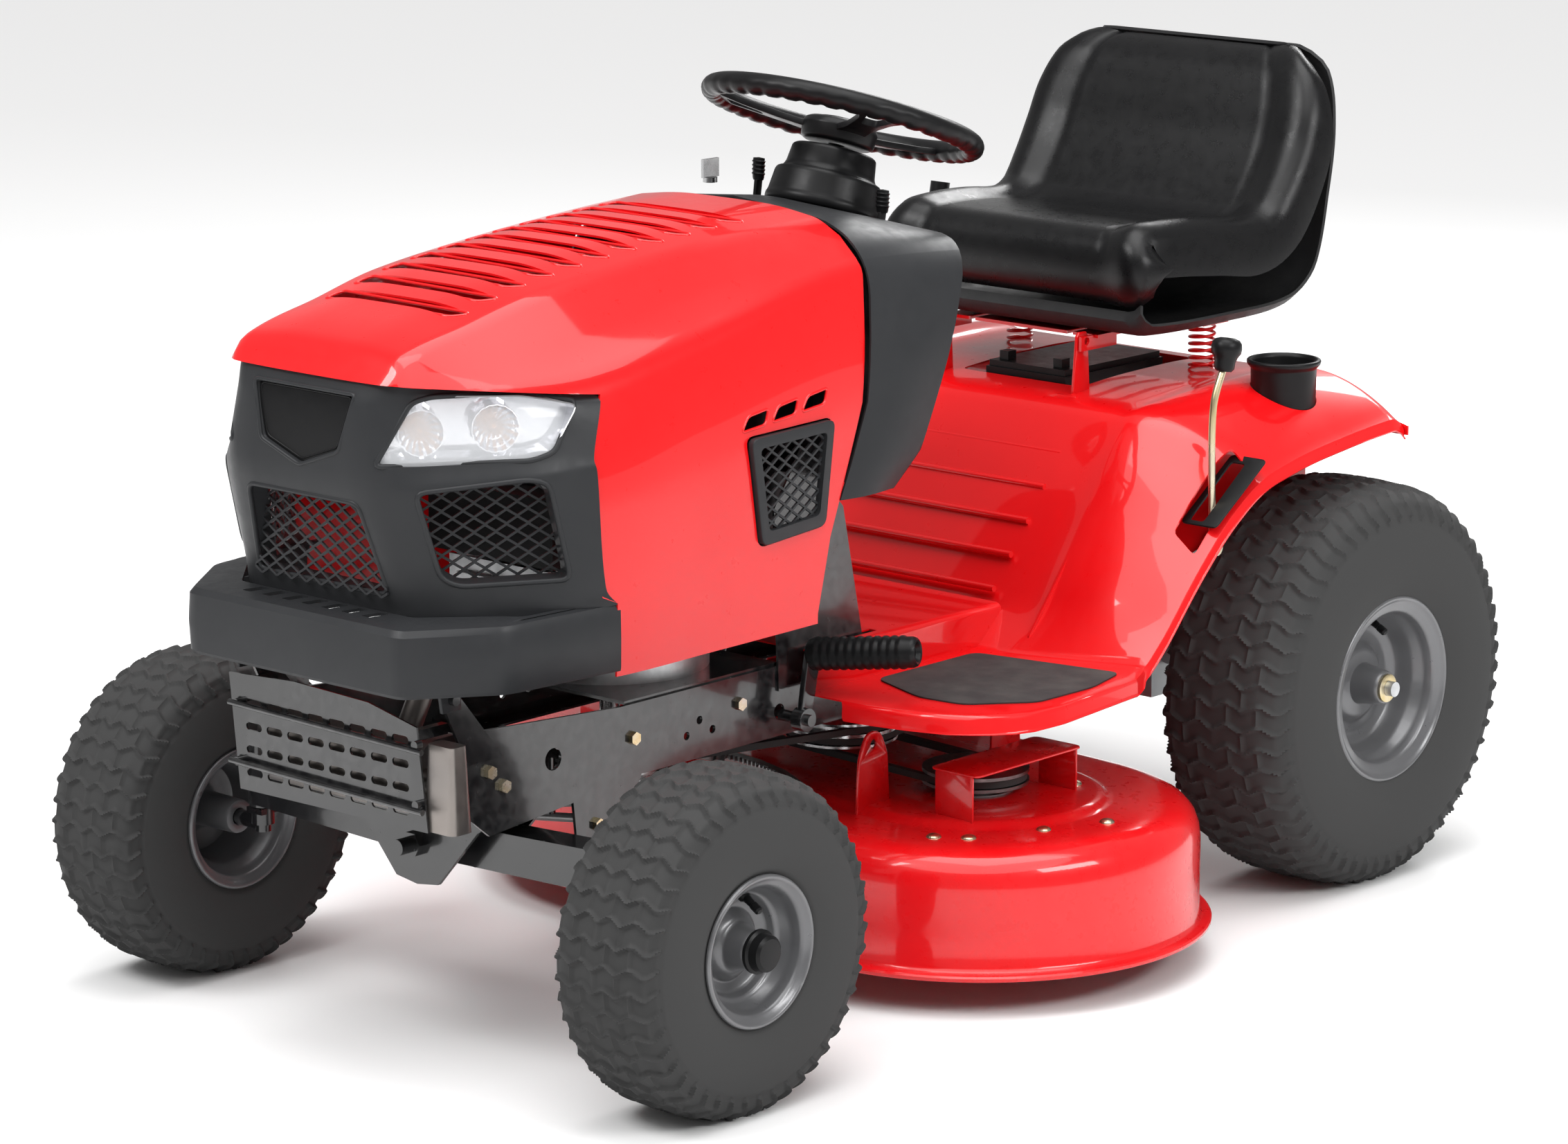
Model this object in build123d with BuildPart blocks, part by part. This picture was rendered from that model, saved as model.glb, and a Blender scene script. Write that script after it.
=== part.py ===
from build123d import *
import math
import os

os.makedirs("parts", exist_ok=True)

# A riding lawn mower: petrol engine under a tilting hood, a pressed fender body with running
# boards, a tilting seat and a twin-blade deck slung under the frame.
# Millimetres. X runs across (the driver's left is +), Y from the nose (-) to the back (+), Z up.
# The origin is on the ground under the middle of the rear axle.

# ------------------------------------------------------------------ driving sizes
WHEELBASE = 1226.0
FRONT_TRACK = 830.0
REAR_TRACK = 713.0
FRONT_TYRE_D, FRONT_TYRE_W, FRONT_RIM_D = 381.0, 152.0, 152.0
REAR_TYRE_D, REAR_TYRE_W, REAR_RIM_D = 508.0, 203.0, 203.0
AXLE_R = 9.5            # 3/4 inch axle stubs, kingpins and the rear axle
RUNNING = 0.05          # radial clearance of a shaft turning in its bore
GAP = 0.6               # clearance between neighbours that move past each other
SHEET = 2.0             # pressed steel skins
MOULD = 3.5             # moulded plastic skins

FRONT_Y = -WHEELBASE
FRONT_Z = FRONT_TYRE_D / 2
REAR_Z = REAR_TYRE_D / 2

RAIL_X, RAIL_WEB, RAIL_FLANGE = 150.0, 4.0, 26.0
RAIL_TOP, RAIL_BOTTOM = 385.0, 300.0
RAIL_FRONT_Y, RAIL_REAR_Y = FRONT_Y - 122, 150.0
RAIL_IN = RAIL_X - RAIL_WEB / 2

PIVOT_Z = 234.0         # height of the pin the front axle rocks on
KINGPIN_X = FRONT_TRACK / 2 - 103
STEER_ARM = 90.0        # length of the steering arms, and of the sector's own arm
STEER_ARM_Z = 204.0
SECTOR_Y = FRONT_Y + 166
SECTOR_Z = 240.0

HOOD_NOSE_Y = FRONT_Y - 217
HOOD_REAR_Y = -749.0
HOOD_PIVOT_Y, HOOD_PIVOT_Z = FRONT_Y - 152, 448.0
BUMPER_Y = HOOD_NOSE_Y - 17
BUMPER_LOW, BUMPER_HIGH = 462.0, 538.0
ENGINE_Y = FRONT_Y + 270

WHEEL_Y, WHEEL_Z, WHEEL_R, WHEEL_TUBE = -542.0, 991.0, 162.0, 14.0
COLUMN_TILT = 19.9      # degrees that the steering shaft leans back
SHAFT_R = 9.5

FLOOR_Z = 350.0         # top of the running boards
FENDER_Z = 618.0        # top of the seat deck
FENDER_X = 262.0        # where the seat deck turns over into the wheel arch
FENDER_LIP_X = 400.0
FENDER_REAR_Y = 92.0
TUNNEL_X, TUNNEL_Z = 176.0, 400.0

SEAT_PIVOT_Y, SEAT_PIVOT_Z = -215.0, 688.0
EAR_HALF_X = 112.0
SHIFT_X, SHIFT_Y, SHIFT_Z = 369.0, -275.0, 470.0
LIFT_X, LIFT_Y, LIFT_Z = -330.0, -20.0, 548.0

DECK_Y, DECK_END_X, DECK_R = -575.0, 245.0, 272.0
DECK_LOW, DECK_TOP, DECK_WALL, DECK_LIP = 48.0, 200.0, 3.0, 15.0
BELT_Z = 222.0          # middle of the deck belt
DRIVE_Z = 274.0         # middle of the two grooves of the drive pulleys


# ------------------------------------------------------------------ helpers
def save(piece, name):
    """Label a finished piece and write its own STEP file."""
    piece.part.label = name
    export_step(piece.part, f"parts/{name}.step")


def plate(plane, outline, thickness, mode=Mode.ADD):
    """A flat plate with its outline in a plane, half its thickness each side of it."""
    with BuildSketch(plane) as face:
        with BuildLine():
            Polyline(*outline, close=True)
        make_face()
    extrude(face.sketch, amount=thickness / 2, both=True, mode=mode)


def mirrored(half):
    """A closed outline from its right half, listed from the bottom to the top."""
    return [*half, *[(-x, z) for x, z in reversed(half) if x > 0]]


def disc(centre, direction, radius, length, mode=Mode.ADD):
    """A cylinder that starts at a point and runs along a direction."""
    with BuildSketch(Plane(origin=centre, z_dir=direction)) as face:
        Circle(radius)
    extrude(face.sketch, amount=length, mode=mode)


def block(low, high, mode=Mode.ADD):
    """A box between two corners."""
    size = [b - a for a, b in zip(low, high)]
    middle = [(a + b) / 2 for a, b in zip(low, high)]
    with Locations(tuple(middle)):
        Box(*size, mode=mode)


def bent_rod(points, radii, radius):
    """A round rod along straight runs joined by tangent bends."""
    with BuildLine() as path:
        FilletPolyline(*points, radius=radii)
    line = path.line
    with BuildSketch(Plane(origin=line @ 0, z_dir=line % 0)) as face:
        Circle(radius)
    sweep(face.sketch, path=line)


def ring_profile(origin, points, holes=()):
    """Revolve a profile of (offset along X, radius) points about an X axis through origin."""
    with BuildSketch(Plane(origin=origin, x_dir=(1, 0, 0), z_dir=(0, 0, 1))) as face:
        for outline in points:
            with BuildLine():
                Polyline(*outline, close=True)
            make_face()
        for outline in holes:
            with BuildLine():
                Polyline(*outline, close=True)
            make_face(mode=Mode.SUBTRACT)
    revolve(face.sketch, axis=Axis(origin, (1, 0, 0)))


def rectangle(x0, x1, y0, y1):
    """The four corners of an upright rectangle."""
    return [(x0, y0), (x1, y0), (x1, y1), (x0, y1)]


# ------------------------------------------------------------------ wheels
def tyre(name, centre, diameter, width, rim_d):
    """A hollow pneumatic tyre with square turf shoulders."""
    outer, bead, wall = diameter / 2, rim_d / 2, 7.0
    half, height = width / 2, (diameter - rim_d) / 2
    bead_x = half - 0.1 * width
    right = [
        (bead_x, bead),
        (bead_x, bead + 0.16 * height),
        (half, bead + 0.36 * height),
        (half, bead + 0.6 * height),
        (half - 0.06 * width, outer - 0.1 * height),
        (half - 0.16 * width, outer),
    ]
    inner = [
        (bead_x - wall, bead - 1),
        (bead_x - wall, bead + 0.2 * height),
        (half - wall, bead + 0.4 * height),
        (half - wall, bead + 0.6 * height),
        (half - 0.1 * width - wall, outer - 2 * wall),
    ]
    with BuildPart() as rubber:
        ring_profile(centre, [mirrored(right)], [mirrored(inner)])
    save(rubber, name)


def rim(centre, side, width, rim_d, flange_r, dish, capped):
    """A pressed steel rim: barrel, two flanges, a dished disc, the hub tube and its cap."""
    bead, bead_x, skin = rim_d / 2, width / 2 - 0.1 * width, 3.0
    flange_x = bead_x + skin
    hub_r, hub_half = 2.2 * AXLE_R, width / 2 - HUB_INSET
    with BuildPart() as steel:
        shapes = [
            rectangle(-flange_x, flange_x, bead - skin, bead),
            rectangle(bead_x, flange_x, bead - skin, flange_r),
            rectangle(-flange_x, -bead_x, bead - skin, flange_r),
            rectangle(side * dish - skin / 2, side * dish + skin / 2, AXLE_R + RUNNING, bead - 1),
            rectangle(-hub_half, hub_half, AXLE_R + RUNNING, hub_r),
        ]
        ring_profile(centre, shapes)
        valve = (centre[0] + side * dish, centre[1], centre[2] + 0.62 * bead)
        disc(valve, (side, 0, 0), 4, 22)
        if capped:
            face = (centre[0] + side * (hub_half + 1), centre[1], centre[2])
            disc(face, (side, 0, 0), CAP_R, CAP_LENGTH)
            disc(face, (side, 0, 0), AXLE_R + 1, CAP_LENGTH - 6, Mode.SUBTRACT)
    return steel


FRONT_FLANGE_R, REAR_FLANGE_R = 87.0, 119.5
HUB_INSET = 14.0        # from the tyre's side to the end of the hub tube
CAP_R, CAP_LENGTH = 24.0, 22.0
for side, hand in ((1, "left"), (-1, "right")):
    front = (side * FRONT_TRACK / 2, FRONT_Y, FRONT_Z)
    rear = (side * REAR_TRACK / 2, 0, REAR_Z)
    tyre(f"front_tyre_{hand}", front, FRONT_TYRE_D, FRONT_TYRE_W, FRONT_RIM_D)
    tyre(f"rear_tyre_{hand}", rear, REAR_TYRE_D, REAR_TYRE_W, REAR_RIM_D)
    front_size = (FRONT_TYRE_W, FRONT_RIM_D, FRONT_FLANGE_R, 22)
    rear_size = (REAR_TYRE_W, REAR_RIM_D, REAR_FLANGE_R, 30)
    save(rim(front, side, *front_size, capped=True), f"front_rim_{hand}")
    save(rim(rear, side, *rear_size, capped=False), f"rear_rim_{hand}")

# ------------------------------------------------------------------ frame
LOBE_Y0, LOBE_Y1, LOBE_Z = FRONT_Y + 60, FRONT_Y + 128, 222.0
AXLE_ARCH_Z = PIVOT_Z + 54       # underside of the rails over the rocking axle
rail_outline = [
    (RAIL_FRONT_Y, RAIL_TOP + 16),
    (LOBE_Y1, RAIL_TOP),
    (RAIL_REAR_Y, RAIL_TOP),
    (RAIL_REAR_Y, RAIL_TOP - 55),
    (RAIL_REAR_Y - 90, RAIL_BOTTOM),
    (LOBE_Y1 + 36, RAIL_BOTTOM),
    (LOBE_Y1, LOBE_Z),
    (LOBE_Y0, LOBE_Z),
    (LOBE_Y0 - 8, AXLE_ARCH_Z),
    (RAIL_FRONT_Y + 40, AXLE_ARCH_Z - 12),
    (RAIL_FRONT_Y, AXLE_ARCH_Z + 20),
]
RAIL_BOLTS = [(FRONT_Y - 82, 350), (FRONT_Y - 60, 330), (FRONT_Y + 90, 255), (FRONT_Y + 150, 345),
              (FRONT_Y + 330, 352), (-560, 345), (-300, 345), (60, 345)]
RAIL_HOLES = [(FRONT_Y + 20, 345, 13), (FRONT_Y + 240, 330, 5), (FRONT_Y + 262, 345, 5),
              (FRONT_Y + 284, 330, 5), (FRONT_Y + 400, 330, 9), (-420, 345, 9)]
BOLT_R = 4.8
with BuildPart() as frame_rails:
    for side in (-1, 1):
        plate(Plane.YZ.offset(side * RAIL_X), rail_outline, RAIL_WEB)
        flange_x = sorted((side * RAIL_IN, side * (RAIL_IN - RAIL_FLANGE)))
        block((flange_x[0], LOBE_Y1 + 40, RAIL_TOP - 3), (flange_x[1], RAIL_REAR_Y, RAIL_TOP))
        block((flange_x[0], LOBE_Y1 + 40, RAIL_BOTTOM), (flange_x[1], 50, RAIL_BOTTOM + 3))
    for y, z in RAIL_BOLTS:
        disc((-RAIL_X - 9, y, z), (1, 0, 0), BOLT_R + 0.4, 2 * RAIL_X + 18, Mode.SUBTRACT)
    for y, z, radius in RAIL_HOLES:
        disc((-RAIL_X - 9, y, z), (1, 0, 0), radius, 2 * RAIL_X + 18, Mode.SUBTRACT)
save(frame_rails, "frame_rails")

LEG_X = RAIL_X + RAIL_WEB / 2
PEDAL_X, PEDAL_Y, PEDAL_Z, PEDAL_PIN_R = 186.0, -822.0, 325.0, 7.0
HITCH_HOLE_R, HITCH_T = 8.0, 6.0
HITCH_Y, HITCH_Z = RAIL_REAR_Y + 48, 300.0
BATTERY_X, BATTERY_BACK_Y, BATTERY_LOW, BATTERY_HIGH = 6.0, 5.0, 470.0, 645.0
cross_plate_y = [(ENGINE_Y - 130, ENGINE_Y + 130), (-330, -250), (90, RAIL_REAR_Y)]
with BuildPart() as frame_plates:
    for y0, y1 in cross_plate_y:
        block((-RAIL_IN, y0, RAIL_TOP), (RAIL_IN, y1, RAIL_TOP + 4))
    disc((0, ENGINE_Y, RAIL_TOP - 1), (0, 0, 1), 42, 6, Mode.SUBTRACT)
    # the steering support: a shelf across the rails that holds the sector's pin
    block((-RAIL_IN, SECTOR_Y - 30, RAIL_BOTTOM + 4), (RAIL_IN, SECTOR_Y + 30, RAIL_BOTTOM + 8))
    disc((0, SECTOR_Y, SECTOR_Z - 14), (0, 0, 1), 8, RAIL_BOTTOM + 6 - SECTOR_Z + 14)
    # the pin that the brake pedal turns on
    disc((RAIL_X + RAIL_WEB / 2, PEDAL_Y, PEDAL_Z), (1, 0, 0), PEDAL_PIN_R, PEDAL_X - RAIL_X + 12)
    # legs that carry the dash
    for side in (-1, 1):
        leg = [(-830, RAIL_TOP - 30), (-672, RAIL_TOP - 30), (-716, 560), (-754, 600), (-754, 640),
               (-790, 640), (-838, 575)]
        plate(Plane.YZ.offset(side * (LEG_X + 1.5)), leg, 3)
        # posts with the pins that the hood turns on
        post = [(HOOD_PIVOT_Y - 12, HOOD_PIVOT_Z + 10), (HOOD_PIVOT_Y + 12, HOOD_PIVOT_Z + 10),
                (RAIL_FRONT_Y + 60, RAIL_TOP - 20), (RAIL_FRONT_Y + 4, RAIL_TOP - 20)]
        plate(Plane.YZ.offset(side * (LEG_X + 2)), post, 4)
        disc((side * LEG_X, HOOD_PIVOT_Y, HOOD_PIVOT_Z), (side, 0, 0), 6, 22)
    # the hitch plate across the back, with its tongue
    block((-RAIL_X - 2, RAIL_REAR_Y, HITCH_Z - HITCH_T), (RAIL_X + 2, RAIL_REAR_Y + 5, RAIL_TOP))
    with BuildSketch(Plane.XY.offset(HITCH_Z - HITCH_T)) as tongue:
        with BuildLine():
            Polyline((-60, RAIL_REAR_Y), (60, RAIL_REAR_Y), (30, HITCH_Y + 20),
                     (-30, HITCH_Y + 20), close=True)
        make_face()
        with Locations((0, HITCH_Y)):
            Circle(HITCH_HOLE_R, mode=Mode.SUBTRACT)
    extrude(tongue.sketch, amount=HITCH_T)
    # battery tray
    block((-RAIL_IN, BATTERY_BACK_Y - 210, RAIL_TOP), (RAIL_IN, BATTERY_BACK_Y + 10, RAIL_TOP + 4))
    for x in (BATTERY_X - 75, BATTERY_X + 71):
        block((x, BATTERY_BACK_Y - 205, RAIL_TOP + 4), (x + 4, BATTERY_BACK_Y + 5, BATTERY_LOW))
    block((BATTERY_X - 75, BATTERY_BACK_Y - 205, BATTERY_LOW - 4),
          (BATTERY_X + 75, BATTERY_BACK_Y + 5, BATTERY_LOW))
save(frame_plates, "frame_plates")

V_FRONT_Y, V_REAR_Y, V_PLATE = FRONT_Y - 46, FRONT_Y + 46, 5.0
v_outline = mirrored([(0, 185), (34, 190), (98, 262), (RAIL_IN, AXLE_ARCH_Z + 4),
                      (RAIL_IN, AXLE_ARCH_Z + 14)])
with BuildPart() as front_pivot_bracket:
    for y in (V_FRONT_Y, V_REAR_Y):
        plate(Plane.XZ.offset(-y), v_outline, V_PLATE)
    block((-RAIL_IN, V_FRONT_Y, AXLE_ARCH_Z + 10), (RAIL_IN, V_REAR_Y, AXLE_ARCH_Z + 14))
    disc((0, V_FRONT_Y - 34, PIVOT_Z), (0, 1, 0), AXLE_R, V_REAR_Y - V_FRONT_Y + 50)
    for y in (V_FRONT_Y - V_PLATE / 2 - 10, V_REAR_Y + V_PLATE / 2):
        with BuildSketch(Plane.XZ.offset(-y)) as hexagon:
            with Locations((0, PIVOT_Z)):
                RegularPolygon(15, 6)
        extrude(hexagon.sketch, amount=-10)
save(front_pivot_bracket, "front_pivot_bracket")

BEAM_HALF_Y, BEAM_HALF_Z, TUBE_R = 22.0, 24.0, 16.0
TUBE_LOW, TUBE_HIGH = STEER_ARM_Z + 8.5, 288.0
with BuildPart() as front_axle_bar:
    beam = mirrored([(0, PIVOT_Z - BEAM_HALF_Z), (KINGPIN_X - 6, TUBE_LOW + 6), (KINGPIN_X - 6, 268),
                     (70, PIVOT_Z + BEAM_HALF_Z), (0, PIVOT_Z + BEAM_HALF_Z)])
    plate(Plane.XZ.offset(-FRONT_Y), beam, 2 * BEAM_HALF_Y)
    for side in (-1, 1):
        disc((side * KINGPIN_X, FRONT_Y, TUBE_LOW), (0, 0, 1), TUBE_R, TUBE_HIGH - TUBE_LOW)
        bore_start = (side * KINGPIN_X, FRONT_Y, TUBE_LOW - 1)
        disc(bore_start, (0, 0, 1), AXLE_R + RUNNING, TUBE_HIGH - TUBE_LOW + 2, Mode.SUBTRACT)
    disc((0, FRONT_Y - 30, PIVOT_Z), (0, 1, 0), AXLE_R + RUNNING, 60, Mode.SUBTRACT)
save(front_axle_bar, "front_axle_bar")

RAIL_BOLT_HEAD = 8.0
with BuildPart() as frame_bolts:
    for side in (-1, 1):
        for y, z in RAIL_BOLTS:
            start = (side * (RAIL_IN - 8), y, z)
            disc(start, (side, 0, 0), BOLT_R, 8 + RAIL_WEB + 4)
            with BuildSketch(Plane(origin=(side * LEG_X, y, z), z_dir=(side, 0, 0))) as head:
                RegularPolygon(RAIL_BOLT_HEAD, 6)
            extrude(head.sketch, amount=6)
save(frame_bolts, "frame_bolts")

# ------------------------------------------------------------------ steering
STUB_END = FRONT_TRACK / 2 + FRONT_TYRE_W / 2 - HUB_INSET + CAP_LENGTH - 8
for side, hand in ((1, "left"), (-1, "right")):
    x = side * KINGPIN_X
    arm_end_y = FRONT_Y + STEER_ARM
    with BuildPart() as spindle:
        disc((x, FRONT_Y, FRONT_Z - AXLE_R), (0, 0, 1), AXLE_R, TUBE_HIGH + 6 - FRONT_Z + AXLE_R)
        disc((x, FRONT_Y, TUBE_HIGH + GAP), (0, 0, 1), 14, 5)
        disc((x, FRONT_Y, FRONT_Z), (side, 0, 0), AXLE_R, STUB_END - KINGPIN_X)
        low_x, high_x = sorted((x - 13, x + 13))
        block((low_x, FRONT_Y - 14, STEER_ARM_Z), (high_x, arm_end_y + 12, STEER_ARM_Z + 7))
        disc((x, FRONT_Y, FRONT_Z), (0, 0, 1), 14, STEER_ARM_Z - FRONT_Z + 7)
        disc((x, arm_end_y, STEER_ARM_Z - 14), (0, 0, 1), 5, 16)
    save(spindle, f"spindle_{hand}")

    link_z = STEER_ARM_Z - 7.5
    pin_gap = 20.0
    start = Vector(side * pin_gap, SECTOR_Y + STEER_ARM, link_z)
    end = Vector(x, arm_end_y, link_z)
    with BuildPart() as drag_link:
        run = end - start
        disc(tuple(start), tuple(run), 5.5, run.length)
        disc((x, arm_end_y, link_z - 6), (0, 0, 1), 12, 12)
        disc((*tuple(start)[:2], link_z - 6), (0, 0, 1), 9, 12)
        disc((x, arm_end_y, link_z - 7), (0, 0, 1), 5 + RUNNING, 14, Mode.SUBTRACT)
        disc((*tuple(start)[:2], link_z - 7), (0, 0, 1), 5, 14, Mode.SUBTRACT)
    save(drag_link, f"drag_link_{hand}")

tilt = math.radians(COLUMN_TILT)
column_up = (0, math.sin(tilt), math.cos(tilt))


def on_column(height):
    """The point of the steering shaft's axis at a height above the ground."""
    return (0, WHEEL_Y + (height - WHEEL_Z) * math.tan(tilt), height)


PINION_R, TOOTH = 34.0, 4.0
PINION_Z = SECTOR_Z + 12         # the leaning pinion's rear edge is level with the sector
PINION_OFFSET = on_column(PINION_Z)[1] - SECTOR_Y
SECTOR_R = PINION_OFFSET + PINION_R + 2 * TOOTH + 1.5
SECTOR_RIM, SECTOR_T, SECTOR_TEETH = 12.0, 6.0, 44
SLOT_SWEEP, FAN_SWEEP = 41.0, 46.0
SLOT_INNER_R = PINION_OFFSET - PINION_R - TOOTH - 8


def sector_point(radius, angle, side=0.0):
    """A point on the sector at an angle from straight back, shifted sideways."""
    a = math.radians(angle)
    return (radius * math.sin(a) + side * math.cos(a),
            SECTOR_Y + radius * math.cos(a) - side * math.sin(a))


def sector_arc(radius, sweep, steps=8):
    """Points of an arc about the sector's pivot, from one side to the other."""
    return [sector_point(radius, sweep * (1 - 2 * step / steps)) for step in range(steps + 1)]


# The sector is a plate with a curved window. Its teeth point inwards from the window's far
# edge, so that it turns the same way as the steering wheel.
with BuildPart() as sector_gear:
    fan = [(0, SECTOR_Y - 22), (24, SECTOR_Y), *sector_arc(SECTOR_R + SECTOR_RIM, FAN_SWEEP),
           (-24, SECTOR_Y)]
    plate(Plane.XY.offset(SECTOR_Z), fan, SECTOR_T)
    window = [*sector_arc(SECTOR_R, SLOT_SWEEP, 24), *reversed(sector_arc(SLOT_INNER_R, SLOT_SWEEP))]
    plate(Plane.XY.offset(SECTOR_Z), window, 2 * SECTOR_T, Mode.SUBTRACT)
    for step in range(SECTOR_TEETH):
        angle = SLOT_SWEEP * 0.9 * (2 * (step + 0.5) / SECTOR_TEETH - 1)
        tooth = [sector_point(SECTOR_R + 3, angle, -2.6), sector_point(SECTOR_R - TOOTH, angle, -1),
                 sector_point(SECTOR_R - TOOTH, angle, 1), sector_point(SECTOR_R + 3, angle, 2.6)]
        plate(Plane.XY.offset(SECTOR_Z), tooth, SECTOR_T)
    disc((0, SECTOR_Y, SECTOR_Z - 4), (0, 0, 1), 8 + RUNNING, 8, Mode.SUBTRACT)
    pin_foot = STEER_ARM_Z - 16
    disc((0, SECTOR_Y + STEER_ARM, pin_foot), (0, 0, 1), 5, SECTOR_Z - pin_foot)
save(sector_gear, "sector_gear")

with BuildPart() as steering_shaft:
    foot = on_column(PINION_Z)
    disc(foot, column_up, SHAFT_R, (WHEEL_Z - 42 - PINION_Z) / math.cos(tilt))
    with BuildSketch(Plane(origin=foot, x_dir=(1, 0, 0), z_dir=column_up)) as pinion:
        Circle(PINION_R)
        with PolarLocations(PINION_R, 12):
            Rectangle(2 * TOOTH, 4.5)
    extrude(pinion.sketch, amount=7, both=True)
save(steering_shaft, "steering_shaft")

HUB_R, HUB_DROP = 46.0, 34.0
wheel_plane = Plane(origin=(0, WHEEL_Y, WHEEL_Z), x_dir=(1, 0, 0), z_dir=column_up)


def wheel_point(across, back, up):
    """A point given in the steering wheel's own plane."""
    return tuple(wheel_plane.from_local_coords((across, back, up)))


with BuildPart() as steering_wheel:
    with BuildSketch(Plane(origin=wheel_point(WHEEL_R, 0, 0), x_dir=(1, 0, 0),
                           z_dir=tuple(wheel_plane.y_dir))) as tube:
        Circle(WHEEL_TUBE)
    revolve(tube.sketch, axis=Axis((0, WHEEL_Y, WHEEL_Z), column_up))
    disc(wheel_point(0, 0, -HUB_DROP), column_up, HUB_R, 26)
    for angle in (-30, 90, 210):
        a = math.radians(angle)
        inner = (0.6 * HUB_R * math.cos(a), 0.6 * HUB_R * math.sin(a), -HUB_DROP + 12)
        outer = (WHEEL_R * math.cos(a), WHEEL_R * math.sin(a), 0)
        root, tip = Vector(*wheel_point(*inner)), Vector(*wheel_point(*outer))
        spoke = tip - root
        flat = Plane(origin=root, x_dir=spoke.cross(Vector(*column_up)), z_dir=spoke)
        with BuildSketch(flat) as section:
            Rectangle(30, 9)
        extrude(section.sketch, amount=spoke.length)
    disc(wheel_point(0, 0, -HUB_DROP - 1), column_up, SHAFT_R + RUNNING, HUB_DROP - 14,
         Mode.SUBTRACT)
save(steering_wheel, "steering_wheel")

# ------------------------------------------------------------------ hood
# Half sections of the closed nose and hood, bottom to top, each at a distance behind the nose.
NOSE_SECTIONS = [
    (0.0, [(90, 456), (92, 560), (90, 671), (84, 740), (80, 782), (0, 786)]),
    (20.0, [(140, 456), (145, 560), (140, 683), (128, 770), (118, 797), (0, 802)]),
    (34.0, [(160, 456), (165, 560), (156, 683), (142, 776), (125, 823), (0, 828)]),
    (147.0, [(224, 456), (228, 560), (222, 688), (204, 776), (128, 848), (0, 860)]),
    (238.0, [(251, 456), (252, 560), (247, 690), (224, 786), (131, 866), (0, 880)]),
]
HOOD_SECTIONS = [
    (0.39, [(254, 456), (255, 560), (251, 700), (230, 815), (136, 884), (0, 903)]),
    (0.78, [(255, 456), (255, 560), (252, 730), (232, 850), (141, 893), (0, 914)]),
    (1.0, [(255, 456), (255, 560), (250, 750), (227, 864), (148, 902), (0, 916)]),
]
HOOD_WALL = 2.5
hood_start_y = HOOD_NOSE_Y + NOSE_SECTIONS[-1][0]
hood_stations = [(HOOD_NOSE_Y + back, half) for back, half in NOSE_SECTIONS]
hood_stations += [(hood_start_y + part * (HOOD_REAR_Y - hood_start_y), half)
                  for part, half in HOOD_SECTIONS]


def shrunk(half, wall):
    """A half section drawn in by a wall and left open at the bottom."""
    lowered = [(max(x - wall, 0), z - wall) for x, z in half]
    lowered[0] = (half[0][0] - wall, half[0][1] - 5)
    return lowered


def hood_skin(wall):
    """The whole thin shell of nose and hood, before it is divided between the pieces."""
    with BuildPart() as skin:
        sections = []
        for y, half in hood_stations:
            with BuildSketch(Plane.XZ.offset(-y)) as section:
                with BuildLine():
                    Polyline(*mirrored(half), close=True)
                make_face()
            sections.append(section.sketch)
        loft(sections, ruled=True)
        hollow = []
        for index, (y, half) in enumerate(hood_stations):
            y_in = y + wall if index == 0 else y + (1 if y == hood_stations[-1][0] else 0)
            with BuildSketch(Plane.XZ.offset(-y_in)) as section:
                with BuildLine():
                    Polyline(*mirrored(shrunk(half, wall)), close=True)
                make_face()
            hollow.append(section.sketch)
        loft(hollow, ruled=True, mode=Mode.SUBTRACT)
    return skin.part


HALF_SPAN = 300.0
FASCIA_CORNER_Y = hood_start_y
# The line between nose panel and hood, seen from the side.
fascia_edge = [(HOOD_NOSE_Y - 30, 797), (HOOD_NOSE_Y + 22, 797), (FASCIA_CORNER_Y, 771),
               (FASCIA_CORNER_Y - 25, 706), (FASCIA_CORNER_Y - 18, 547),
               (FASCIA_CORNER_Y + 2, BUMPER_HIGH), (HOOD_NOSE_Y - 30, BUMPER_HIGH)]
hood_rear_edge = [(-872, 440), (-872, 472), (-853, 560), (-795, 709), (-767, 864), (-749, 904),
                  (-749, 960), (-600, 960), (-600, 440)]
nose_below = [(HOOD_NOSE_Y - 30, BUMPER_HIGH + 1), (FASCIA_CORNER_Y + 9, BUMPER_HIGH + 1),
              (FASCIA_CORNER_Y + 9, 440), (HOOD_NOSE_Y - 30, 440)]

LOUVRES, LOUVRE_FIRST_Y, LOUVRE_LAST_Y = 11, HOOD_NOSE_Y + 147, -851.0
LOUVRE_HALF, LOUVRE_WIDE = 105.0, 15.0
VENT_OUTLINE = [(-990, 690), (-852, 690), (-866, 580), (-975, 572)]

with BuildPart() as hood_shell:
    add(hood_skin(HOOD_WALL))
    plate(Plane.YZ, fascia_edge, 2 * HALF_SPAN, Mode.SUBTRACT)
    plate(Plane.YZ, nose_below, 2 * HALF_SPAN, Mode.SUBTRACT)
    plate(Plane.YZ, hood_rear_edge, 2 * HALF_SPAN, Mode.SUBTRACT)
    for count in range(LOUVRES):
        y = LOUVRE_FIRST_Y + count * (LOUVRE_LAST_Y - LOUVRE_FIRST_Y) / (LOUVRES - 1)
        with BuildSketch(Plane.XY.offset(780)) as louvre:
            with Locations((0, y)):
                SlotOverall(2 * LOUVRE_HALF, LOUVRE_WIDE)
        extrude(louvre.sketch, amount=200, mode=Mode.SUBTRACT)
    plate(Plane.YZ, VENT_OUTLINE, 2 * HALF_SPAN, Mode.SUBTRACT)
save(hood_shell, "hood_shell")

# The nose's slanted side faces: distances along them run backwards from their middle.
SLANT_MID = (168.0, HOOD_NOSE_Y + 93)
SLANT_ALONG = Vector(0.586, 0.81, 0)


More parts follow.
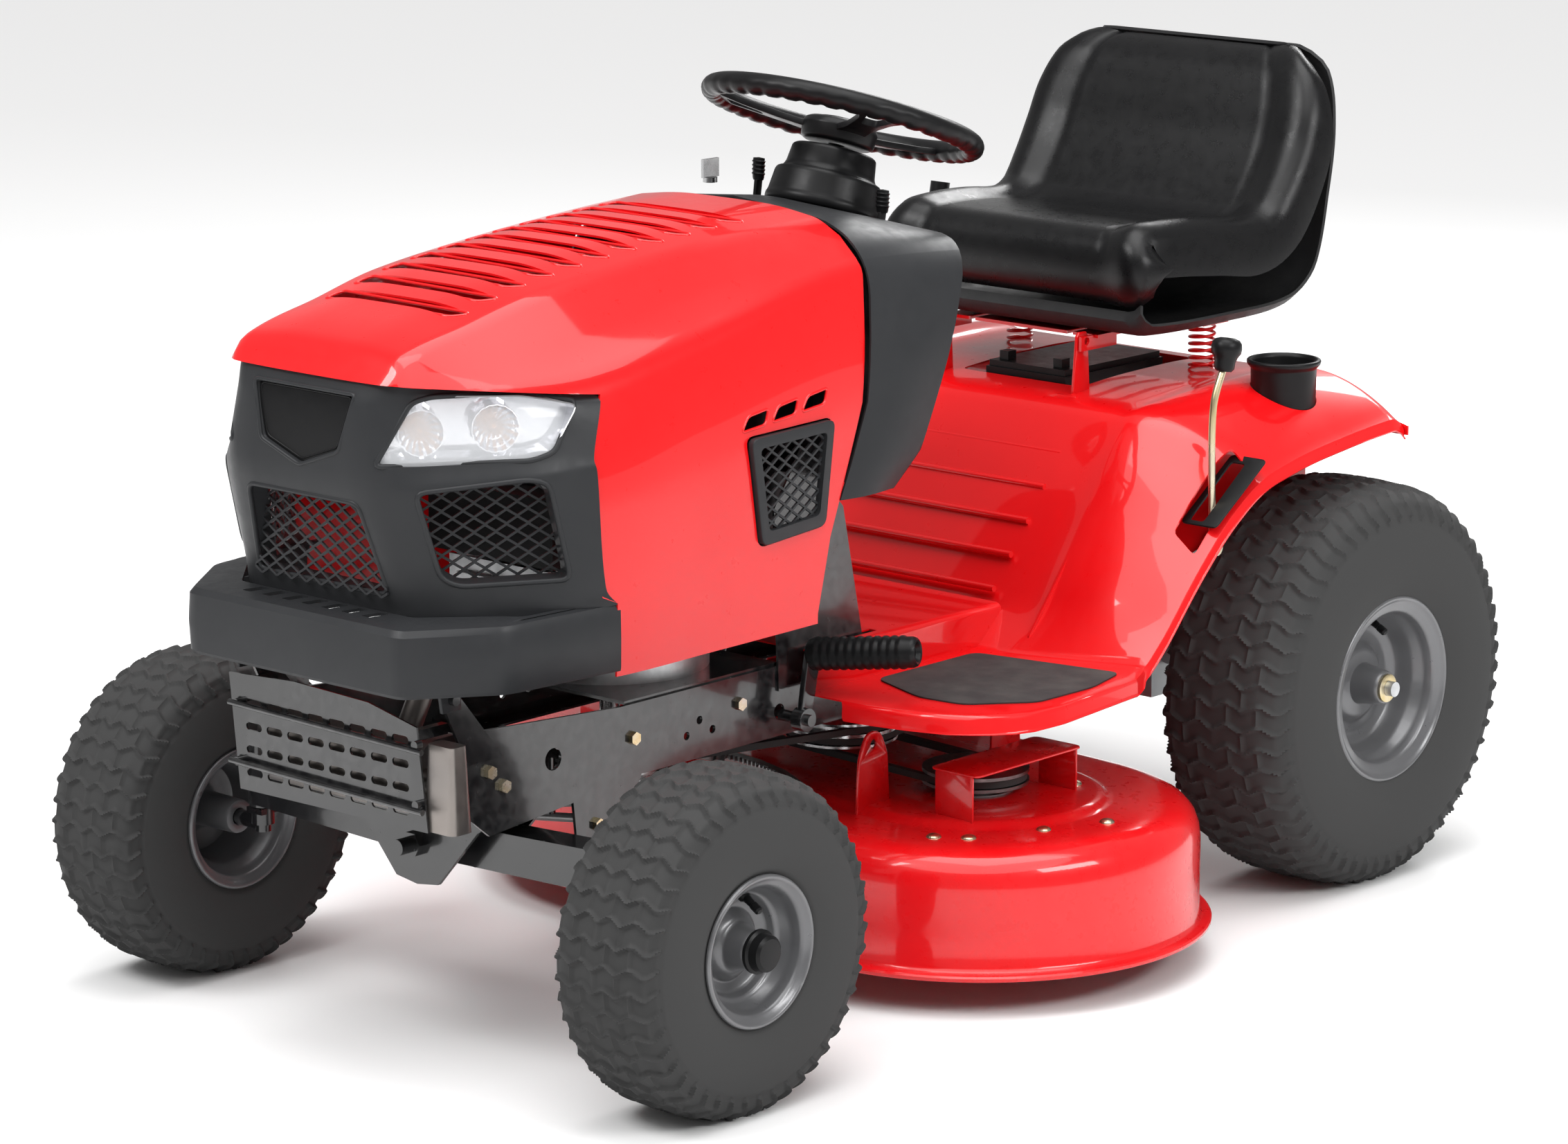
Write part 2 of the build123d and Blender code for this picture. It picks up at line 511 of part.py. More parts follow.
def slant_plane(side, out=0.0):
    """The plane of one slanted face, shifted outwards, with X backwards along it and Y up."""
    normal = Vector(side * 0.81, -0.586, 0)
    origin = Vector(side * SLANT_MID[0], SLANT_MID[1], 0) + normal * out
    return Plane(origin=origin, x_dir=Vector(side * SLANT_ALONG.X, SLANT_ALONG.Y, 0), z_dir=normal)


def slant_outline(side, outline):
    """An outline on a slanted face; on the right the plane's Y points down, so Z is turned."""
    flip = slant_plane(side).y_dir.Z
    return [(s, flip * z) for s, z in outline]


LENS = [(-104, 713), (-66, 777), (70, 790), (116, 771), (86, 711)]
SIDE_GRILLE = [(-70, 682), (72, 686), (104, 574), (-26, 580)]
CENTRE_GRILLE = mirrored([(104, 560), (88, 668)])
BADGE = mirrored([(0, 700), (62, 722), (80, 780)])
FASCIA_DEPTH = 90.0

with BuildPart() as front_fascia:
    add(hood_skin(MOULD))
    with BuildSketch(Plane.YZ) as region:
        with BuildLine():
            Polyline(*fascia_edge, close=True)
        make_face()
    extrude(region.sketch, amount=HALF_SPAN, both=True, mode=Mode.INTERSECT)
    plate(Plane.XZ.offset(-HOOD_NOSE_Y), CENTRE_GRILLE, FASCIA_DEPTH, Mode.SUBTRACT)
    for side in (-1, 1):
        for outline in (LENS, SIDE_GRILLE):
            plate(slant_plane(side), slant_outline(side, outline), FASCIA_DEPTH, Mode.SUBTRACT)
save(front_fascia, "front_fascia")

GRILLE_T, DIAMOND = 3.0, 15.0


def mesh_panel(plane, outline, flip=1):
    """A grille panel pierced by rows of diamonds, inside a solid edge."""
    with BuildPart() as panel:
        plate(plane, outline, GRILLE_T)
        xs = [x for x, _ in outline]
        zs = [z for _, z in outline]
        with BuildSketch(plane) as field:
            with BuildLine():
                Polyline(*outline, close=True)
            make_face()
            offset(amount=-9, kind=Kind.INTERSECTION)
        middle = ((min(xs) + max(xs)) / 2, (min(zs) + max(zs)) / 2)
        across = int((max(xs) - min(xs)) / (1.5 * DIAMOND))
        up = int((max(zs) - min(zs)) / DIAMOND)
        with BuildSketch(plane) as diamonds:
            for shift in (0, 1):
                place = (middle[0] + shift * 0.75 * DIAMOND, middle[1] + shift * DIAMOND / 2)
                with Locations(place):
                    with GridLocations(1.5 * DIAMOND, DIAMOND, across, up):
                        with BuildLine():
                            Polyline((-9, 0), (0, -5.4), (9, 0), (0, 5.4), close=True)
                        make_face()
        extrude((diamonds.sketch & field.sketch), amount=GRILLE_T, both=True, mode=Mode.SUBTRACT)
    return panel.part


GRILLE_SET_BACK = 14.0
with BuildPart() as front_grilles:
    add(mesh_panel(Plane.XZ.offset(-HOOD_NOSE_Y - GRILLE_SET_BACK), CENTRE_GRILLE))
    for side in (-1, 1):
        add(mesh_panel(slant_plane(side, -GRILLE_SET_BACK), slant_outline(side, SIDE_GRILLE)))
save(front_grilles, "front_grilles")

LENS_T = 3.0
with BuildPart() as headlight_lenses:
    for side in (-1, 1):
        plate(slant_plane(side, -2), slant_outline(side, LENS), LENS_T)
save(headlight_lenses, "headlight_lenses")

REFLECTOR_BACK = 34.0
with BuildPart() as headlight_reflectors:
    for side in (-1, 1):
        inner = [(0.88 * s, 740 + 0.78 * (z - 745)) for s, z in LENS]
        deep = [(0.8 * s, 740 + 0.7 * (z - 745)) for s, z in LENS]
        face = slant_plane(side, -4 - LENS_T)
        with BuildSketch(face) as rear:
            with BuildLine():
                Polyline(*slant_outline(side, inner), close=True)
            make_face()
        extrude(rear.sketch, amount=-REFLECTOR_BACK)
        with BuildSketch(face) as bowl:
            with BuildLine():
                Polyline(*slant_outline(side, deep), close=True)
            make_face()
        extrude(bowl.sketch, amount=-REFLECTOR_BACK + 4, mode=Mode.SUBTRACT)
save(headlight_reflectors, "headlight_reflectors")

with BuildPart() as badge_plate:
    plate(Plane.XZ.offset(-HOOD_NOSE_Y + 2.5), BADGE, 4)
save(badge_plate, "badge_plate")

with BuildPart() as side_vents:
    for side in (-1, 1):
        inner = [(-984, 684), (-858, 684), (-871, 586), (-970, 578)]
        add(mesh_panel(Plane.YZ.offset(side * 252), inner))
save(side_vents, "side_vents")

# The bumper: a hollow moulding round the nose, with ears that hold the hood's hinge pins.
EAR_X = RAIL_X + RAIL_WEB / 2 + 12
bumper_plan = [(0, BUMPER_Y), (167, BUMPER_Y), (238, BUMPER_Y + 97), (253, hood_start_y + 8)]
bumper_back = [(249, hood_start_y + 8), (234, BUMPER_Y + 99), (165, BUMPER_Y + 4), (0, BUMPER_Y + 4)]


with BuildPart() as bumper:
    left = bumper_plan + bumper_back
    band = [*left, *[(-x, y) for x, y in reversed(left) if x > 0]]
    with BuildSketch(Plane.XY.offset(BUMPER_LOW)) as wall:
        with BuildLine():
            Polyline(*band, close=True)
        make_face()
    extrude(wall.sketch, amount=BUMPER_HIGH - BUMPER_LOW)
    ledge_back = [(247, hood_start_y + 8), (205, hood_start_y + 8), (140, HOOD_NOSE_Y + 50),
                  (0, HOOD_NOSE_Y + 40)]
    left = bumper_plan + ledge_back
    with BuildSketch(Plane.XY.offset(BUMPER_HIGH - MOULD)) as ledge:
        with BuildLine():
            Polyline(*left, *[(-x, y) for x, y in reversed(left) if x > 0], close=True)
        make_face()
    extrude(ledge.sketch, amount=MOULD)
    for side in (-1, 1):
        ear = [(HOOD_PIVOT_Y - 14, HOOD_PIVOT_Z - 14), (HOOD_PIVOT_Y + 14, HOOD_PIVOT_Z - 14),
               (HOOD_PIVOT_Y + 22, BUMPER_HIGH - 1), (HOOD_PIVOT_Y - 30, BUMPER_HIGH - 1)]
        plate(Plane.YZ.offset(side * EAR_X), ear, 5)
        start = (side * (EAR_X - 6), HOOD_PIVOT_Y, HOOD_PIVOT_Z)
        disc(start, (side, 0, 0), 6 + RUNNING, 12, Mode.SUBTRACT)
save(bumper, "bumper")


# ------------------------------------------------------------------ nose guard and exhaust
GUARD_Y = FRONT_Y - 176
guard_face = Plane.XZ.offset(-GUARD_Y)
with BuildPart() as muffler_guard:
    face = [(-168, 430), (-153, 296), (152, 299), (136, 416), (60, 432), (-60, 436)]
    plate(guard_face, face, 2.5)
    with BuildSketch(guard_face) as slots:
        for row in range(4):
            for count in range(8):
                with Locations((-128 + 34 * count, 318 + 27 * row)):
                    SlotOverall(26, 9)
    extrude(slots.sketch, amount=6, both=True, mode=Mode.SUBTRACT)
    for z in (330, 398):
        disc((-160, GUARD_Y - 9, z), (1, 0, -0.02), 3.5, 312)
        for x in (-150, 140):
            disc((x, GUARD_Y - 9, z), (0, 1, 0), 5, 9)
    block((-150, GUARD_Y, 400), (-140, RAIL_FRONT_Y - 6, 424))
    block((125, GUARD_Y, 400), (135, RAIL_FRONT_Y - 6, 412))
save(muffler_guard, "muffler_guard")

with BuildPart() as muffler:
    with BuildSketch(Plane.YZ.offset(-135)) as can:
        with Locations((GUARD_Y + 52, 348)):
            RectangleRounded(84, 92, 30)
    extrude(can.sketch, amount=262)
    with BuildSketch(Plane.XY.offset(300)) as outlet:
        with Locations((163, GUARD_Y + 19)):
            RectangleRounded(50, 34, 10)
    extrude(outlet.sketch, amount=98, taper=3)
    disc((120, GUARD_Y + 24, 350), (1, 0, 0), 14, 30)
    disc((60, GUARD_Y + 60, 392), (0, 0.5, 0.86), 14, 60)
save(muffler, "muffler")

# ------------------------------------------------------------------ engine
CRANK_R = 12.0
FLYWHEEL_TOP = 640.0
with BuildPart() as engine_block:
    disc((0, ENGINE_Y, RAIL_TOP + 4), (0, 0, 1), 118, 66)
    disc((0, ENGINE_Y, RAIL_TOP + 70), (0, 0, 1), 92, 60)
    block((-62, ENGINE_Y - 190, 430), (62, ENGINE_Y - 60, 520))
    for fin in range(9):
        y = ENGINE_Y - 182 + 13 * fin
        block((-80, y, 412), (80, y + 4, 538))
    disc((0, ENGINE_Y, RAIL_TOP + 130), (0, 0, 1), 20, 60)
save(engine_block, "engine_block")

with BuildPart() as engine_shroud:
    disc((0, ENGINE_Y, 545), (0, 0, 1), 150, 95)
    block((-100, ENGINE_Y - 195, 545), (100, ENGINE_Y - 60, 625))
    disc((0, ENGINE_Y, 540), (0, 0, 1), 146, 96, Mode.SUBTRACT)
    block((-96, ENGINE_Y - 191, 540), (96, ENGINE_Y - 60, 621), Mode.SUBTRACT)
    disc((0, ENGINE_Y, FLYWHEEL_TOP - 5), (0, 0, 1), 96, 8, Mode.SUBTRACT)
    disc((0, ENGINE_Y, FLYWHEEL_TOP - 4), (0, 0, 1), 100, 26)
    disc((0, ENGINE_Y, FLYWHEEL_TOP - 6), (0, 0, 1), 96, 24, Mode.SUBTRACT)
    with BuildSketch(Plane.XY.offset(FLYWHEEL_TOP + 16)) as screen:
        with Locations((0, ENGINE_Y)):
            Circle(92)
            with PolarLocations(64, 16):
                SlotOverall(46, 6, mode=Mode.SUBTRACT)
    extrude(screen.sketch, amount=6)
save(engine_shroud, "engine_shroud")

TANK_LOW, TANK_HIGH = 650.0, 770.0
with BuildPart() as fuel_tank:
    block((-125, HOOD_REAR_Y - 75, TANK_LOW), (125, HOOD_REAR_Y + 22, TANK_HIGH))
    fillet(fuel_tank.edges(), 14)
    disc((-80, HOOD_REAR_Y - 30, TANK_HIGH - 1), (0, 0, 1), 26, 16)
    disc((-80, HOOD_REAR_Y - 30, TANK_HIGH + 15.2), (0, 0, 1), 33, 22)
save(fuel_tank, "fuel_tank")

# ------------------------------------------------------------------ dash
DASH_OUT = [(258, 600), (255, 750), (230, 862), (150, 905), (0, 918)]
COVER_HALF = 75.0
KEY_X, KEY_Y = -165.0, -600.0
dash_side = [(-742, 940), (-556, 895), (-556, 868), (-640, 765), (-700, 640), (-738, 604),
             (-836, 590), (-789, 709), (-761, 864), (-742, 900)]


with BuildPart() as dash_panel:
    plate(Plane.YZ, dash_side, 2 * HALF_SPAN)
    with BuildSketch(Plane.XZ.offset(900)) as front_view:
        with BuildLine():
            Polyline(*mirrored(DASH_OUT), close=True)
        make_face()
    extrude(front_view.sketch, amount=-400, mode=Mode.INTERSECT)
    with BuildPart(mode=Mode.PRIVATE) as core:
        inner_side = [(-900, 560), (-900, 974), (-560, 891.5), (-560, 869), (-645, 765),
                      (-705, 640), (-744, 604), (-760, 560)]
        plate(Plane.YZ, inner_side, 2 * HALF_SPAN)
        with BuildSketch(Plane.XZ.offset(900)) as inner_view:
            with BuildLine():
                half = [(max(x - 1.2 * MOULD, 0), z - MOULD) for x, z in DASH_OUT]
                Polyline(*mirrored([(half[0][0], 560), *half]), close=True)
            make_face()
        extrude(inner_view.sketch, amount=-400, mode=Mode.INTERSECT)
    add(core.part, mode=Mode.SUBTRACT)
    # the cover over the steering shaft, from the dash down to the tunnel
    cover = [(-556, 868), (-704, TUNNEL_Z + GAP), (-790, TUNNEL_Z + GAP), (-790, 592),
             (-724, 596), (-706, 640), (-644, 765)]
    plate(Plane.YZ, cover, 2 * COVER_HALF)
    inside = [(-563, 866), (-709, 396), (-786, 396), (-786, 588), (-724, 592), (-724, 700),
              (-660, 850)]
    plate(Plane.YZ, inside, 2 * (COVER_HALF - MOULD), Mode.SUBTRACT)
    foot = on_column(820)
    disc(foot, column_up, SHAFT_R + 3, 140, Mode.SUBTRACT)
    disc((KEY_X, KEY_Y, 850), (0, 0, 1), 16, 52.4)
    block((88, -640, 862), (112, -540, 930), Mode.SUBTRACT)
    block((-112, -640, 862), (-88, -540, 930), Mode.SUBTRACT)
save(dash_panel, "dash_panel")

COLUMN_LOW, COLUMN_HIGH = 908.0, WHEEL_Z - 40
with BuildPart() as steering_column:
    low, high = on_column(COLUMN_LOW), on_column(COLUMN_HIGH)
    with BuildSketch(Plane(origin=low, x_dir=(1, 0, 0), z_dir=column_up)) as base:
        Circle(66)
        Circle(SHAFT_R + 2, mode=Mode.SUBTRACT)
    extrude(base.sketch, amount=(COLUMN_HIGH - COLUMN_LOW) / math.cos(tilt) - 1, taper=4)
    add(dash_panel.part, mode=Mode.SUBTRACT)
save(steering_column, "steering_column")

# A small lever on a cross pin: the throttle on the left, the blade engagement on the right.
DASH_LEVER_X, DASH_LEVER_Y, DASH_LEVER_Z = 100.0, -592.0, 850.0
for name, x, reach in (("throttle_lever", DASH_LEVER_X, 42), ("blade_lever", -DASH_LEVER_X, 62)):
    with BuildPart() as lever:
        disc((x - 5, DASH_LEVER_Y, DASH_LEVER_Z), (1, 0, 0), 9, 10)
        arm = [(DASH_LEVER_Y - 4, DASH_LEVER_Z), (DASH_LEVER_Y + 4, DASH_LEVER_Z),
               (DASH_LEVER_Y + 10, DASH_LEVER_Z + reach), (DASH_LEVER_Y + 2, DASH_LEVER_Z + reach)]
        plate(Plane.YZ.offset(x), arm, 5)
        with BuildSketch(Plane.XY.offset(DASH_LEVER_Z + reach - 2)) as grip:
            with Locations((x, DASH_LEVER_Y + 8)):
                RectangleRounded(20, 16, 5)
        extrude(grip.sketch, amount=30, taper=-4)
    save(lever, name)

with BuildPart() as ignition_key:
    disc((KEY_X, KEY_Y, 903), (0, 0, 1), 9, 6)
    block((KEY_X - 2, KEY_Y - 14, 909), (KEY_X + 2, KEY_Y + 14, 932))
save(ignition_key, "ignition_key")

# ------------------------------------------------------------------ fender body
FLOOR_FRONT_Y, FLOOR_BACK_Y = -800.0, -446.0
RISER_LOW_Y, RISER_HIGH_Y = -492.0, -262.0
board_plan = [(TUNNEL_X - 4, -792), (263, -805), (362, -780), (420, -735), (437, -690),
              (436, -574), (425, -500), (FENDER_LIP_X, FLOOR_BACK_Y), (TUNNEL_X - 4, RISER_LOW_Y + 30)]
lip_path = board_plan[1:8]
SLOT_X0, SLOT_X1 = 358.0, 380.0    # the gear lever's slot


def thin(path, wall):
    """A closed band a wall thick under an open path."""
    return [*path, *[(y, z - wall) for y, z in reversed(path)]]


arch_inner = [(-492, FLOOR_Z), (-440, 384), (-378, 470), (-318, 556), (-262, FENDER_Z),
              (-120, 636), (0, 640), (FENDER_REAR_Y, 634)]
arch_outer = [(FLOOR_BACK_Y, FLOOR_Z - 8), (-392, 384), (-344, 444), (-281, 502), (-218, 541),
              (-125, 562), (0, 574), (FENDER_REAR_Y, 577)]


def arch_height(x, y):
    """The height of the wheel arch's skin at a place on it."""
    part = (x - FENDER_X + 30) / (FENDER_LIP_X - FENDER_X + 30)
    line = [[a + (b - a) * part for a, b in zip(*ends)] for ends in zip(arch_inner, arch_outer)]
    for (y0, z0), (y1, z1) in zip(line, line[1:]):
        if y <= y1:
            return z0 + (z1 - z0) * (y - y0) / (y1 - y0)
    return line[-1][1]


TAB_T = 4.0
with BuildPart() as fender_body:
    block((-TUNNEL_X, FLOOR_FRONT_Y + 8, TUNNEL_Z - SHEET), (TUNNEL_X, RISER_LOW_Y + 46, TUNNEL_Z))
    riser = [(RISER_LOW_Y, FLOOR_Z), (RISER_HIGH_Y, FENDER_Z), (FENDER_REAR_Y, FENDER_Z),
             (FENDER_REAR_Y, 560)]
    band = [*riser, (FENDER_REAR_Y - SHEET, 560), (FENDER_REAR_Y - SHEET, FENDER_Z - SHEET),
            (RISER_HIGH_Y + 1, FENDER_Z - SHEET), (RISER_LOW_Y + 3, FLOOR_Z)]
    plate(Plane.YZ, band, 2 * FENDER_X)
    for side in (-1, 1):
        board = [(side * x, y) for x, y in board_plan]
        with BuildSketch(Plane.XY.offset(FLOOR_Z - SHEET)) as floor:
            with BuildLine():
                Polyline(*board, close=True)
            make_face()
        extrude(floor.sketch, amount=SHEET)
        # the turned-down lip round the running board
        with BuildSketch(Plane.XY.offset(FLOOR_Z - 20)) as lip:
            with BuildLine():
                inside = [(side * (x - 2), y + (2 if y < -700 else 0)) for x, y in lip_path]
                Polyline(*[(side * x, y) for x, y in lip_path], *reversed(inside), close=True)
            make_face()
        extrude(lip.sketch, amount=20)
        # tunnel side and the wall inside the wheel
        x0, x1 = sorted((side * TUNNEL_X, side * (TUNNEL_X - SHEET)))
        block((x0, FLOOR_FRONT_Y + 8, FLOOR_Z - SHEET), (x1, RISER_LOW_Y + 46, TUNNEL_Z))
        arch = []
        for x, path in ((FENDER_X - 30, arch_inner), (FENDER_LIP_X, arch_outer)):
            with BuildSketch(Plane.YZ.offset(side * x)) as section:
                with BuildLine():
                    Polyline(*thin(path, 3 * SHEET), close=True)
                make_face()
            arch.append(section.sketch)
        loft(arch, ruled=True)
        x0, x1 = sorted((side * 240, side * (240 + SHEET)))
        with BuildSketch(Plane.YZ.offset(x0)) as cheek:
            with BuildLine():
                Polyline((-470, 345), (FENDER_REAR_Y, 480), (FENDER_REAR_Y, FENDER_Z - 1),
                         (-262, FENDER_Z - 1), (-470, 372), close=True)
            make_face()
        extrude(cheek.sketch, amount=SHEET)
        rear_face = [(side * 240, 560), (side * FENDER_LIP_X, 560), (side * FENDER_LIP_X, 576),
                     (side * FENDER_X, 618), (side * 240, 618)]
        plate(Plane.XZ.offset(-FENDER_REAR_Y + 1), rear_face, SHEET)
    # the riser stops above the rails, and the legs of the dash pass through the tunnel
    block((-TUNNEL_X + SHEET, RISER_LOW_Y - 8, 340),
          (TUNNEL_X - SHEET, RISER_LOW_Y + 52, TUNNEL_Z - SHEET), Mode.SUBTRACT)
    for side in (-1, 1):
        x0, x1 = sorted((side * (LEG_X - 6), side * (LEG_X + 5)))
        block((x0, -850, TUNNEL_Z - 12), (x1, -660, TUNNEL_Z + 5), Mode.SUBTRACT)
    # opening over the battery
    block((-98, -198, 600), (98, 40, 640), Mode.SUBTRACT)
    # wells and slots for the levers
    block((SLOT_X0, -330, 480), (SLOT_X1, -220, 640), Mode.SUBTRACT)
    block((-338, -110, 540), (-322, 70, 660), Mode.SUBTRACT)
    disc((305, -50, 590), (0, 0, 1), 41.5, 80, Mode.SUBTRACT)
    for side in (-1, 1):
        block((side * TUNNEL_X - 1, FLOOR_FRONT_Y - 26, PEDAL_Z + PEDAL_PIN_R + SHEET),
              (side * TUNNEL_X + 1, FLOOR_FRONT_Y + 10, FLOOR_Z + 24))
    # ribs pressed across the riser
    for count in range(5):
        part = 0.24 + 0.14 * count
        y = RISER_LOW_Y + part * (RISER_HIGH_Y - RISER_LOW_Y)
        z = FLOOR_Z + part * (FENDER_Z - FLOOR_Z)
        disc((-150, y + 1.5, z), (1, 0, 0), 4, 300)
    # ears that hold the seat's hinge pins
    for side in (-1, 1):
        ear = [(SEAT_PIVOT_Y - 16, FENDER_Z - 1), (SEAT_PIVOT_Y + 14, FENDER_Z - 1),
               (SEAT_PIVOT_Y + 11, SEAT_PIVOT_Z + 10), (SEAT_PIVOT_Y - 11, SEAT_PIVOT_Z + 10)]
        plate(Plane.YZ.offset(side * EAR_HALF_X), ear, 4)
        disc((side * EAR_HALF_X, SEAT_PIVOT_Y, SEAT_PIVOT_Z), (side, 0, 0), 5, 18)
    # welded tabs and pins under the arches for the gear lever and the lift lever
    disc((SHIFT_X - 24, SHIFT_Y, SHIFT_Z), (1, 0, 0), 5, 36)
    disc((LIFT_X - 18, LIFT_Y, LIFT_Z), (1, 0, 0), 5, 30)
    for x, y, z in ((SHIFT_X - 22, SHIFT_Y, SHIFT_Z), (LIFT_X - 17, LIFT_Y, LIFT_Z)):
        tops = [(end, arch_height(abs(x) + TAB_T / 2, end) - SHEET) for end in (y + 10, y - 10)]
        plate(Plane.YZ.offset(x), [(y - 12, z - 12), (y + 12, z - 12), *tops], TAB_T)
    # the tunnel is open for the steering shaft
    disc(on_column(300), column_up, 22, 160, Mode.SUBTRACT)
save(fender_body, "fender_body")

with BuildPart() as foot_pads:
    for side in (-1, 1):
        pad = [(side * x, y) for x, y in
               [(196, -700), (290, -735), (352, -728), (410, -660), (412, -560), (392, -476),
                (196, -520)]]
        with BuildSketch(Plane.XY.offset(FLOOR_Z)) as grit:
            with BuildLine():
                Polyline(*pad, close=True)
            make_face()
        extrude(grit.sketch, amount=1.5)
save(foot_pads, "foot_pads")

CUP = (305.0, -50.0)
with BuildPart() as cup_holder:
    disc((*CUP, 600), (0, 0, 1), 41, 62)
    disc((*CUP, 652), (0, 0, 1), 47, 12)
    disc((*CUP, 603), (0, 0, 1), 38.5, 64, Mode.SUBTRACT)
save(cup_holder, "cup_holder")


def arch_band(x, stops, low, high):
    """A closed band lying on the wheel arch at one X, between two heights above its skin."""
    part = (x - FENDER_X + 30) / (FENDER_LIP_X - FENDER_X + 30)
    path = []
    for stop in stops:
        index = min(int(stop), len(arch_inner) - 2)
        ends = [[a + (b - a) * (stop - index) for a, b in zip(line[index], line[index + 1])]
                for line in (arch_inner, arch_outer)]
        path.append([a + (b - a) * part for a, b in zip(*ends)])
    return [*[(y, z + high) for y, z in path], *[(y, z + low) for y, z in reversed(path)]]


with BuildPart() as shift_plate:
    ends = []
    for x in (SLOT_X0 - 12, SLOT_X1 + 16):
        with BuildSketch(Plane.YZ.offset(x)) as section:
            with BuildLine():
                Polyline(*arch_band(x, (2.6, 3, 4, 4.35), 4.0, 5.6), close=True)
            make_face()
        ends.append(section.sketch)
    loft(ends, ruled=True)
    block((SLOT_X0, -330, 400), (SLOT_X1, -220, 700), Mode.SUBTRACT)
save(shift_plate, "shift_plate")

# ------------------------------------------------------------------ seat
cushion_side = [(-205, 738), (-228, 770), (-222, 812), (-195, 830), (-120, 832), (0, 815),
                (42, 832), (70, 875), (98, 940), (118, 1005), (140, 1027), (168, 1024),
                (184, 1000), (176, 930), (150, 830), (110, 738)]
SEAT_HALF = 235.0
cushion_front = mirrored([(205, 730), (228, 765), (SEAT_HALF, 860), (215, 960), (190, 1012),
                          (150, 1030)])
with BuildPart() as seat_cushion:
    plate(Plane.YZ, cushion_side, 2 * SEAT_HALF)
    with BuildSketch(Plane.XZ.offset(400)) as front_view:
        with BuildLine():
            Polyline(*cushion_front, close=True)
        make_face()
    extrude(front_view.sketch, amount=-800, mode=Mode.INTERSECT)
save(seat_cushion, "seat_cushion")

PAN_HALF, PAN_WALL = 212.0, 4.0
BRACKET_TOP = SEAT_PIVOT_Z + 6
PAN_LOW = BRACKET_TOP + 3
SLIDE_TRAVEL = 45.0
SLIDE_STUDS = [(-80, -150), (80, -150), (-80, 10), (80, 10)]
with BuildPart() as seat_pan:
    outer = [(-200, 737.5), (-190, 716), (-110, PAN_LOW), (110, PAN_LOW), (152, 722), (184, 820),
             (206, 925), (208, 975), (198, 985), (187, 980), (179, 928), (153, 828), (112, 737.5)]
    plate(Plane.YZ, outer, 2 * PAN_HALF)
    hollow = [(-194, 740), (-186, 719), (-109, PAN_LOW + PAN_WALL), (106, PAN_LOW + PAN_WALL),
              (108, 740)]
    plate(Plane.YZ, hollow, 2 * (PAN_HALF - PAN_WALL), Mode.SUBTRACT)
    for x, y in SLIDE_STUDS:
        disc((x, y, PAN_LOW + 1), (0, 0, -1), 4, 14)
        disc((x, y, BRACKET_TOP - 5), (0, 0, -1), 9, 4)
save(seat_pan, "seat_pan")

SPRING_X, SPRING_Y = 150.0, -16.0
with BuildPart() as seat_bracket:
    block((-125, SEAT_PIVOT_Y + 17, BRACKET_TOP - 4), (125, 95, BRACKET_TOP))
    block((-SPRING_X - 22, SPRING_Y - 26, BRACKET_TOP - 4),
          (SPRING_X + 22, SPRING_Y + 26, BRACKET_TOP))
    for side in (-1, 1):
        x0, x1 = sorted((side * (EAR_HALF_X + 5), side * (EAR_HALF_X + 9)))
        block((x0, SEAT_PIVOT_Y - 11, SEAT_PIVOT_Z - 12), (x1, SEAT_PIVOT_Y + 60, BRACKET_TOP))
        start = (side * (EAR_HALF_X + 3), SEAT_PIVOT_Y, SEAT_PIVOT_Z)
        disc(start, (side, 0, 0), 5 + RUNNING, 10, Mode.SUBTRACT)
    for x, y in SLIDE_STUDS:
        with BuildSketch(Plane.XY.offset(BRACKET_TOP - 8)) as slot:
            with Locations((x, y)):
                SlotOverall(2 * SLIDE_TRAVEL + 12, 10, rotation=90)
        extrude(slot.sketch, amount=12, mode=Mode.SUBTRACT)
    for x in (-40, 0, 40):
        block((x - 6, -180, BRACKET_TOP - 7), (x + 6, 80, BRACKET_TOP - 4))
    for side in (-1, 1):
        with BuildPart(mode=Mode.PRIVATE) as coil:
            base = (side * SPRING_X, SPRING_Y, FENDER_Z + 3)
            with BuildLine() as turns:
                Helix(9, BRACKET_TOP - 8 - FENDER_Z - 3, 16, center=base)
            line = turns.line
            with BuildSketch(Plane(origin=line @ 0, z_dir=line % 0)) as wire:
                Circle(2)
            sweep(wire.sketch, path=line, is_frenet=True)
        add(coil.part)
save(seat_bracket, "seat_bracket")

with BuildPart() as battery:
    block((BATTERY_X - 65, BATTERY_BACK_Y - 200, BATTERY_LOW),
          (BATTERY_X + 65, BATTERY_BACK_Y, BATTERY_HIGH - 12))
    block((BATTERY_X - 62, BATTERY_BACK_Y - 197, BATTERY_HIGH - 12),
          (BATTERY_X + 62, BATTERY_BACK_Y - 3, BATTERY_HIGH - 4))
    for x in (-44, 44):
        block((BATTERY_X + x - 7, BATTERY_BACK_Y - 190, BATTERY_HIGH - 4),
              (BATTERY_X + x + 7, BATTERY_BACK_Y - 174, BATTERY_HIGH + 8))
save(battery, "battery")

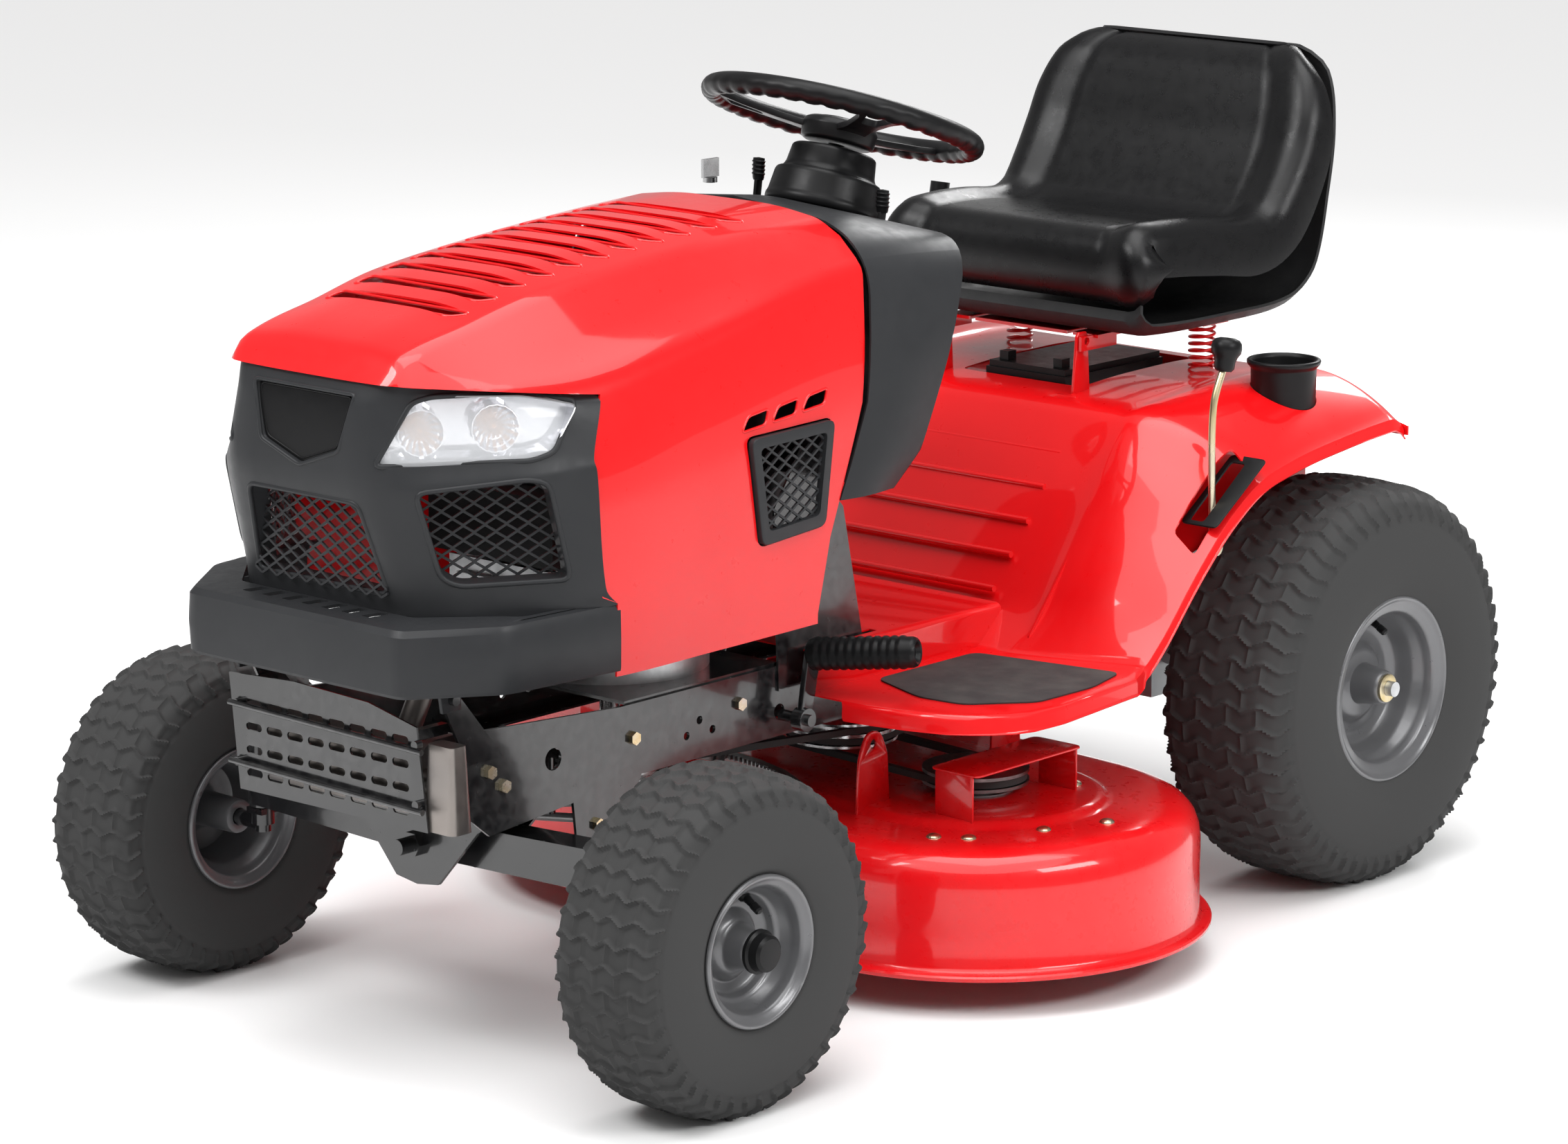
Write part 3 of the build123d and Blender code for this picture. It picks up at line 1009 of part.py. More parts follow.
# ------------------------------------------------------------------ levers and pedal
with BuildPart() as shift_lever:
    bent_rod([(SHIFT_X, SHIFT_Y, SHIFT_Z - 6), (SHIFT_X, SHIFT_Y - 6, 600),
              (SHIFT_X, SHIFT_Y - 6, 650), (SHIFT_X, SHIFT_Y + 18, 692)], 20, 4.5)
    disc((SHIFT_X - 8, SHIFT_Y, SHIFT_Z), (1, 0, 0), 10, 16)
    disc((SHIFT_X - 9, SHIFT_Y, SHIFT_Z), (1, 0, 0), 5 + RUNNING, 18, Mode.SUBTRACT)
    disc((SHIFT_X, SHIFT_Y + 16, 688), (0, 0.4, 0.9), 13, 16)
    disc((SHIFT_X, SHIFT_Y + 24, 706), (0, 0.1, 1), 19, 18)
save(shift_lever, "shift_lever")

LIFT_LEAN = 11.0
with BuildPart() as lift_lever:
    lean = math.radians(LIFT_LEAN)
    up = (0, math.sin(lean), math.cos(lean))
    disc((LIFT_X, LIFT_Y, LIFT_Z), up, 5.5, 220)
    disc((LIFT_X - 6, LIFT_Y, LIFT_Z), (1, 0, 0), 12, 12)
    disc((LIFT_X - 7, LIFT_Y, LIFT_Z), (1, 0, 0), 5 + RUNNING, 14, Mode.SUBTRACT)
    disc((LIFT_X, LIFT_Y + 180 * up[1], LIFT_Z + 180 * up[2]), up, 13, 96)
save(lift_lever, "lift_lever")

with BuildPart() as brake_pedal:
    arm = [(PEDAL_Y - 9, PEDAL_Z), (PEDAL_Y + 9, PEDAL_Z), (PEDAL_Y + 26, 400), (PEDAL_Y + 6, 408)]
    plate(Plane.YZ.offset(PEDAL_X), arm, 8)
    disc((PEDAL_X - 8, PEDAL_Y, PEDAL_Z), (1, 0, 0), 14, 16)
    disc((PEDAL_X - 9, PEDAL_Y, PEDAL_Z), (1, 0, 0), PEDAL_PIN_R + RUNNING, 18, Mode.SUBTRACT)
    disc((PEDAL_X + 2, PEDAL_Y + 16, 400), (118, 49, 12), 19, 128)
save(brake_pedal, "brake_pedal")

# ------------------------------------------------------------------ drive
ENGINE_SHEAVE_R, VARIABLE_R, INPUT_R = 78.0, 68.0, 62.0
GROOVE_DEEP, BELT_THICK, BELT_HIGH = 12.0, 9.0, 8.0
UPPER_Z, LOWER_Z = DRIVE_Z + 7, DRIVE_Z - 7
VARIABLE = (100.0, -655.0)
INPUT = (0.0, -110.0)
ENGINE = (0.0, ENGINE_Y)


def sheave(centre, radius, grooves, low, high):
    """A grooved pulley between two heights."""
    disc((*centre, low), (0, 0, 1), radius, high - low)
    for z in grooves:
        with BuildSketch(Plane.XY.offset(z - BELT_HIGH / 2 - 1)) as ring:
            with Locations(centre):
                Circle(radius + 1)
                Circle(radius - GROOVE_DEEP, mode=Mode.SUBTRACT)
        extrude(ring.sketch, amount=BELT_HIGH + 2, mode=Mode.SUBTRACT)


def belt(first, first_r, second, second_r, z):
    """A flat loop stretched round two pulleys."""
    with BuildSketch(Plane.XY.offset(z - BELT_HIGH / 2)) as loop:
        for grow, mode in ((0.4 + BELT_THICK, Mode.ADD), (0.4, Mode.SUBTRACT)):
            with BuildSketch(Plane.XY, mode=Mode.PRIVATE) as ring:
                with BuildLine():
                    CenterArc(first, first_r - GROOVE_DEEP + grow, 0, 360)
                    CenterArc(second, second_r - GROOVE_DEEP + grow, 0, 360)
                make_hull()
            add(ring.sketch, mode=mode)
    extrude(loop.sketch, amount=BELT_HIGH)


with BuildPart() as engine_pulley:
    sheave(ENGINE, ENGINE_SHEAVE_R, (UPPER_Z, LOWER_Z), LOWER_Z - 8, UPPER_Z + 8)
    disc((*ENGINE, UPPER_Z + 8), (0, 0, 1), CRANK_R, RAIL_TOP + 4 - UPPER_Z - 8 - GAP)
save(engine_pulley, "engine_pulley")

with BuildPart() as variable_pulley:
    sheave(VARIABLE, VARIABLE_R, (UPPER_Z, LOWER_Z), LOWER_Z - 8, UPPER_Z + 8)
    disc((*VARIABLE, LOWER_Z - 9), (0, 0, 1), 8 + RUNNING, 40, Mode.SUBTRACT)
save(variable_pulley, "variable_pulley")

with BuildPart() as input_pulley:
    sheave(INPUT, INPUT_R, (LOWER_Z,), LOWER_Z - 8, LOWER_Z + 8)
    disc((*INPUT, LOWER_Z - 9), (0, 0, 1), 8 + RUNNING, 20, Mode.SUBTRACT)
save(input_pulley, "input_pulley")

with BuildPart() as drive_belts:
    belt(ENGINE, ENGINE_SHEAVE_R, VARIABLE, VARIABLE_R, UPPER_Z)
    belt(VARIABLE, VARIABLE_R, INPUT, INPUT_R, LOWER_Z)
save(drive_belts, "drive_belts")

with BuildPart() as transaxle:
    block((-80, -172, 196), (80, -40, LOWER_Z - 10))
    block((-96, -40, 192), (96, 72, 298))
    for side in (-1, 1):
        disc((side * 90, 0, REAR_Z), (side, 0, 0), 24, 145)
    disc((-300, 0, REAR_Z), (1, 0, 0), AXLE_R + RUNNING, 600, Mode.SUBTRACT)
    disc((*INPUT, LOWER_Z - 11), (0, 0, 1), 8, 24)
    disc((-REAR_TRACK / 2 - 96, 0, REAR_Z), (1, 0, 0), AXLE_R, REAR_TRACK + 192)
save(transaxle, "transaxle")

# ------------------------------------------------------------------ mowing deck
SPINDLES = {1: (DECK_END_X, DECK_Y), -1: (-DECK_END_X, DECK_Y + 40)}
CHUTE_Y0, CHUTE_Y1 = DECK_Y - 110, DECK_Y + 120
CHUTE_HINGE_X, CHUTE_HINGE_Z = -DECK_END_X - DECK_R - 9, DECK_TOP - 24


def deck_outline(radius, z):
    """The deck's plan, a hull round both blade circles, as a sketch at a height."""
    with BuildSketch(Plane.XY.offset(z)) as outline:
        with BuildSketch(Plane.XY, mode=Mode.PRIVATE) as hull:
            with BuildLine():
                for place in SPINDLES.values():
                    CenterArc(place, radius, 0, 360)
            make_hull()
        add(hull.sketch)
    return outline.sketch


SHOULDER, PLATEAU_R, PLATEAU_UP = 44.0, 150.0, 10.0
PULLEY_R = 65.0
SPINDLE_R, BLADE_R, BLADE_Z = 12.0, 240.0, 92.0
with BuildPart() as deck_shell:
    side_top = DECK_TOP - PLATEAU_UP
    extrude(deck_outline(DECK_R, DECK_LOW), amount=side_top - DECK_LOW)
    fillet(deck_shell.faces().sort_by(Axis.Z)[-1].edges(), SHOULDER)
    extrude(deck_outline(DECK_R + DECK_LIP, DECK_LOW), amount=DECK_WALL)
    for place in SPINDLES.values():
        disc((*place, side_top - 2), (0, 0, 1), PLATEAU_R, PLATEAU_UP + 2)
    with BuildPart(mode=Mode.PRIVATE) as hollow:
        extrude(deck_outline(DECK_R - DECK_WALL, DECK_LOW - 1), amount=side_top - DECK_WALL - DECK_LOW + 1)
        fillet(hollow.faces().sort_by(Axis.Z)[-1].edges(), SHOULDER - DECK_WALL)
        for place in SPINDLES.values():
            disc((*place, side_top - 8), (0, 0, 1), PLATEAU_R - DECK_WALL, PLATEAU_UP + 8 - DECK_WALL)
    add(hollow.part, mode=Mode.SUBTRACT)
    for place in SPINDLES.values():
        disc((*place, DECK_TOP - 20), (0, 0, 1), SPINDLE_R + 14, 40, Mode.SUBTRACT)
    block((-700, CHUTE_Y0, DECK_LOW - 5), (-DECK_END_X - 140, CHUTE_Y1, DECK_TOP - 52), Mode.SUBTRACT)
    # hangers that the lift links bolt to
    for x in (-200, 196):
        for y in (DECK_Y + 112, DECK_Y - 136):
            block((x, y, DECK_TOP - 14), (x + 4, y + 60, DECK_TOP + 92))
            disc((x - 1, y + 30, DECK_TOP + 76), (1, 0, 0), 5.5, 6, Mode.SUBTRACT)
    # hinge lugs for the chute
    for y in (CHUTE_Y0 + 4, CHUTE_Y1 - 12):
        block((CHUTE_HINGE_X - 8, y, DECK_TOP - 56), (CHUTE_HINGE_X + 60, y + 8, CHUTE_HINGE_Z + 8))
    disc((CHUTE_HINGE_X, CHUTE_Y0 + 2, CHUTE_HINGE_Z), (0, 1, 0), 4, CHUTE_Y1 - CHUTE_Y0 - 4)
    # a bridge bolted over each spindle pulley, outboard of the belt
    for side, (x, y) in SPINDLES.items():
        x0, x1 = sorted((x + side * 30, x + side * 104))
        block((x0, y - 122, BELT_Z + 34), (x1, y + 76, BELT_Z + 37))
        for leg_y in (y - 122, y + 73):
            block((x0, leg_y, DECK_TOP - 2), (x1, leg_y + 3, BELT_Z + 35))
save(deck_shell, "deck_shell")

with BuildPart() as spindle_housings:
    for x, y in SPINDLES.values():
        disc((x, y, DECK_TOP), (0, 0, 1), 46, 5)
        disc((x, y, DECK_TOP - 46), (0, 0, 1), SPINDLE_R + 12, 58 - 1)
        disc((x, y, DECK_TOP - 50), (0, 0, 1), SPINDLE_R + RUNNING, 80, Mode.SUBTRACT)
save(spindle_housings, "spindle_housings")

for side, hand in ((1, "left"), (-1, "right")):
    x, y = SPINDLES[side]
    with BuildPart() as spindle_set:
        disc((x, y, BLADE_Z - 8), (0, 0, 1), SPINDLE_R, BELT_Z + 24 - BLADE_Z)
        sheave((x, y), PULLEY_R, (BELT_Z,), BELT_Z - 9, BELT_Z + 9)
        with BuildSketch(Plane.XY.offset(BLADE_Z)) as steel:
            with Locations((x, y)):
                Rectangle(2 * BLADE_R, 57)
        extrude(steel.sketch, amount=4)
        for end in (-1, 1):
            x0, x1 = sorted((x + end * (BLADE_R - 90), x + end * BLADE_R))
            y0, y1 = sorted((y - end * 28.5, y - end * 12))
            block((x0, y0, BLADE_Z), (x1, y1, BLADE_Z + 22))
        with BuildSketch(Plane.XY.offset(BLADE_Z - 14)) as nut:
            with Locations((x, y)):
                RegularPolygon(16, 6)
        extrude(nut.sketch, amount=14)
    save(spindle_set, f"blade_{hand}")

with BuildPart() as deck_belt:
    belt(SPINDLES[1], PULLEY_R, SPINDLES[-1], PULLEY_R, BELT_Z)
save(deck_belt, "deck_belt")

CHUTE_OUT = 175.0
with BuildPart() as discharge_chute:
    top = [(CHUTE_HINGE_X - 6, CHUTE_HINGE_Z + 4), (CHUTE_HINGE_X - 60, CHUTE_HINGE_Z - 6),
           (CHUTE_HINGE_X - CHUTE_OUT, CHUTE_HINGE_Z - 92), (CHUTE_HINGE_X - CHUTE_OUT, CHUTE_HINGE_Z - 96),
           (CHUTE_HINGE_X - 61, CHUTE_HINGE_Z - 10), (CHUTE_HINGE_X - 6, CHUTE_HINGE_Z)]
    inside_y0, inside_y1 = CHUTE_Y0 + 16, CHUTE_Y1 - 16
    with BuildSketch(Plane.XZ.offset(-inside_y1)) as roof:
        with BuildLine():
            Polyline(*top, close=True)
        make_face()
    extrude(roof.sketch, amount=inside_y1 - inside_y0)
    cheek = [*top[:3], (CHUTE_HINGE_X - CHUTE_OUT, CHUTE_HINGE_Z - 112),
             (CHUTE_HINGE_X - 12, CHUTE_HINGE_Z - 112)]
    for y in (inside_y0 + 4, inside_y1):
        with BuildSketch(Plane.XZ.offset(-y)) as wall:
            with BuildLine():
                Polyline(*cheek, close=True)
            make_face()
        extrude(wall.sketch, amount=4)
    for y in (inside_y0, (inside_y0 + inside_y1) / 2, inside_y1 - 20):
        disc((CHUTE_HINGE_X, y, CHUTE_HINGE_Z), (0, 1, 0), 8, 20)
        disc((CHUTE_HINGE_X, y - 1, CHUTE_HINGE_Z), (0, 1, 0), 4 + RUNNING, 22, Mode.SUBTRACT)
save(discharge_chute, "discharge_chute")
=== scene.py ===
import logging
import math
from dataclasses import dataclass
from enum import Enum
from typing import Callable, Iterable, Sequence

import bpy
import numpy as np
from mathutils import Matrix, Vector


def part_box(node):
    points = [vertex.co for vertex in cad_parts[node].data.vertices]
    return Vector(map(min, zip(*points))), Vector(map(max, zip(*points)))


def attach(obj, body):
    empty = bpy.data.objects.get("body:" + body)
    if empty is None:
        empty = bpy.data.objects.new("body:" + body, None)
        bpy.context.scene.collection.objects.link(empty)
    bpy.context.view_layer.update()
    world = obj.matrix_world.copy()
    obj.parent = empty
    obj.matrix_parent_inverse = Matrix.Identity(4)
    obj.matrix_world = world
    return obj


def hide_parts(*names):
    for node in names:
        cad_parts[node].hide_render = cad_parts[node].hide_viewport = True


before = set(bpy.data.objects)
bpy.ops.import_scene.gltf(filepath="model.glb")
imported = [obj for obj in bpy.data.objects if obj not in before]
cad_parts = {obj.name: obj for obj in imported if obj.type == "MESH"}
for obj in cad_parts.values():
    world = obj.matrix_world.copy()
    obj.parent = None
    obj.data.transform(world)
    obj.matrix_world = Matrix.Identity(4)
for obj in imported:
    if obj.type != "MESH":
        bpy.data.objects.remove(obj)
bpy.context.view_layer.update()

logging.basicConfig(level=logging.INFO, format="%(message)s")
log = logging.getLogger("mower")

MM = 0.001
Flat = tuple[float, float]
Solid = tuple[float, float, float]
Surface = Callable[[np.ndarray, np.ndarray], tuple[np.ndarray, np.ndarray, np.ndarray]]


# ---------------------------------------------------------------- modelling helpers
def deselect_all() -> None:
    """Leave edit mode and deselect every object."""
    if bpy.context.mode != "OBJECT":
        bpy.ops.object.mode_set(mode="OBJECT")
    bpy.ops.object.select_all(action="DESELECT")


def choose(piece: bpy.types.Object) -> None:
    """Make one object the only selected one and the active one."""
    deselect_all()
    piece.select_set(True)
    bpy.context.view_layer.objects.active = piece


def primitive(kind: str, name: str, **options: object) -> bpy.types.Object:
    """Add a mesh primitive by its operator.

    Args:
        kind: The primitive's name, such as "grid" or "circle".
        name: The new piece's name.
        options: What the operator is given.

    Returns:
        The new object.
    """
    deselect_all()
    getattr(bpy.ops.mesh, f"primitive_{kind}_add")(**options)
    piece = bpy.context.active_object
    piece.name = name
    piece.data.name = name
    return piece


def modify(piece: bpy.types.Object, kind: str, **settings: object) -> None:
    """Give a piece a modifier with these settings and apply it.

    Args:
        piece: The mesh object.
        kind: The modifier's type, such as "BEVEL".
        settings: The modifier's own properties.
    """
    choose(piece)
    modifier = piece.modifiers.new(kind.title(), kind)
    for key, value in settings.items():
        setattr(modifier, key, value)
    bpy.ops.object.modifier_apply(modifier=modifier.name)


def weld(piece: bpy.types.Object, distance: float = 0.00002) -> None:
    """Merge points that lie on each other and turn every face outwards."""
    choose(piece)
    bpy.ops.object.mode_set(mode="EDIT")
    bpy.ops.mesh.select_all(action="SELECT")
    bpy.ops.mesh.remove_doubles(threshold=distance)
    bpy.ops.mesh.normals_make_consistent(inside=False)
    bpy.ops.object.mode_set(mode="OBJECT")


def soften(piece: bpy.types.Object, degrees: float = 35.0) -> None:
    """Shade a piece smooth, with edges sharper than an angle left crisp."""
    choose(piece)
    bpy.ops.object.shade_smooth_by_angle(angle=math.radians(degrees))


def skin(name: str, columns: int, rows: int, place: Surface, closed: bool = False) -> bpy.types.Object:
    """Wrap a grid primitive over a surface.

    Args:
        name: The new piece's name.
        columns: Faces along u.
        rows: Faces along v.
        place: Turns arrays of u and v from 0 to 1 into x, y and z in metres.
        closed: Whether the surface meets itself and is welded.

    Returns:
        The new object.
    """
    piece = primitive("grid", name, x_subdivisions=columns, y_subdivisions=rows, size=1.0)
    flat = np.empty(3 * len(piece.data.vertices))
    piece.data.vertices.foreach_get("co", flat)
    spots = place(flat[0::3] + 0.5, flat[1::3] + 0.5)
    piece.data.vertices.foreach_set("co", np.stack(spots, axis=1).ravel())
    piece.data.update()
    if closed:
        weld(piece)
    return piece


def turned(name: str, profile: Sequence[Flat], centre: Solid, axis: Solid = (1, 0, 0),
           steps: int = 72) -> bpy.types.Object:
    """Spin a closed profile about an axis, as on a lathe.

    Args:
        name: The new piece's name.
        profile: Points (along the axis, radius) of the closed profile, in metres.
        centre: Where the axis' zero lies.
        axis: The axis' direction.
        steps: Faces round the turn.

    Returns:
        The new object.
    """
    piece = primitive("circle", name, vertices=len(profile), radius=1.0)
    for vertex, (along, radius) in zip(piece.data.vertices, profile):
        vertex.co = (radius, 0, along)
    choose(piece)
    bpy.ops.object.mode_set(mode="EDIT")
    bpy.ops.mesh.select_all(action="SELECT")
    bpy.ops.mesh.spin(steps=steps, angle=2 * math.pi, center=(0, 0, 0), axis=(0, 0, 1))
    bpy.ops.object.mode_set(mode="OBJECT")
    turn = Vector((0, 0, 1)).rotation_difference(Vector(axis)).to_matrix().to_4x4()
    piece.data.transform(Matrix.Translation(centre) @ turn)
    weld(piece)
    soften(piece)
    return piece


def plate(name: str, outline: Sequence[Flat], depth: float, origin: Solid, across: Solid,
          up: Solid, bevel: float = 0.0, segments: int = 3) -> bpy.types.Object:
    """Extrude a closed outline into a plate with rounded edges.

    Args:
        name: The new piece's name.
        outline: Points in the plate's own plane, in metres.
        depth: How far the plate goes from its plane along across x up.
        origin: The plane's origin.
        across: The direction of the outline's first axis.
        up: The direction of the outline's second axis.
        bevel: The edge radius, or 0 for none.
        segments: Faces across each rounded edge.

    Returns:
        The new object.
    """
    piece = primitive("circle", name, vertices=len(outline), radius=1.0, fill_type="NGON")
    for vertex, (a, b) in zip(piece.data.vertices, outline):
        vertex.co = (a, b, 0)
    choose(piece)
    bpy.ops.object.mode_set(mode="EDIT")
    bpy.ops.mesh.select_all(action="SELECT")
    bpy.ops.mesh.extrude_region_move(TRANSFORM_OT_translate={"value": (0, 0, depth)})
    bpy.ops.mesh.select_all(action="SELECT")
    bpy.ops.mesh.normals_make_consistent(inside=False)
    bpy.ops.object.mode_set(mode="OBJECT")
    x, y = Vector(across).normalized(), Vector(up).normalized()
    turn = Matrix((x, y, x.cross(y))).transposed().to_4x4()
    piece.data.transform(Matrix.Translation(origin) @ turn)
    if bevel:
        modify(piece, "BEVEL", width=bevel, segments=segments, limit_method="ANGLE",
               angle_limit=math.radians(25))
    soften(piece)
    return piece


def rod(name: str, points: Sequence[Solid], radius: float, smooth: bool = True,
        closed: bool = False, sides: int = 5) -> bpy.types.Object:
    """A round bar along a path, made as a curve and turned into a mesh.

    Args:
        name: The new piece's name.
        points: Points of the path in metres.
        radius: The bar's radius.
        smooth: Whether the path bends smoothly or runs straight between its points.
        closed: Whether the path is a loop.
        sides: Half of the curve's bevel resolution.

    Returns:
        The new object.
    """
    path = bpy.data.curves.new(name, "CURVE")
    path.dimensions = "3D"
    path.bevel_depth = radius
    path.bevel_resolution = sides
    path.use_fill_caps = True
    line = path.splines.new("NURBS" if smooth else "POLY")
    line.points.add(len(points) - 1)
    for spot, place in zip(line.points, points):
        spot.co = (*place, 1.0)
    line.use_cyclic_u = closed
    if smooth:
        line.order_u = 3
        line.use_endpoint_u = not closed
        line.resolution_u = 8
    piece = bpy.data.objects.new(name, path)
    bpy.context.scene.collection.objects.link(piece)
    choose(piece)
    bpy.ops.object.convert(target="MESH")
    piece = bpy.context.active_object
    weld(piece)
    soften(piece, 60)
    return piece


def joined(name: str, pieces: Iterable[bpy.types.Object]) -> bpy.types.Object:
    """Join several meshes into one piece with a new name."""
    pieces = list(pieces)
    choose(pieces[0])
    for piece in pieces:
        piece.select_set(True)
    if len(pieces) > 1:
        bpy.ops.object.join()
    whole = bpy.context.active_object
    whole.name = name
    whole.data.name = name
    return whole


def cut(piece: bpy.types.Object, tools: Iterable[bpy.types.Object]) -> None:
    """Cut pieces out of another by one exact boolean, and remove the tools."""
    tool = joined("cutter", tools)
    modify(piece, "BOOLEAN", operation="DIFFERENCE", solver="EXACT", object=tool, use_self=True)
    bpy.data.objects.remove(tool)


def copied(piece: bpy.types.Object, name: str, change: Matrix) -> bpy.types.Object:
    """A copy with its own mesh, moved by a matrix; a mirrored one gets its faces turned back."""
    twin = piece.copy()
    twin.data = piece.data.copy()
    twin.name = name
    twin.data.name = name
    bpy.context.scene.collection.objects.link(twin)
    twin.data.transform(change)
    if change.determinant() < 0:
        twin.data.flip_normals()
    return twin




def spread(lines: Sequence[Sequence[Flat]], stops: Sequence[float], at: float) -> list[Flat]:
    """Blend between outlines that have the same count of points.

    Args:
        lines: The outlines.
        stops: Where along the run each outline stands, rising.
        at: The place asked for.

    Returns:
        The outline there, with each point moving smoothly from one stop to the next.
    """
    table = np.array(lines, float)
    return [tuple(smooth_through(stops, table[:, index, :], at)) for index in range(table.shape[1])]


def smooth_through(stops: Sequence[float], values: np.ndarray, at: float) -> np.ndarray:
    """A curve through values at rising stops, without overshoot at uneven steps."""
    last = len(stops) - 1
    index = int(np.clip(np.searchsorted(stops, at, side="right") - 1, 0, last - 1))
    width = stops[index + 1] - stops[index]
    share = min(max((at - stops[index]) / width, 0.0), 1.0)

    def slope(spot: int) -> np.ndarray:
        """The curve's slope at one stop, from its neighbours."""
        low, high = max(spot - 1, 0), min(spot + 1, last)
        return (values[high] - values[low]) / (stops[high] - stops[low])

    square, cube = share ** 2, share ** 3
    return ((2 * cube - 3 * square + 1) * values[index] + (cube - 2 * square + share) * width * slope(index)
            + (3 * square - 2 * cube) * values[index + 1] + (cube - square) * width * slope(index + 1))


def rounded(points: Sequence[Flat], radii: Sequence[float], steps: int = 4) -> list[Flat]:
    """An open line with each inner corner rounded, always with the same count of points.

    Args:
        points: The line's corners.
        radii: How far from each inner corner its rounding starts.
        steps: Faces round each corner.

    Returns:
        The rounded line.
    """
    line = [points[0]]
    for index in range(1, len(points) - 1):
        before, corner, after = (np.array(points[index + step], float) for step in (-1, 0, 1))
        reach_in, reach_out = np.linalg.norm(before - corner), np.linalg.norm(after - corner)
        reach = min(radii[index - 1], 0.49 * reach_in, 0.49 * reach_out)
        start = corner + (before - corner) / max(reach_in, 1e-9) * reach
        end = corner + (after - corner) / max(reach_out, 1e-9) * reach
        for step in range(steps + 1):
            share = step / steps
            spot = (1 - share) ** 2 * start + 2 * share * (1 - share) * corner + share ** 2 * end
            line.append(tuple(spot))
    line.append(points[-1])
    return line


def rounded_loop(points: Sequence[Flat], radius: float, steps: int = 4) -> list[Flat]:
    """A closed outline with every corner rounded."""
    wrapped = [points[-1], *points, points[0]]
    return rounded(wrapped, [radius] * len(points), steps)[1:-1]


def table_surface(table: np.ndarray) -> Surface:
    """The surface through a table of points, rows by columns, for a grid of the same count."""
    rows, columns = table.shape[:2]

    def place(u: np.ndarray, v: np.ndarray) -> tuple[np.ndarray, np.ndarray, np.ndarray]:
        """Pick the table's point for each grid corner."""
        spots = table[np.rint(v * (rows - 1)).astype(int), np.rint(u * (columns - 1)).astype(int)]
        return spots[:, 0], spots[:, 1], spots[:, 2]

    return place


def lofted(name: str, table: np.ndarray, closed: bool = False) -> bpy.types.Object:
    """A grid skin through a table of points, rows by columns, in metres."""
    rows, columns = table.shape[:2]
    return skin(name, columns - 1, rows - 1, table_surface(table), closed)


# ---------------------------------------------------------------- finishes
class Grain(Enum):
    """The fine relief of a surface."""

    PAINT = "paint"
    MOULDED = "moulded"
    HIDE = "hide"
    CAST = "cast"
    BRUSHED = "brushed"
    RUBBER = "rubber"
    GRIT = "grit"


class Graph:
    """A node tree that is built by short calls."""

    def __init__(self, tree: bpy.types.NodeTree) -> None:
        """Keep the tree that the nodes go into."""
        self.tree = tree

    def node(self, kind: str, inputs: dict | None = None, **settings: object) -> bpy.types.Node:
        """Add a node, set its properties, and set or link its inputs.

        Args:
            kind: The node's type, without "ShaderNode".
            inputs: Values or output sockets by input name or index.
            settings: The node's own properties.

        Returns:
            The new node.
        """
        item = self.tree.nodes.new(kind if kind.startswith("NodeGroup") else "ShaderNode" + kind)
        for key, value in settings.items():
            setattr(item, key, value)
        for key, value in (inputs or {}).items():
            if isinstance(value, bpy.types.NodeSocket):
                self.tree.links.new(value, item.inputs[key])
            else:
                item.inputs[key].default_value = value
        return item

    def math(self, what: str, first: object, second: object = 0.5,
             clamp: bool = False) -> bpy.types.NodeSocket:
        """A math node's result."""
        return self.node("Math", {0: first, 1: second}, operation=what, use_clamp=clamp).outputs[0]

    def ramp(self, value: object, low: float, high: float, to_low: float = 0.0,
             to_high: float = 1.0) -> bpy.types.NodeSocket:
        """A value spread from one range onto another."""
        return self.node("MapRange", {"Value": value, "From Min": low, "From Max": high,
                                      "To Min": to_low, "To Max": to_high}).outputs["Result"]

    def blend(self, share: object, first: object, second: object) -> bpy.types.NodeSocket:
        """A colour between two others."""
        item = self.node("Mix", data_type="RGBA")
        for key, value in ((0, share), (6, first), (7, second)):
            if isinstance(value, bpy.types.NodeSocket):
                self.tree.links.new(value, item.inputs[key])
            else:
                item.inputs[key].default_value = value
        return item.outputs[2]


def effect(name: str, inputs: dict[str, float], outputs: Sequence[str]) -> tuple[bpy.types.NodeTree, Graph,
                                                                                 dict, dict]:
    """Start a shared effect as a node group.

    Args:
        name: The group's name.
        inputs: Its number inputs with their usual values.
        outputs: Its number outputs.

    Returns:
        The group, its graph, its input sockets and the group-output's sockets by name.
    """
    group = bpy.data.node_groups.new(name, "ShaderNodeTree")
    for key, value in inputs.items():
        socket = group.interface.new_socket(key, in_out="INPUT", socket_type="NodeSocketFloat")
        socket.default_value = value
    for key in outputs:
        group.interface.new_socket(key, in_out="OUTPUT", socket_type="NodeSocketFloat")
    graph = Graph(group)
    start, end = graph.node("NodeGroupInput"), graph.node("NodeGroupOutput")
    return group, graph, {s.name: s for s in start.outputs}, {s.name: s for s in end.inputs}


def mottle_effect() -> bpy.types.NodeTree:
    """Cloudy unevenness on two scales, as in mouldings and paint."""
    group, graph, given, result = effect("Mottle", {"Scale": 6.0, "Fine": 60.0}, ["Mask", "Fine Mask"])
    spot = graph.node("TexCoord").outputs["Object"]
    broad = graph.node("TexNoise", {"Vector": spot, "Scale": given["Scale"], "Detail": 3.0})
    fine = graph.node("TexNoise", {"Vector": spot, "Scale": given["Fine"], "Detail": 5.0, "Roughness": 0.6})
    group.links.new(graph.ramp(broad.outputs[0], 0.35, 0.65), result["Mask"])
    group.links.new(graph.ramp(fine.outputs[0], 0.3, 0.7), result["Fine Mask"])
    return group


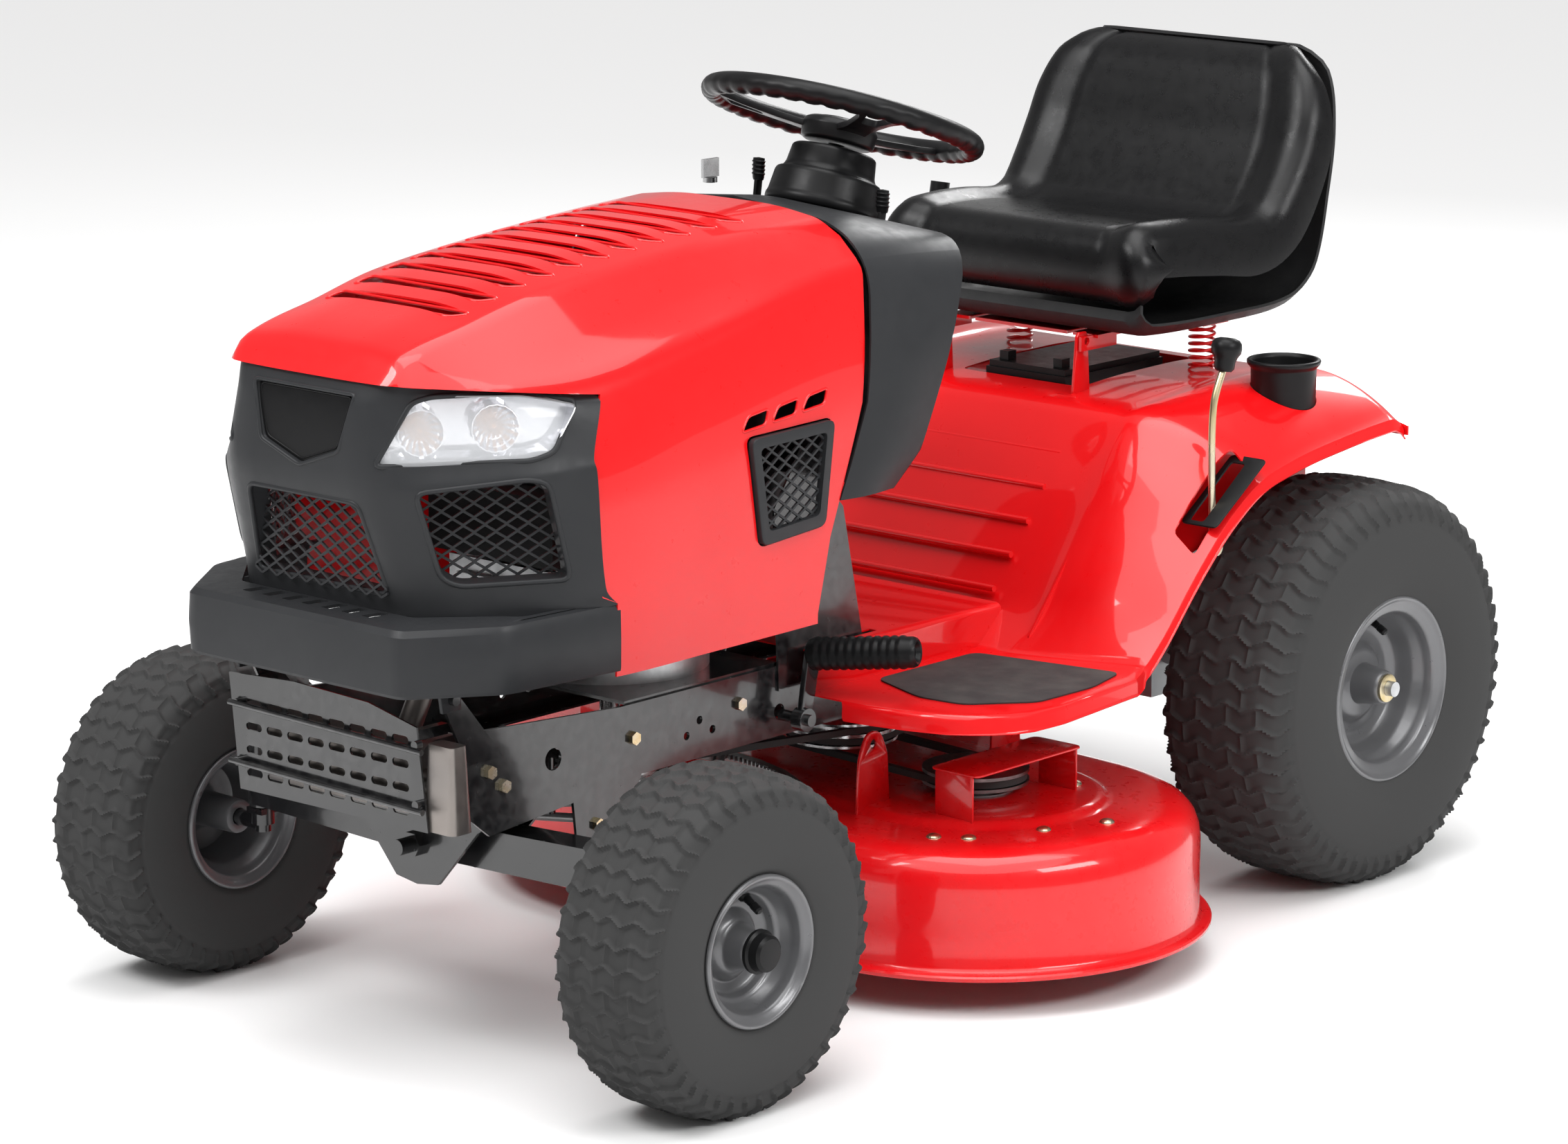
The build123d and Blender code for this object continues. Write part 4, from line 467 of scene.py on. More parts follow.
def wear_effect() -> bpy.types.NodeTree:
    """Rubbed edges: where the surface is convex, broken up by noise."""
    group, graph, given, result = effect("Edge Wear", {"Amount": 0.5, "Scale": 90.0}, ["Mask"])
    edge = graph.node("NewGeometry").outputs["Pointiness"]
    spot = graph.node("TexCoord").outputs["Object"]
    noise = graph.node("TexNoise", {"Vector": spot, "Scale": given["Scale"], "Detail": 6.0})
    rubbed = graph.math("MULTIPLY", graph.ramp(edge, 0.52, 0.6), graph.ramp(noise.outputs[0], 0.4, 0.65))
    group.links.new(graph.math("MULTIPLY", rubbed, given["Amount"], True), result["Mask"])
    return group


def dust_effect() -> bpy.types.NodeTree:
    """A thin dust on what faces upwards."""
    group, graph, given, result = effect("Dust", {"Amount": 0.2, "Scale": 25.0}, ["Mask"])
    up = graph.node("SeparateXYZ", {0: graph.node("NewGeometry").outputs["Normal"]}).outputs[2]
    spot = graph.node("TexCoord").outputs["Object"]
    noise = graph.node("TexNoise", {"Vector": spot, "Scale": given["Scale"], "Detail": 8.0})
    lying = graph.math("MULTIPLY", graph.ramp(up, 0.2, 1.0), graph.ramp(noise.outputs[0], 0.4, 0.75))
    group.links.new(graph.math("MULTIPLY", lying, given["Amount"], True), result["Mask"])
    return group


def relief_effect(grain: Grain) -> bpy.types.NodeTree:
    """The height of one kind of grain."""
    group, graph, given, result = effect(f"Relief {grain.value}", {"Scale": 400.0}, ["Height"])
    spot = graph.node("TexCoord").outputs["Object"]
    size = given["Scale"]
    if grain is Grain.BRUSHED:
        drawn = graph.node("Mapping", {"Vector": spot, "Scale": (1, 1, 12)}).outputs[0]
        height = graph.node("TexNoise", {"Vector": drawn, "Scale": size, "Detail": 4.0}).outputs[0]
    elif grain in (Grain.HIDE, Grain.GRIT):
        cells = graph.node("TexVoronoi", {"Vector": spot, "Scale": size},
                           feature="DISTANCE_TO_EDGE" if grain is Grain.HIDE else "F1")
        height = graph.ramp(cells.outputs["Distance"], 0.0, 0.35)
    elif grain is Grain.MOULDED:
        cells = graph.node("TexVoronoi", {"Vector": spot, "Scale": size, "Randomness": 1.0},
                           feature="SMOOTH_F1")
        height = cells.outputs["Distance"]
    else:
        height = graph.node("TexNoise", {"Vector": spot, "Scale": size, "Detail": 6.0}).outputs[0]
    group.links.new(height, result["Height"])
    return group


EFFECTS: dict[str, bpy.types.NodeTree] = {}


def shared(name: str, make: Callable[[], bpy.types.NodeTree]) -> bpy.types.NodeTree:
    """A shared effect, built the first time it is asked for."""
    if name not in EFFECTS:
        EFFECTS[name] = make()
    return EFFECTS[name]


@dataclass(frozen=True)
class Finish:
    """One finish: its colours, its gloss and its grain."""

    name: str
    colour: Solid
    roughness: float
    grain: Grain
    grain_scale: float = 500.0
    grain_height: float = 0.02
    second: Solid | None = None
    metallic: float = 0.0
    coat: float = 0.0
    coat_roughness: float = 0.04
    specular: float = 0.5
    rough_spread: float = 0.06
    wear: float = 0.0
    worn: Solid = (0.4, 0.4, 0.4)
    dust: float = 0.06
    transmission: float = 0.0
    sheen: float = 0.0

    def material(self) -> bpy.types.Material:
        """The finish as a material, built once."""
        if self.name in bpy.data.materials:
            return bpy.data.materials[self.name]
        material = bpy.data.materials.new(self.name)
        material.use_nodes = True
        material.node_tree.nodes.clear()
        graph = Graph(material.node_tree)
        mottle = graph.node("Group", node_tree=shared("mottle", mottle_effect))
        wear = graph.node("Group", node_tree=shared("wear", wear_effect))
        wear.inputs["Amount"].default_value = self.wear
        dust = graph.node("Group", node_tree=shared("dust", dust_effect))
        dust.inputs["Amount"].default_value = self.dust
        relief = graph.node("Group", node_tree=shared(self.grain.value, lambda: relief_effect(self.grain)))
        relief.inputs["Scale"].default_value = self.grain_scale
        second = self.second or tuple(0.8 * part for part in self.colour)
        colour = graph.blend(mottle.outputs["Mask"], (*self.colour, 1), (*second, 1))
        colour = graph.blend(wear.outputs["Mask"], colour, (*self.worn, 1))
        colour = graph.blend(dust.outputs["Mask"], colour, (0.42, 0.39, 0.34, 1))
        rough = graph.ramp(mottle.outputs["Fine Mask"], 0.0, 1.0,
                           max(self.roughness - self.rough_spread, 0.01),
                           self.roughness + self.rough_spread)
        rough = graph.math("ADD", rough, graph.math("MULTIPLY", dust.outputs["Mask"], 0.5), True)
        height = self.pattern(graph, relief.outputs["Height"])
        bump = graph.node("Bump", {"Height": height, "Strength": 0.6, "Distance": self.grain_height * MM})
        shader = graph.node("BsdfPrincipled", {
            "Base Color": colour, "Roughness": rough, "Metallic": self.metallic,
            "Normal": bump.outputs[0], "Coat Weight": self.coat, "Coat Roughness": self.coat_roughness,
            "Specular IOR Level": self.specular, "Transmission Weight": self.transmission,
            "Sheen Weight": self.sheen})
        graph.node("OutputMaterial", {"Surface": shader.outputs[0]})
        return material

    def pattern(self, graph: Graph, height: bpy.types.NodeSocket) -> bpy.types.NodeSocket:
        """The relief's height; a finish with a pattern of its own adds it here."""
        return height


@dataclass(frozen=True)
class TreadFinish(Finish):
    """Rubber with the fine lines cut into each tread block, laid out on the tyre's own UV map."""

    line_depth: float = 60.0

    def pattern(self, graph: Graph, height: bpy.types.NodeSocket) -> bpy.types.NodeSocket:
        """Add the lines inside the blocks, from the block coordinates in the UV map."""
        spot = graph.node("UVMap", uv_map="Blocks").outputs[0]
        parts = graph.node("SeparateXYZ", {0: spot})
        edges = []
        for axis in (0, 1):
            share = graph.math("FRACT", parts.outputs[axis])
            edges.append(graph.math("ABSOLUTE", graph.math("SUBTRACT", share, 0.5)))
        ring = graph.math("MAXIMUM", edges[0], edges[1])
        line = graph.math("ABSOLUTE", graph.math("SUBTRACT", ring, 0.26))
        groove = graph.ramp(line, 0.02, 0.05)
        on_tread = graph.math("GREATER_THAN", parts.outputs[1], 0.0)
        lowered = graph.math("MULTIPLY", graph.math("SUBTRACT", groove, 1.0), on_tread)
        return graph.math("ADD", height, graph.math("MULTIPLY", lowered, self.line_depth))


RED = Finish("red_gloss_enamel", (0.74, 0.004, 0.006), 0.3, Grain.PAINT, 900, 0.004, (0.70, 0.003, 0.005),
             specular=0.2, coat=0.8, coat_roughness=0.04, rough_spread=0.03, dust=0.0)
DECK_RED = Finish("red_deck_enamel", (0.70, 0.004, 0.006), 0.3, Grain.PAINT, 500, 0.01, (0.70, 0.006, 0.01),
                  specular=0.2, coat=0.8, coat_roughness=0.07, wear=0.15, worn=(0.35, 0.05, 0.05),
                  dust=0.02)
GREY = Finish("grey_moulded_plastic", (0.026, 0.027, 0.029), 0.40, Grain.MOULDED, 1300, 0.05,
              (0.022, 0.023, 0.025),
              specular=0.22, dust=0.0)
BLACK = Finish("black_moulded_plastic", (0.007, 0.007, 0.0075), 0.36, Grain.MOULDED, 1300, 0.04,
               specular=0.2, dust=0.0)
FRAME = Finish("black_frame_enamel", (0.008, 0.008, 0.009), 0.22, Grain.PAINT, 700, 0.01, coat=0.7,
               coat_roughness=0.08, wear=0.3, worn=(0.08, 0.08, 0.08), dust=0.02)
RIM = Finish("charcoal_rim_enamel", (0.135, 0.136, 0.142), 0.33, Grain.PAINT, 700, 0.01,
             (0.12, 0.121, 0.126),
             metallic=0.35, coat=0.4, coat_roughness=0.15, wear=0.3, worn=(0.4, 0.4, 0.4), dust=0.03)
RUBBER = TreadFinish("tyre_rubber", (0.010, 0.010, 0.011), 0.44, Grain.RUBBER, 260, 0.03,
                     (0.014, 0.014, 0.015),
                     specular=0.2, rough_spread=0.08, dust=0.02)
VINYL = Finish("black_vinyl", (0.006, 0.006, 0.0065), 0.30, Grain.HIDE, 900, 0.06, specular=0.28, dust=0.0)
PAN = Finish("textured_pan_plastic", (0.010, 0.010, 0.011), 0.6, Grain.GRIT, 900, 0.35, dust=0.03)
ZINC = Finish("yellow_zinc", (0.62, 0.50, 0.26), 0.30, Grain.CAST, 300, 0.02, (0.66, 0.60, 0.48),
              metallic=1.0, wear=0.4,
              worn=(0.75, 0.75, 0.75))
STEEL = Finish("turned_steel", (0.62, 0.62, 0.63), 0.24, Grain.BRUSHED, 220, 0.02, (0.5, 0.5, 0.5),
               metallic=1.0)
DARK_STEEL = Finish("bare_dark_steel", (0.22, 0.22, 0.22), 0.34, Grain.BRUSHED, 220, 0.02, metallic=1.0,
                    wear=0.5)
CAST = Finish("cast_aluminium", (0.56, 0.57, 0.58), 0.42, Grain.CAST, 350, 0.15, (0.46, 0.47, 0.48),
              metallic=0.9,
              wear=0.3, worn=(0.8, 0.8, 0.8))
GRIT_PAD = Finish("gritty_foot_pad", (0.020, 0.021, 0.022), 0.8, Grain.GRIT, 700, 0.5,
                  (0.028, 0.028, 0.028))
BELT = Finish("belt_rubber", (0.016, 0.016, 0.017), 0.6, Grain.RUBBER, 400, 0.05)
CHROME = Finish("bright_reflector", (0.9, 0.9, 0.92), 0.07, Grain.PAINT, 300, 0.01, (0.85, 0.85, 0.88),
                metallic=1.0,
                rough_spread=0.02, dust=0.0)
LENS = Finish("clear_lens", (0.98, 0.99, 1.0), 0.03, Grain.PAINT, 300, 0.004, (0.97, 0.98, 0.99),
              rough_spread=0.01,
              dust=0.0, transmission=1.0)
AMBER = Finish("amber_bulb", (0.95, 0.42, 0.06), 0.12, Grain.PAINT, 300, 0.01, transmission=0.4, dust=0.0)
EXHAUST = Finish("heated_steel", (0.30, 0.27, 0.25), 0.38, Grain.CAST, 260, 0.08, (0.20, 0.19, 0.19),
                 metallic=0.9)


def dress(piece: bpy.types.Object, finish: Finish, body: str) -> bpy.types.Object:
    """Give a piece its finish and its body."""
    piece.data.materials.clear()
    piece.data.materials.append(finish.material())
    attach(piece, body)
    log.info("%s: %d faces on %s", piece.name, len(piece.data.polygons), body)
    return piece


NODE_FINISHES: dict[str, Finish] = {
    "frame_rails": FRAME, "frame_plates": FRAME, "front_pivot_bracket": FRAME, "front_axle_bar": FRAME,
    "spindle_left": FRAME, "spindle_right": FRAME, "muffler_guard": FRAME, "frame_bolts": ZINC,
    "drag_link_left": DARK_STEEL, "drag_link_right": DARK_STEEL, "sector_gear": DARK_STEEL,
    "steering_shaft": DARK_STEEL, "shift_lever": ZINC, "lift_lever": BLACK, "brake_pedal": FRAME,
    "front_rim_left": RIM, "front_rim_right": RIM, "rear_rim_left": RIM, "rear_rim_right": RIM,
    "front_tyre_left": BELT, "front_tyre_right": BELT, "rear_tyre_left": BELT, "rear_tyre_right": BELT,
    "hood_shell": RED, "fender_body": RED, "deck_shell": DECK_RED, "seat_bracket": RED,
    "front_fascia": GREY, "front_grilles": GREY, "bumper": GREY, "side_vents": GREY, "dash_panel": GREY,
    "badge_plate": BLACK, "steering_wheel": BLACK, "steering_column": BLACK, "throttle_lever": BLACK,
    "blade_lever": BLACK, "ignition_key": STEEL, "seat_pan": PAN, "cup_holder": BLACK, "shift_plate": BLACK,
    "battery": BLACK, "fuel_tank": BLACK, "engine_shroud": BLACK, "discharge_chute": BLACK,
    "headlight_lenses": LENS, "headlight_reflectors": CHROME, "muffler": EXHAUST, "engine_block": CAST,
    "transaxle": CAST, "spindle_housings": CAST, "foot_pads": GRIT_PAD, "seat_cushion": VINYL,
    "engine_pulley": STEEL, "variable_pulley": STEEL, "input_pulley": STEEL, "blade_left": DARK_STEEL,
    "blade_right": DARK_STEEL, "drive_belts": BELT, "deck_belt": BELT,
}


def dress_nodes() -> None:
    """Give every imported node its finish."""
    for name, finish in NODE_FINISHES.items():
        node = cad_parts[name]
        node.data.materials.clear()
        node.data.materials.append(finish.material())


# ---------------------------------------------------------------- wheels
@dataclass
class Wheel:
    """A turf tyre on a pressed rim."""

    name: str
    side: int
    centre: Solid
    diameter: float
    width: float
    bead: float
    flange: float
    dish: float
    capped: bool
    pitches: int
    tread_depth: float = 5.0
    around: int = 648

    @property
    def hand(self) -> str:
        """Which side of the mower the wheel is on."""
        return "left" if self.side > 0 else "right"

    @property
    def body(self) -> str:
        """The body that the wheel turns with."""
        return f"{self.name}_wheel_{self.hand}"

    def outer_profile(self) -> np.ndarray:
        """The tyre's outer section from one bead over the tread to the other, in mm."""
        half, outer = self.width / 2, self.diameter / 2
        height = outer - self.bead
        right = [(half - 0.115 * self.width, self.bead - 1),
                 (half - 0.05 * self.width, self.bead + 0.10 * height),
                 (half - 0.008 * self.width, self.bead + 0.28 * height), (half, self.bead + 0.46 * height),
                 (half - 0.012 * self.width, self.bead + 0.64 * height),
                 (half - 0.045 * self.width, outer - 0.2 * height),
                 (half - 0.09 * self.width, outer - 0.09 * height),
                 (half - 0.19 * self.width, outer - 0.02 * height),
                 (half - 0.34 * self.width, outer - 1), (0, outer)]
        corners = right + [(-x, r) for x, r in reversed(right[:-1])]
        line = np.array(rounded(corners, [14.0] * (len(corners) - 2), 4))
        run = np.concatenate([[0], np.cumsum(np.hypot(*np.diff(line, axis=0).T))])
        even = np.linspace(0, run[-1], 112)
        return np.stack([np.interp(even, run, line[:, 0]), np.interp(even, run, line[:, 1])], axis=1)

    def tyre(self) -> bpy.types.Object:
        """Build the tyre: a dense skin with the tread blocks cut into it."""
        outer = self.outer_profile()
        inner = outer[::-8] * 1.0
        inner[:, 1] = np.minimum(inner[:, 1] - 9, self.diameter / 2 - 22)
        inner[:, 0] *= 0.9
        inner = inner[inner[:, 1] > self.bead - 1]
        section = np.concatenate([outer, inner, outer[:1]])
        on_outer = np.arange(len(section)) < len(outer)
        run = np.concatenate([[0], np.cumsum(np.hypot(*np.diff(outer, axis=0).T))])
        lateral = np.concatenate([run - run[-1] / 2, np.full(len(section) - len(outer), 1e4)])
        shoulder = np.interp(self.diameter / 2 - 0.24 * (self.diameter / 2 - self.bead),
                             outer[:56, 1], np.abs(lateral[:56]))
        columns = self.around + 1
        angle = np.linspace(0, 2 * math.pi, columns)
        turn, spot = np.meshgrid(angle / (2 * math.pi) * self.pitches, lateral)
        column = self.diameter / 11.5
        wave = 0.20 * (2 * np.abs(2 * ((spot / column) % 1) - 1) - 1)
        lift = turn + wave
        bar = np.floor(lift)
        along = lift - bar
        across = spot / column + 0.5 * (bar % 2)
        between = across - np.floor(across)
        groove = np.minimum(along, 1 - along) * (math.pi * self.diameter / self.pitches)
        gap = np.minimum(between, 1 - between) * column
        cut_depth = np.maximum(1 - np.clip((groove - 1.3) / 1.6, 0, 1),
                               0.7 * (1 - np.clip((gap - 0.9) / 1.6, 0, 1)))
        cut_depth = cut_depth * (np.abs(spot) < shoulder)
        ring = np.exp(-((np.abs(spot) - shoulder - 1.5) / 1.6) ** 2) * 1.2
        inner_ring = np.exp(-((np.abs(spot) - run[-1] / 2 + 16) / 1.4) ** 2)
        normal = np.gradient(section, axis=0)
        normal = np.stack([normal[:, 1], -normal[:, 0]], axis=1)
        normal /= np.maximum(np.linalg.norm(normal, axis=1, keepdims=True), 1e-9)
        drop = (cut_depth * self.tread_depth - ring - inner_ring) * on_outer[:, None]
        shift = np.where(np.abs(spot) < 1e3, drop, 0.0)
        x = section[:, :1] + normal[:, :1] * shift
        radius = section[:, 1:] + normal[:, 1:] * shift
        table = np.stack([self.centre[0] + x * MM,
                          self.centre[1] + radius * np.sin(angle)[None, :] * MM,
                          self.centre[2] + radius * np.cos(angle)[None, :] * MM], axis=2)
        piece = lofted(f"{self.name}_turf_tyre_{self.hand}", table)
        self.lay_blocks(piece, lift, np.where(np.abs(spot) < shoulder - 1, across + 100, -1.0))
        weld(piece)
        soften(piece, 60)
        return piece

    def lay_blocks(self, piece: bpy.types.Object, lift: np.ndarray, across: np.ndarray) -> None:
        """Write each point's place within its tread block to a UV map."""
        count = len(piece.data.loops)
        corner = np.empty(count, int)
        piece.data.loops.foreach_get("vertex_index", corner)
        usual = np.empty(2 * count)
        piece.data.uv_layers[0].data.foreach_get("uv", usual)
        rows, columns = lift.shape
        column = np.rint(usual[0::2] * (columns - 1)).astype(int)
        row = np.rint(usual[1::2] * (rows - 1)).astype(int)
        layer = piece.data.uv_layers.new(name="Blocks")
        spots = np.stack([lift[row, column], across[row, column]], axis=1)
        layer.data.foreach_set("uv", spots.ravel())

    def rim(self) -> bpy.types.Object:
        """Build the rim: rolled lips, drop-centre barrel, dished disc and hub."""
        half, bead, flange = self.width / 2, self.bead, self.flange
        lip = half - 0.1 * self.width + 3
        dish = self.dish
        hub = half - 14 if self.capped else half - 20
        outer = [(lip - 9, bead), (lip - 8, bead + 3), (lip - 2, bead + 4), (lip + 1, flange - 5),
                 (lip + 4, flange),
                 (lip + 8, flange - 1.5), (lip + 8.5, flange - 5), (lip + 4.5, flange - 9),
                 (lip + 1, bead - 4),
                 (lip - 12, bead - 7), (lip - 24, bead - 14), (dish + 16, bead - 18), (dish + 6, bead - 22),
                 (dish + 1, bead - 34), (dish + 3, bead * 0.52), (dish + 12, bead * 0.42), (dish + 14, 26),
                 (hub - 8, 22.5), (hub, 20.5), (hub, 9.7)]
        back = [(-hub, 9.7), (-hub, 20.5), (dish - 10, 22), (dish - 4, bead * 0.42), (dish - 8, bead - 34),
                (dish - 12, bead - 22), (-lip + 24, bead - 16), (-lip + 10, bead - 7), (-lip - 1, bead - 4),
                (-lip - 4, flange - 9), (-lip - 8, flange - 5), (-lip - 7.5, flange - 1.5),
                (-lip - 3, flange),
                (-lip, flange - 5), (-lip + 2, bead + 3), (-lip + 9, bead), (-lip + 24, bead - 12),
                (lip - 24, bead - 10)]
        corners = outer + back
        loop = rounded_loop(corners, 3.0, 2)
        piece = turned(f"{self.name}_rim_{self.hand}_pressed",
                       [(self.side * a * MM, r * MM) for a, r in loop],
                       self.centre, steps=120)
        return piece

    def fittings(self) -> list[bpy.types.Object]:
        """The valve, and on a front wheel the hub cap or on a rear one the axle's retaining ring."""
        x, y, z = self.centre
        turn = math.radians(14)
        up = Vector((0, math.sin(turn), math.cos(turn)))
        base = Vector((x, y, z)) + up * (self.bead
                                         - 19) * MM + Vector((self.side * (self.dish + 8) * MM, 0, 0))
        lean = (Vector((self.side * 0.9, 0, 0)) - up * 0.45).normalized()
        profile = [(0, 0.0), (0, 7.5), (5, 7.5), (8, 5.0), (20, 4.2), (21, 5.0), (31, 5.0), (33, 3.0),
                   (33, 0.0)]
        valve = turned(f"{self.name}_valve_{self.hand}", [(a * MM, r * MM) for a, r in profile],
                       tuple(base),
                       tuple(lean), 20)
        hub = self.width / 2 - (14 if self.capped else 20)
        if self.capped:
            cap = [(1, 0), (1, 23), (3, 25), (7, 25), (9, 22), (12, 21.5), (19, 20.5), (22, 17), (23, 0)]
            name = f"{self.name}_hub_cap_{self.hand}"
        else:
            cap = [(0.5, 9.8), (0.5, 18), (3.5, 18), (4, 17), (4, 9.8)]
            name = f"{self.name}_washer_{self.hand}"
        outward = (self.side, 0, 0)
        centre = (x + self.side * hub * MM, y, z)
        washer = turned(name, [(a * MM, r * MM) for a, r in cap], centre, outward, 40)
        return [valve, washer]

    def build(self) -> None:
        """Build and dress the whole wheel."""
        tyre = dress(self.tyre(), RUBBER, self.body)
        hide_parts(f"{self.name}_tyre_{self.hand}")
        rim = dress(self.rim(), RIM, self.body)
        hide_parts(f"{self.name}_rim_{self.hand}")
        valve, cap = self.fittings()
        dress(valve, BLACK, self.body)
        dress(cap, BLACK if self.capped else ZINC, self.body)


def wheels() -> list[Wheel]:
    """The four wheels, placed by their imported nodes."""
    found = []
    for side, hand in ((1, "left"), (-1, "right")):
        for name, bead, flange, dish, capped, pitches in (("front", 76, 87, 22, True, 46),
                                                           ("rear", 101.5, 119.5, 30, False, 58)):
            low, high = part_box(f"{name}_tyre_{hand}")
            middle = tuple((low + high) / 2)
            found.append(Wheel(name, side, middle, (high.z - low.z) / MM, (high.x - low.x) / MM, bead,
                               flange,
                               dish, capped, pitches))
    return found


# ---------------------------------------------------------------- hood and nose
def traced(target: bpy.types.Object, outline: Sequence[Flat], origin: Vector, across: Vector, up: Vector,
           towards: Vector, lift: float = 0.0) -> list[Solid]:
    """Drop an outline onto a piece along a direction.

    Args:
        target: The piece whose surface is hit.
        outline: Points in a plane, in metres.
        origin: The plane's origin.
        across: The plane's first axis.
        up: The plane's second axis.
        towards: The direction in which the outline drops.
        lift: How far from the surface each point ends, against the direction.

    Returns:
        The points on the surface.
    """
    bpy.context.view_layer.update()
    spots = []
    for a, b in outline:
        start = origin + across * a + up * b
        hit, place, _, _ = target.ray_cast(start, towards)
        if hit:
            spots.append(tuple(place - towards * lift))
    return spots


def prism(outline: Sequence[Flat], origin: Vector, across: Vector, up: Vector,
          depth: float) -> bpy.types.Object:
    """A cutter: an outline pulled both ways from its plane."""
    normal = across.cross(up)
    return plate("cutter", outline, 2 * depth, tuple(origin - normal * depth), tuple(across), tuple(up))


def scaled(points: Sequence[Flat]) -> list[Flat]:
    """Outline points in metres from millimetres."""
    return [(a * MM, b * MM) for a, b in points]


X_AXIS, Y_AXIS, Z_AXIS = Vector((1, 0, 0)), Vector((0, 1, 0)), Vector((0, 0, 1))


@dataclass
class Hood:
    """The red hood: a pressed skin with louvres and a vented pocket in each side."""

    stops: tuple[float, ...] = (-1443, -1425, -1405, -1296, -1205, -1045, -880, -749)
    wall: float = 2.5
    louvres: int = 11
    louvre_first: float = -1296
    louvre_last: float = -851
    louvre_half: float = 105
    louvre_wide: float = 21

    def halves(self) -> list[list[Flat]]:
        """Half sections at each stop, bottom to top, in mm."""
        return [
            [(120, 456), (120, 560), (118, 690), (112, 760), (104, 772), (96, 780), (88, 783), (0, 786)],
            [(150, 456), (150, 560), (148, 690), (140, 772), (132, 787), (124, 799), (114, 802), (0, 806)],
            [(166, 456), (168, 560), (164, 690), (158, 777), (146, 798), (128, 822), (117, 827), (0, 833)],
            [(225, 456), (229, 560), (226, 690), (207, 781), (178, 806), (134, 847), (122, 853), (0, 863)],
            [(250, 456), (253, 560), (250, 690), (227, 786), (194, 812), (138, 867), (126, 873), (0, 885)],
            [(254, 458), (257, 560), (255, 700), (234, 814), (199, 837), (141, 885), (129, 891), (0, 905)],
            [(255, 460), (257, 560), (256, 730), (234, 848), (202, 865), (147, 897), (134, 903), (0, 914)],
            [(255, 462), (257, 560), (253, 750), (229, 865), (204, 878), (153, 904), (141, 908), (0, 917)],
        ]

    def section(self, y: float) -> list[Flat]:
        """The whole rounded section at one y, left to right over the top."""
        corners = [tuple(spot) for spot in spread(self.halves(), self.stops, y)]
        crease, crown = corners[-2], corners[-1]
        corners.insert(-1, (0.55 * crease[0], crown[1] - 0.03 * (crown[1] - crease[1])))
        half = rounded(corners, [70, 70, 20, 40, 9, 12, 60], 5)
        return half + [(-x, z) for x, z in reversed(half[:-1])]

    def shell(self) -> bpy.types.Object:
        """The skin of nose and hood, given its thickness."""
        stations = [self.stops[0] + (self.stops[-1] - self.stops[0]) * (step / 84) for step in range(85)]
        table = np.array([[(x * MM, y * MM, z * MM) for x, z in self.section(y)] for y in stations])
        piece = lofted("hood_pressed_skin", table[:, ::-1])
        modify(piece, "SOLIDIFY", thickness=self.wall * MM, offset=-1.0, use_even_offset=True)
        return piece

    def build(self) -> None:
        """Press, cut and dress the hood."""
        piece = self.shell()
        span = 0.4
        nose = [(-1500, 798), (-1424, 798), (-1206, 772), (-1232, 706), (-1225, 549), (-1204, 540),
                (-1204, 400),
                (-1500, 400)]
        rear = [(-874, 440), (-874, 472), (-854, 560), (-796, 709), (-768, 866), (-752, 890), (-750, 990),
                (-600, 990),
                (-600, 400)]
        tools = [prism(scaled(nose), Vector(), Y_AXIS, Z_AXIS, span),
                 prism(scaled(rear), Vector(), Y_AXIS, Z_AXIS, span)]
        pitch = (self.louvre_last - self.louvre_first) / (self.louvres - 1)
        lips = []
        for count in range(self.louvres):
            y = self.louvre_first + count * pitch
            wide, end = self.louvre_wide / 2, self.louvre_half + 2 * (count / 10 - 0.5)
            slot = rounded_loop([(-end, y - wide), (end - 10, y - wide), (end + 6, y + wide),
                                 (-end + 8, y + wide)], 9, 5)
            lips.append(rod("lip", traced(piece, scaled(slot), Z_AXIS, X_AXIS, Y_AXIS, -Z_AXIS, -0.0006),
                            0.0021,
                            closed=True, smooth=False, sides=3))
            tools.append(prism(scaled(slot), Z_AXIS * 0.9, X_AXIS, Y_AXIS, 0.14))
        for side in (1, -1):
            for count in range(3):
                y = -1002 + 50 * count
                z = 702 + 5 * count
                hole = rounded_loop([(y, z), (y + 40, z + 4), (y + 47, z + 22), (y + 12, z + 17)], 6, 4)
                outline = prism(scaled(hole), X_AXIS * side * 0.25, Y_AXIS, Z_AXIS, 0.05)
                tools.append(outline)
                lips.append(rod("lip", traced(piece, scaled(hole), X_AXIS * side, Y_AXIS, Z_AXIS,
                                              -X_AXIS * side, -0.0006),
                                0.0018, closed=True, smooth=False, sides=3))
            vent = rounded_loop([(-996, 696), (-850, 700), (-866, 574), (-978, 566)], 12, 4)
            tools.append(prism(scaled(vent), X_AXIS * side * 0.25, Y_AXIS, Z_AXIS, 0.05))
        cut(piece, tools)
        soften(piece, 28)
        dress(piece, RED, "hood")
        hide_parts("hood_shell")
        lip = joined("hood_rolled_lips", lips)
        dress(lip, RED, "hood")
        for side in (1, -1):
            self.vent(side)

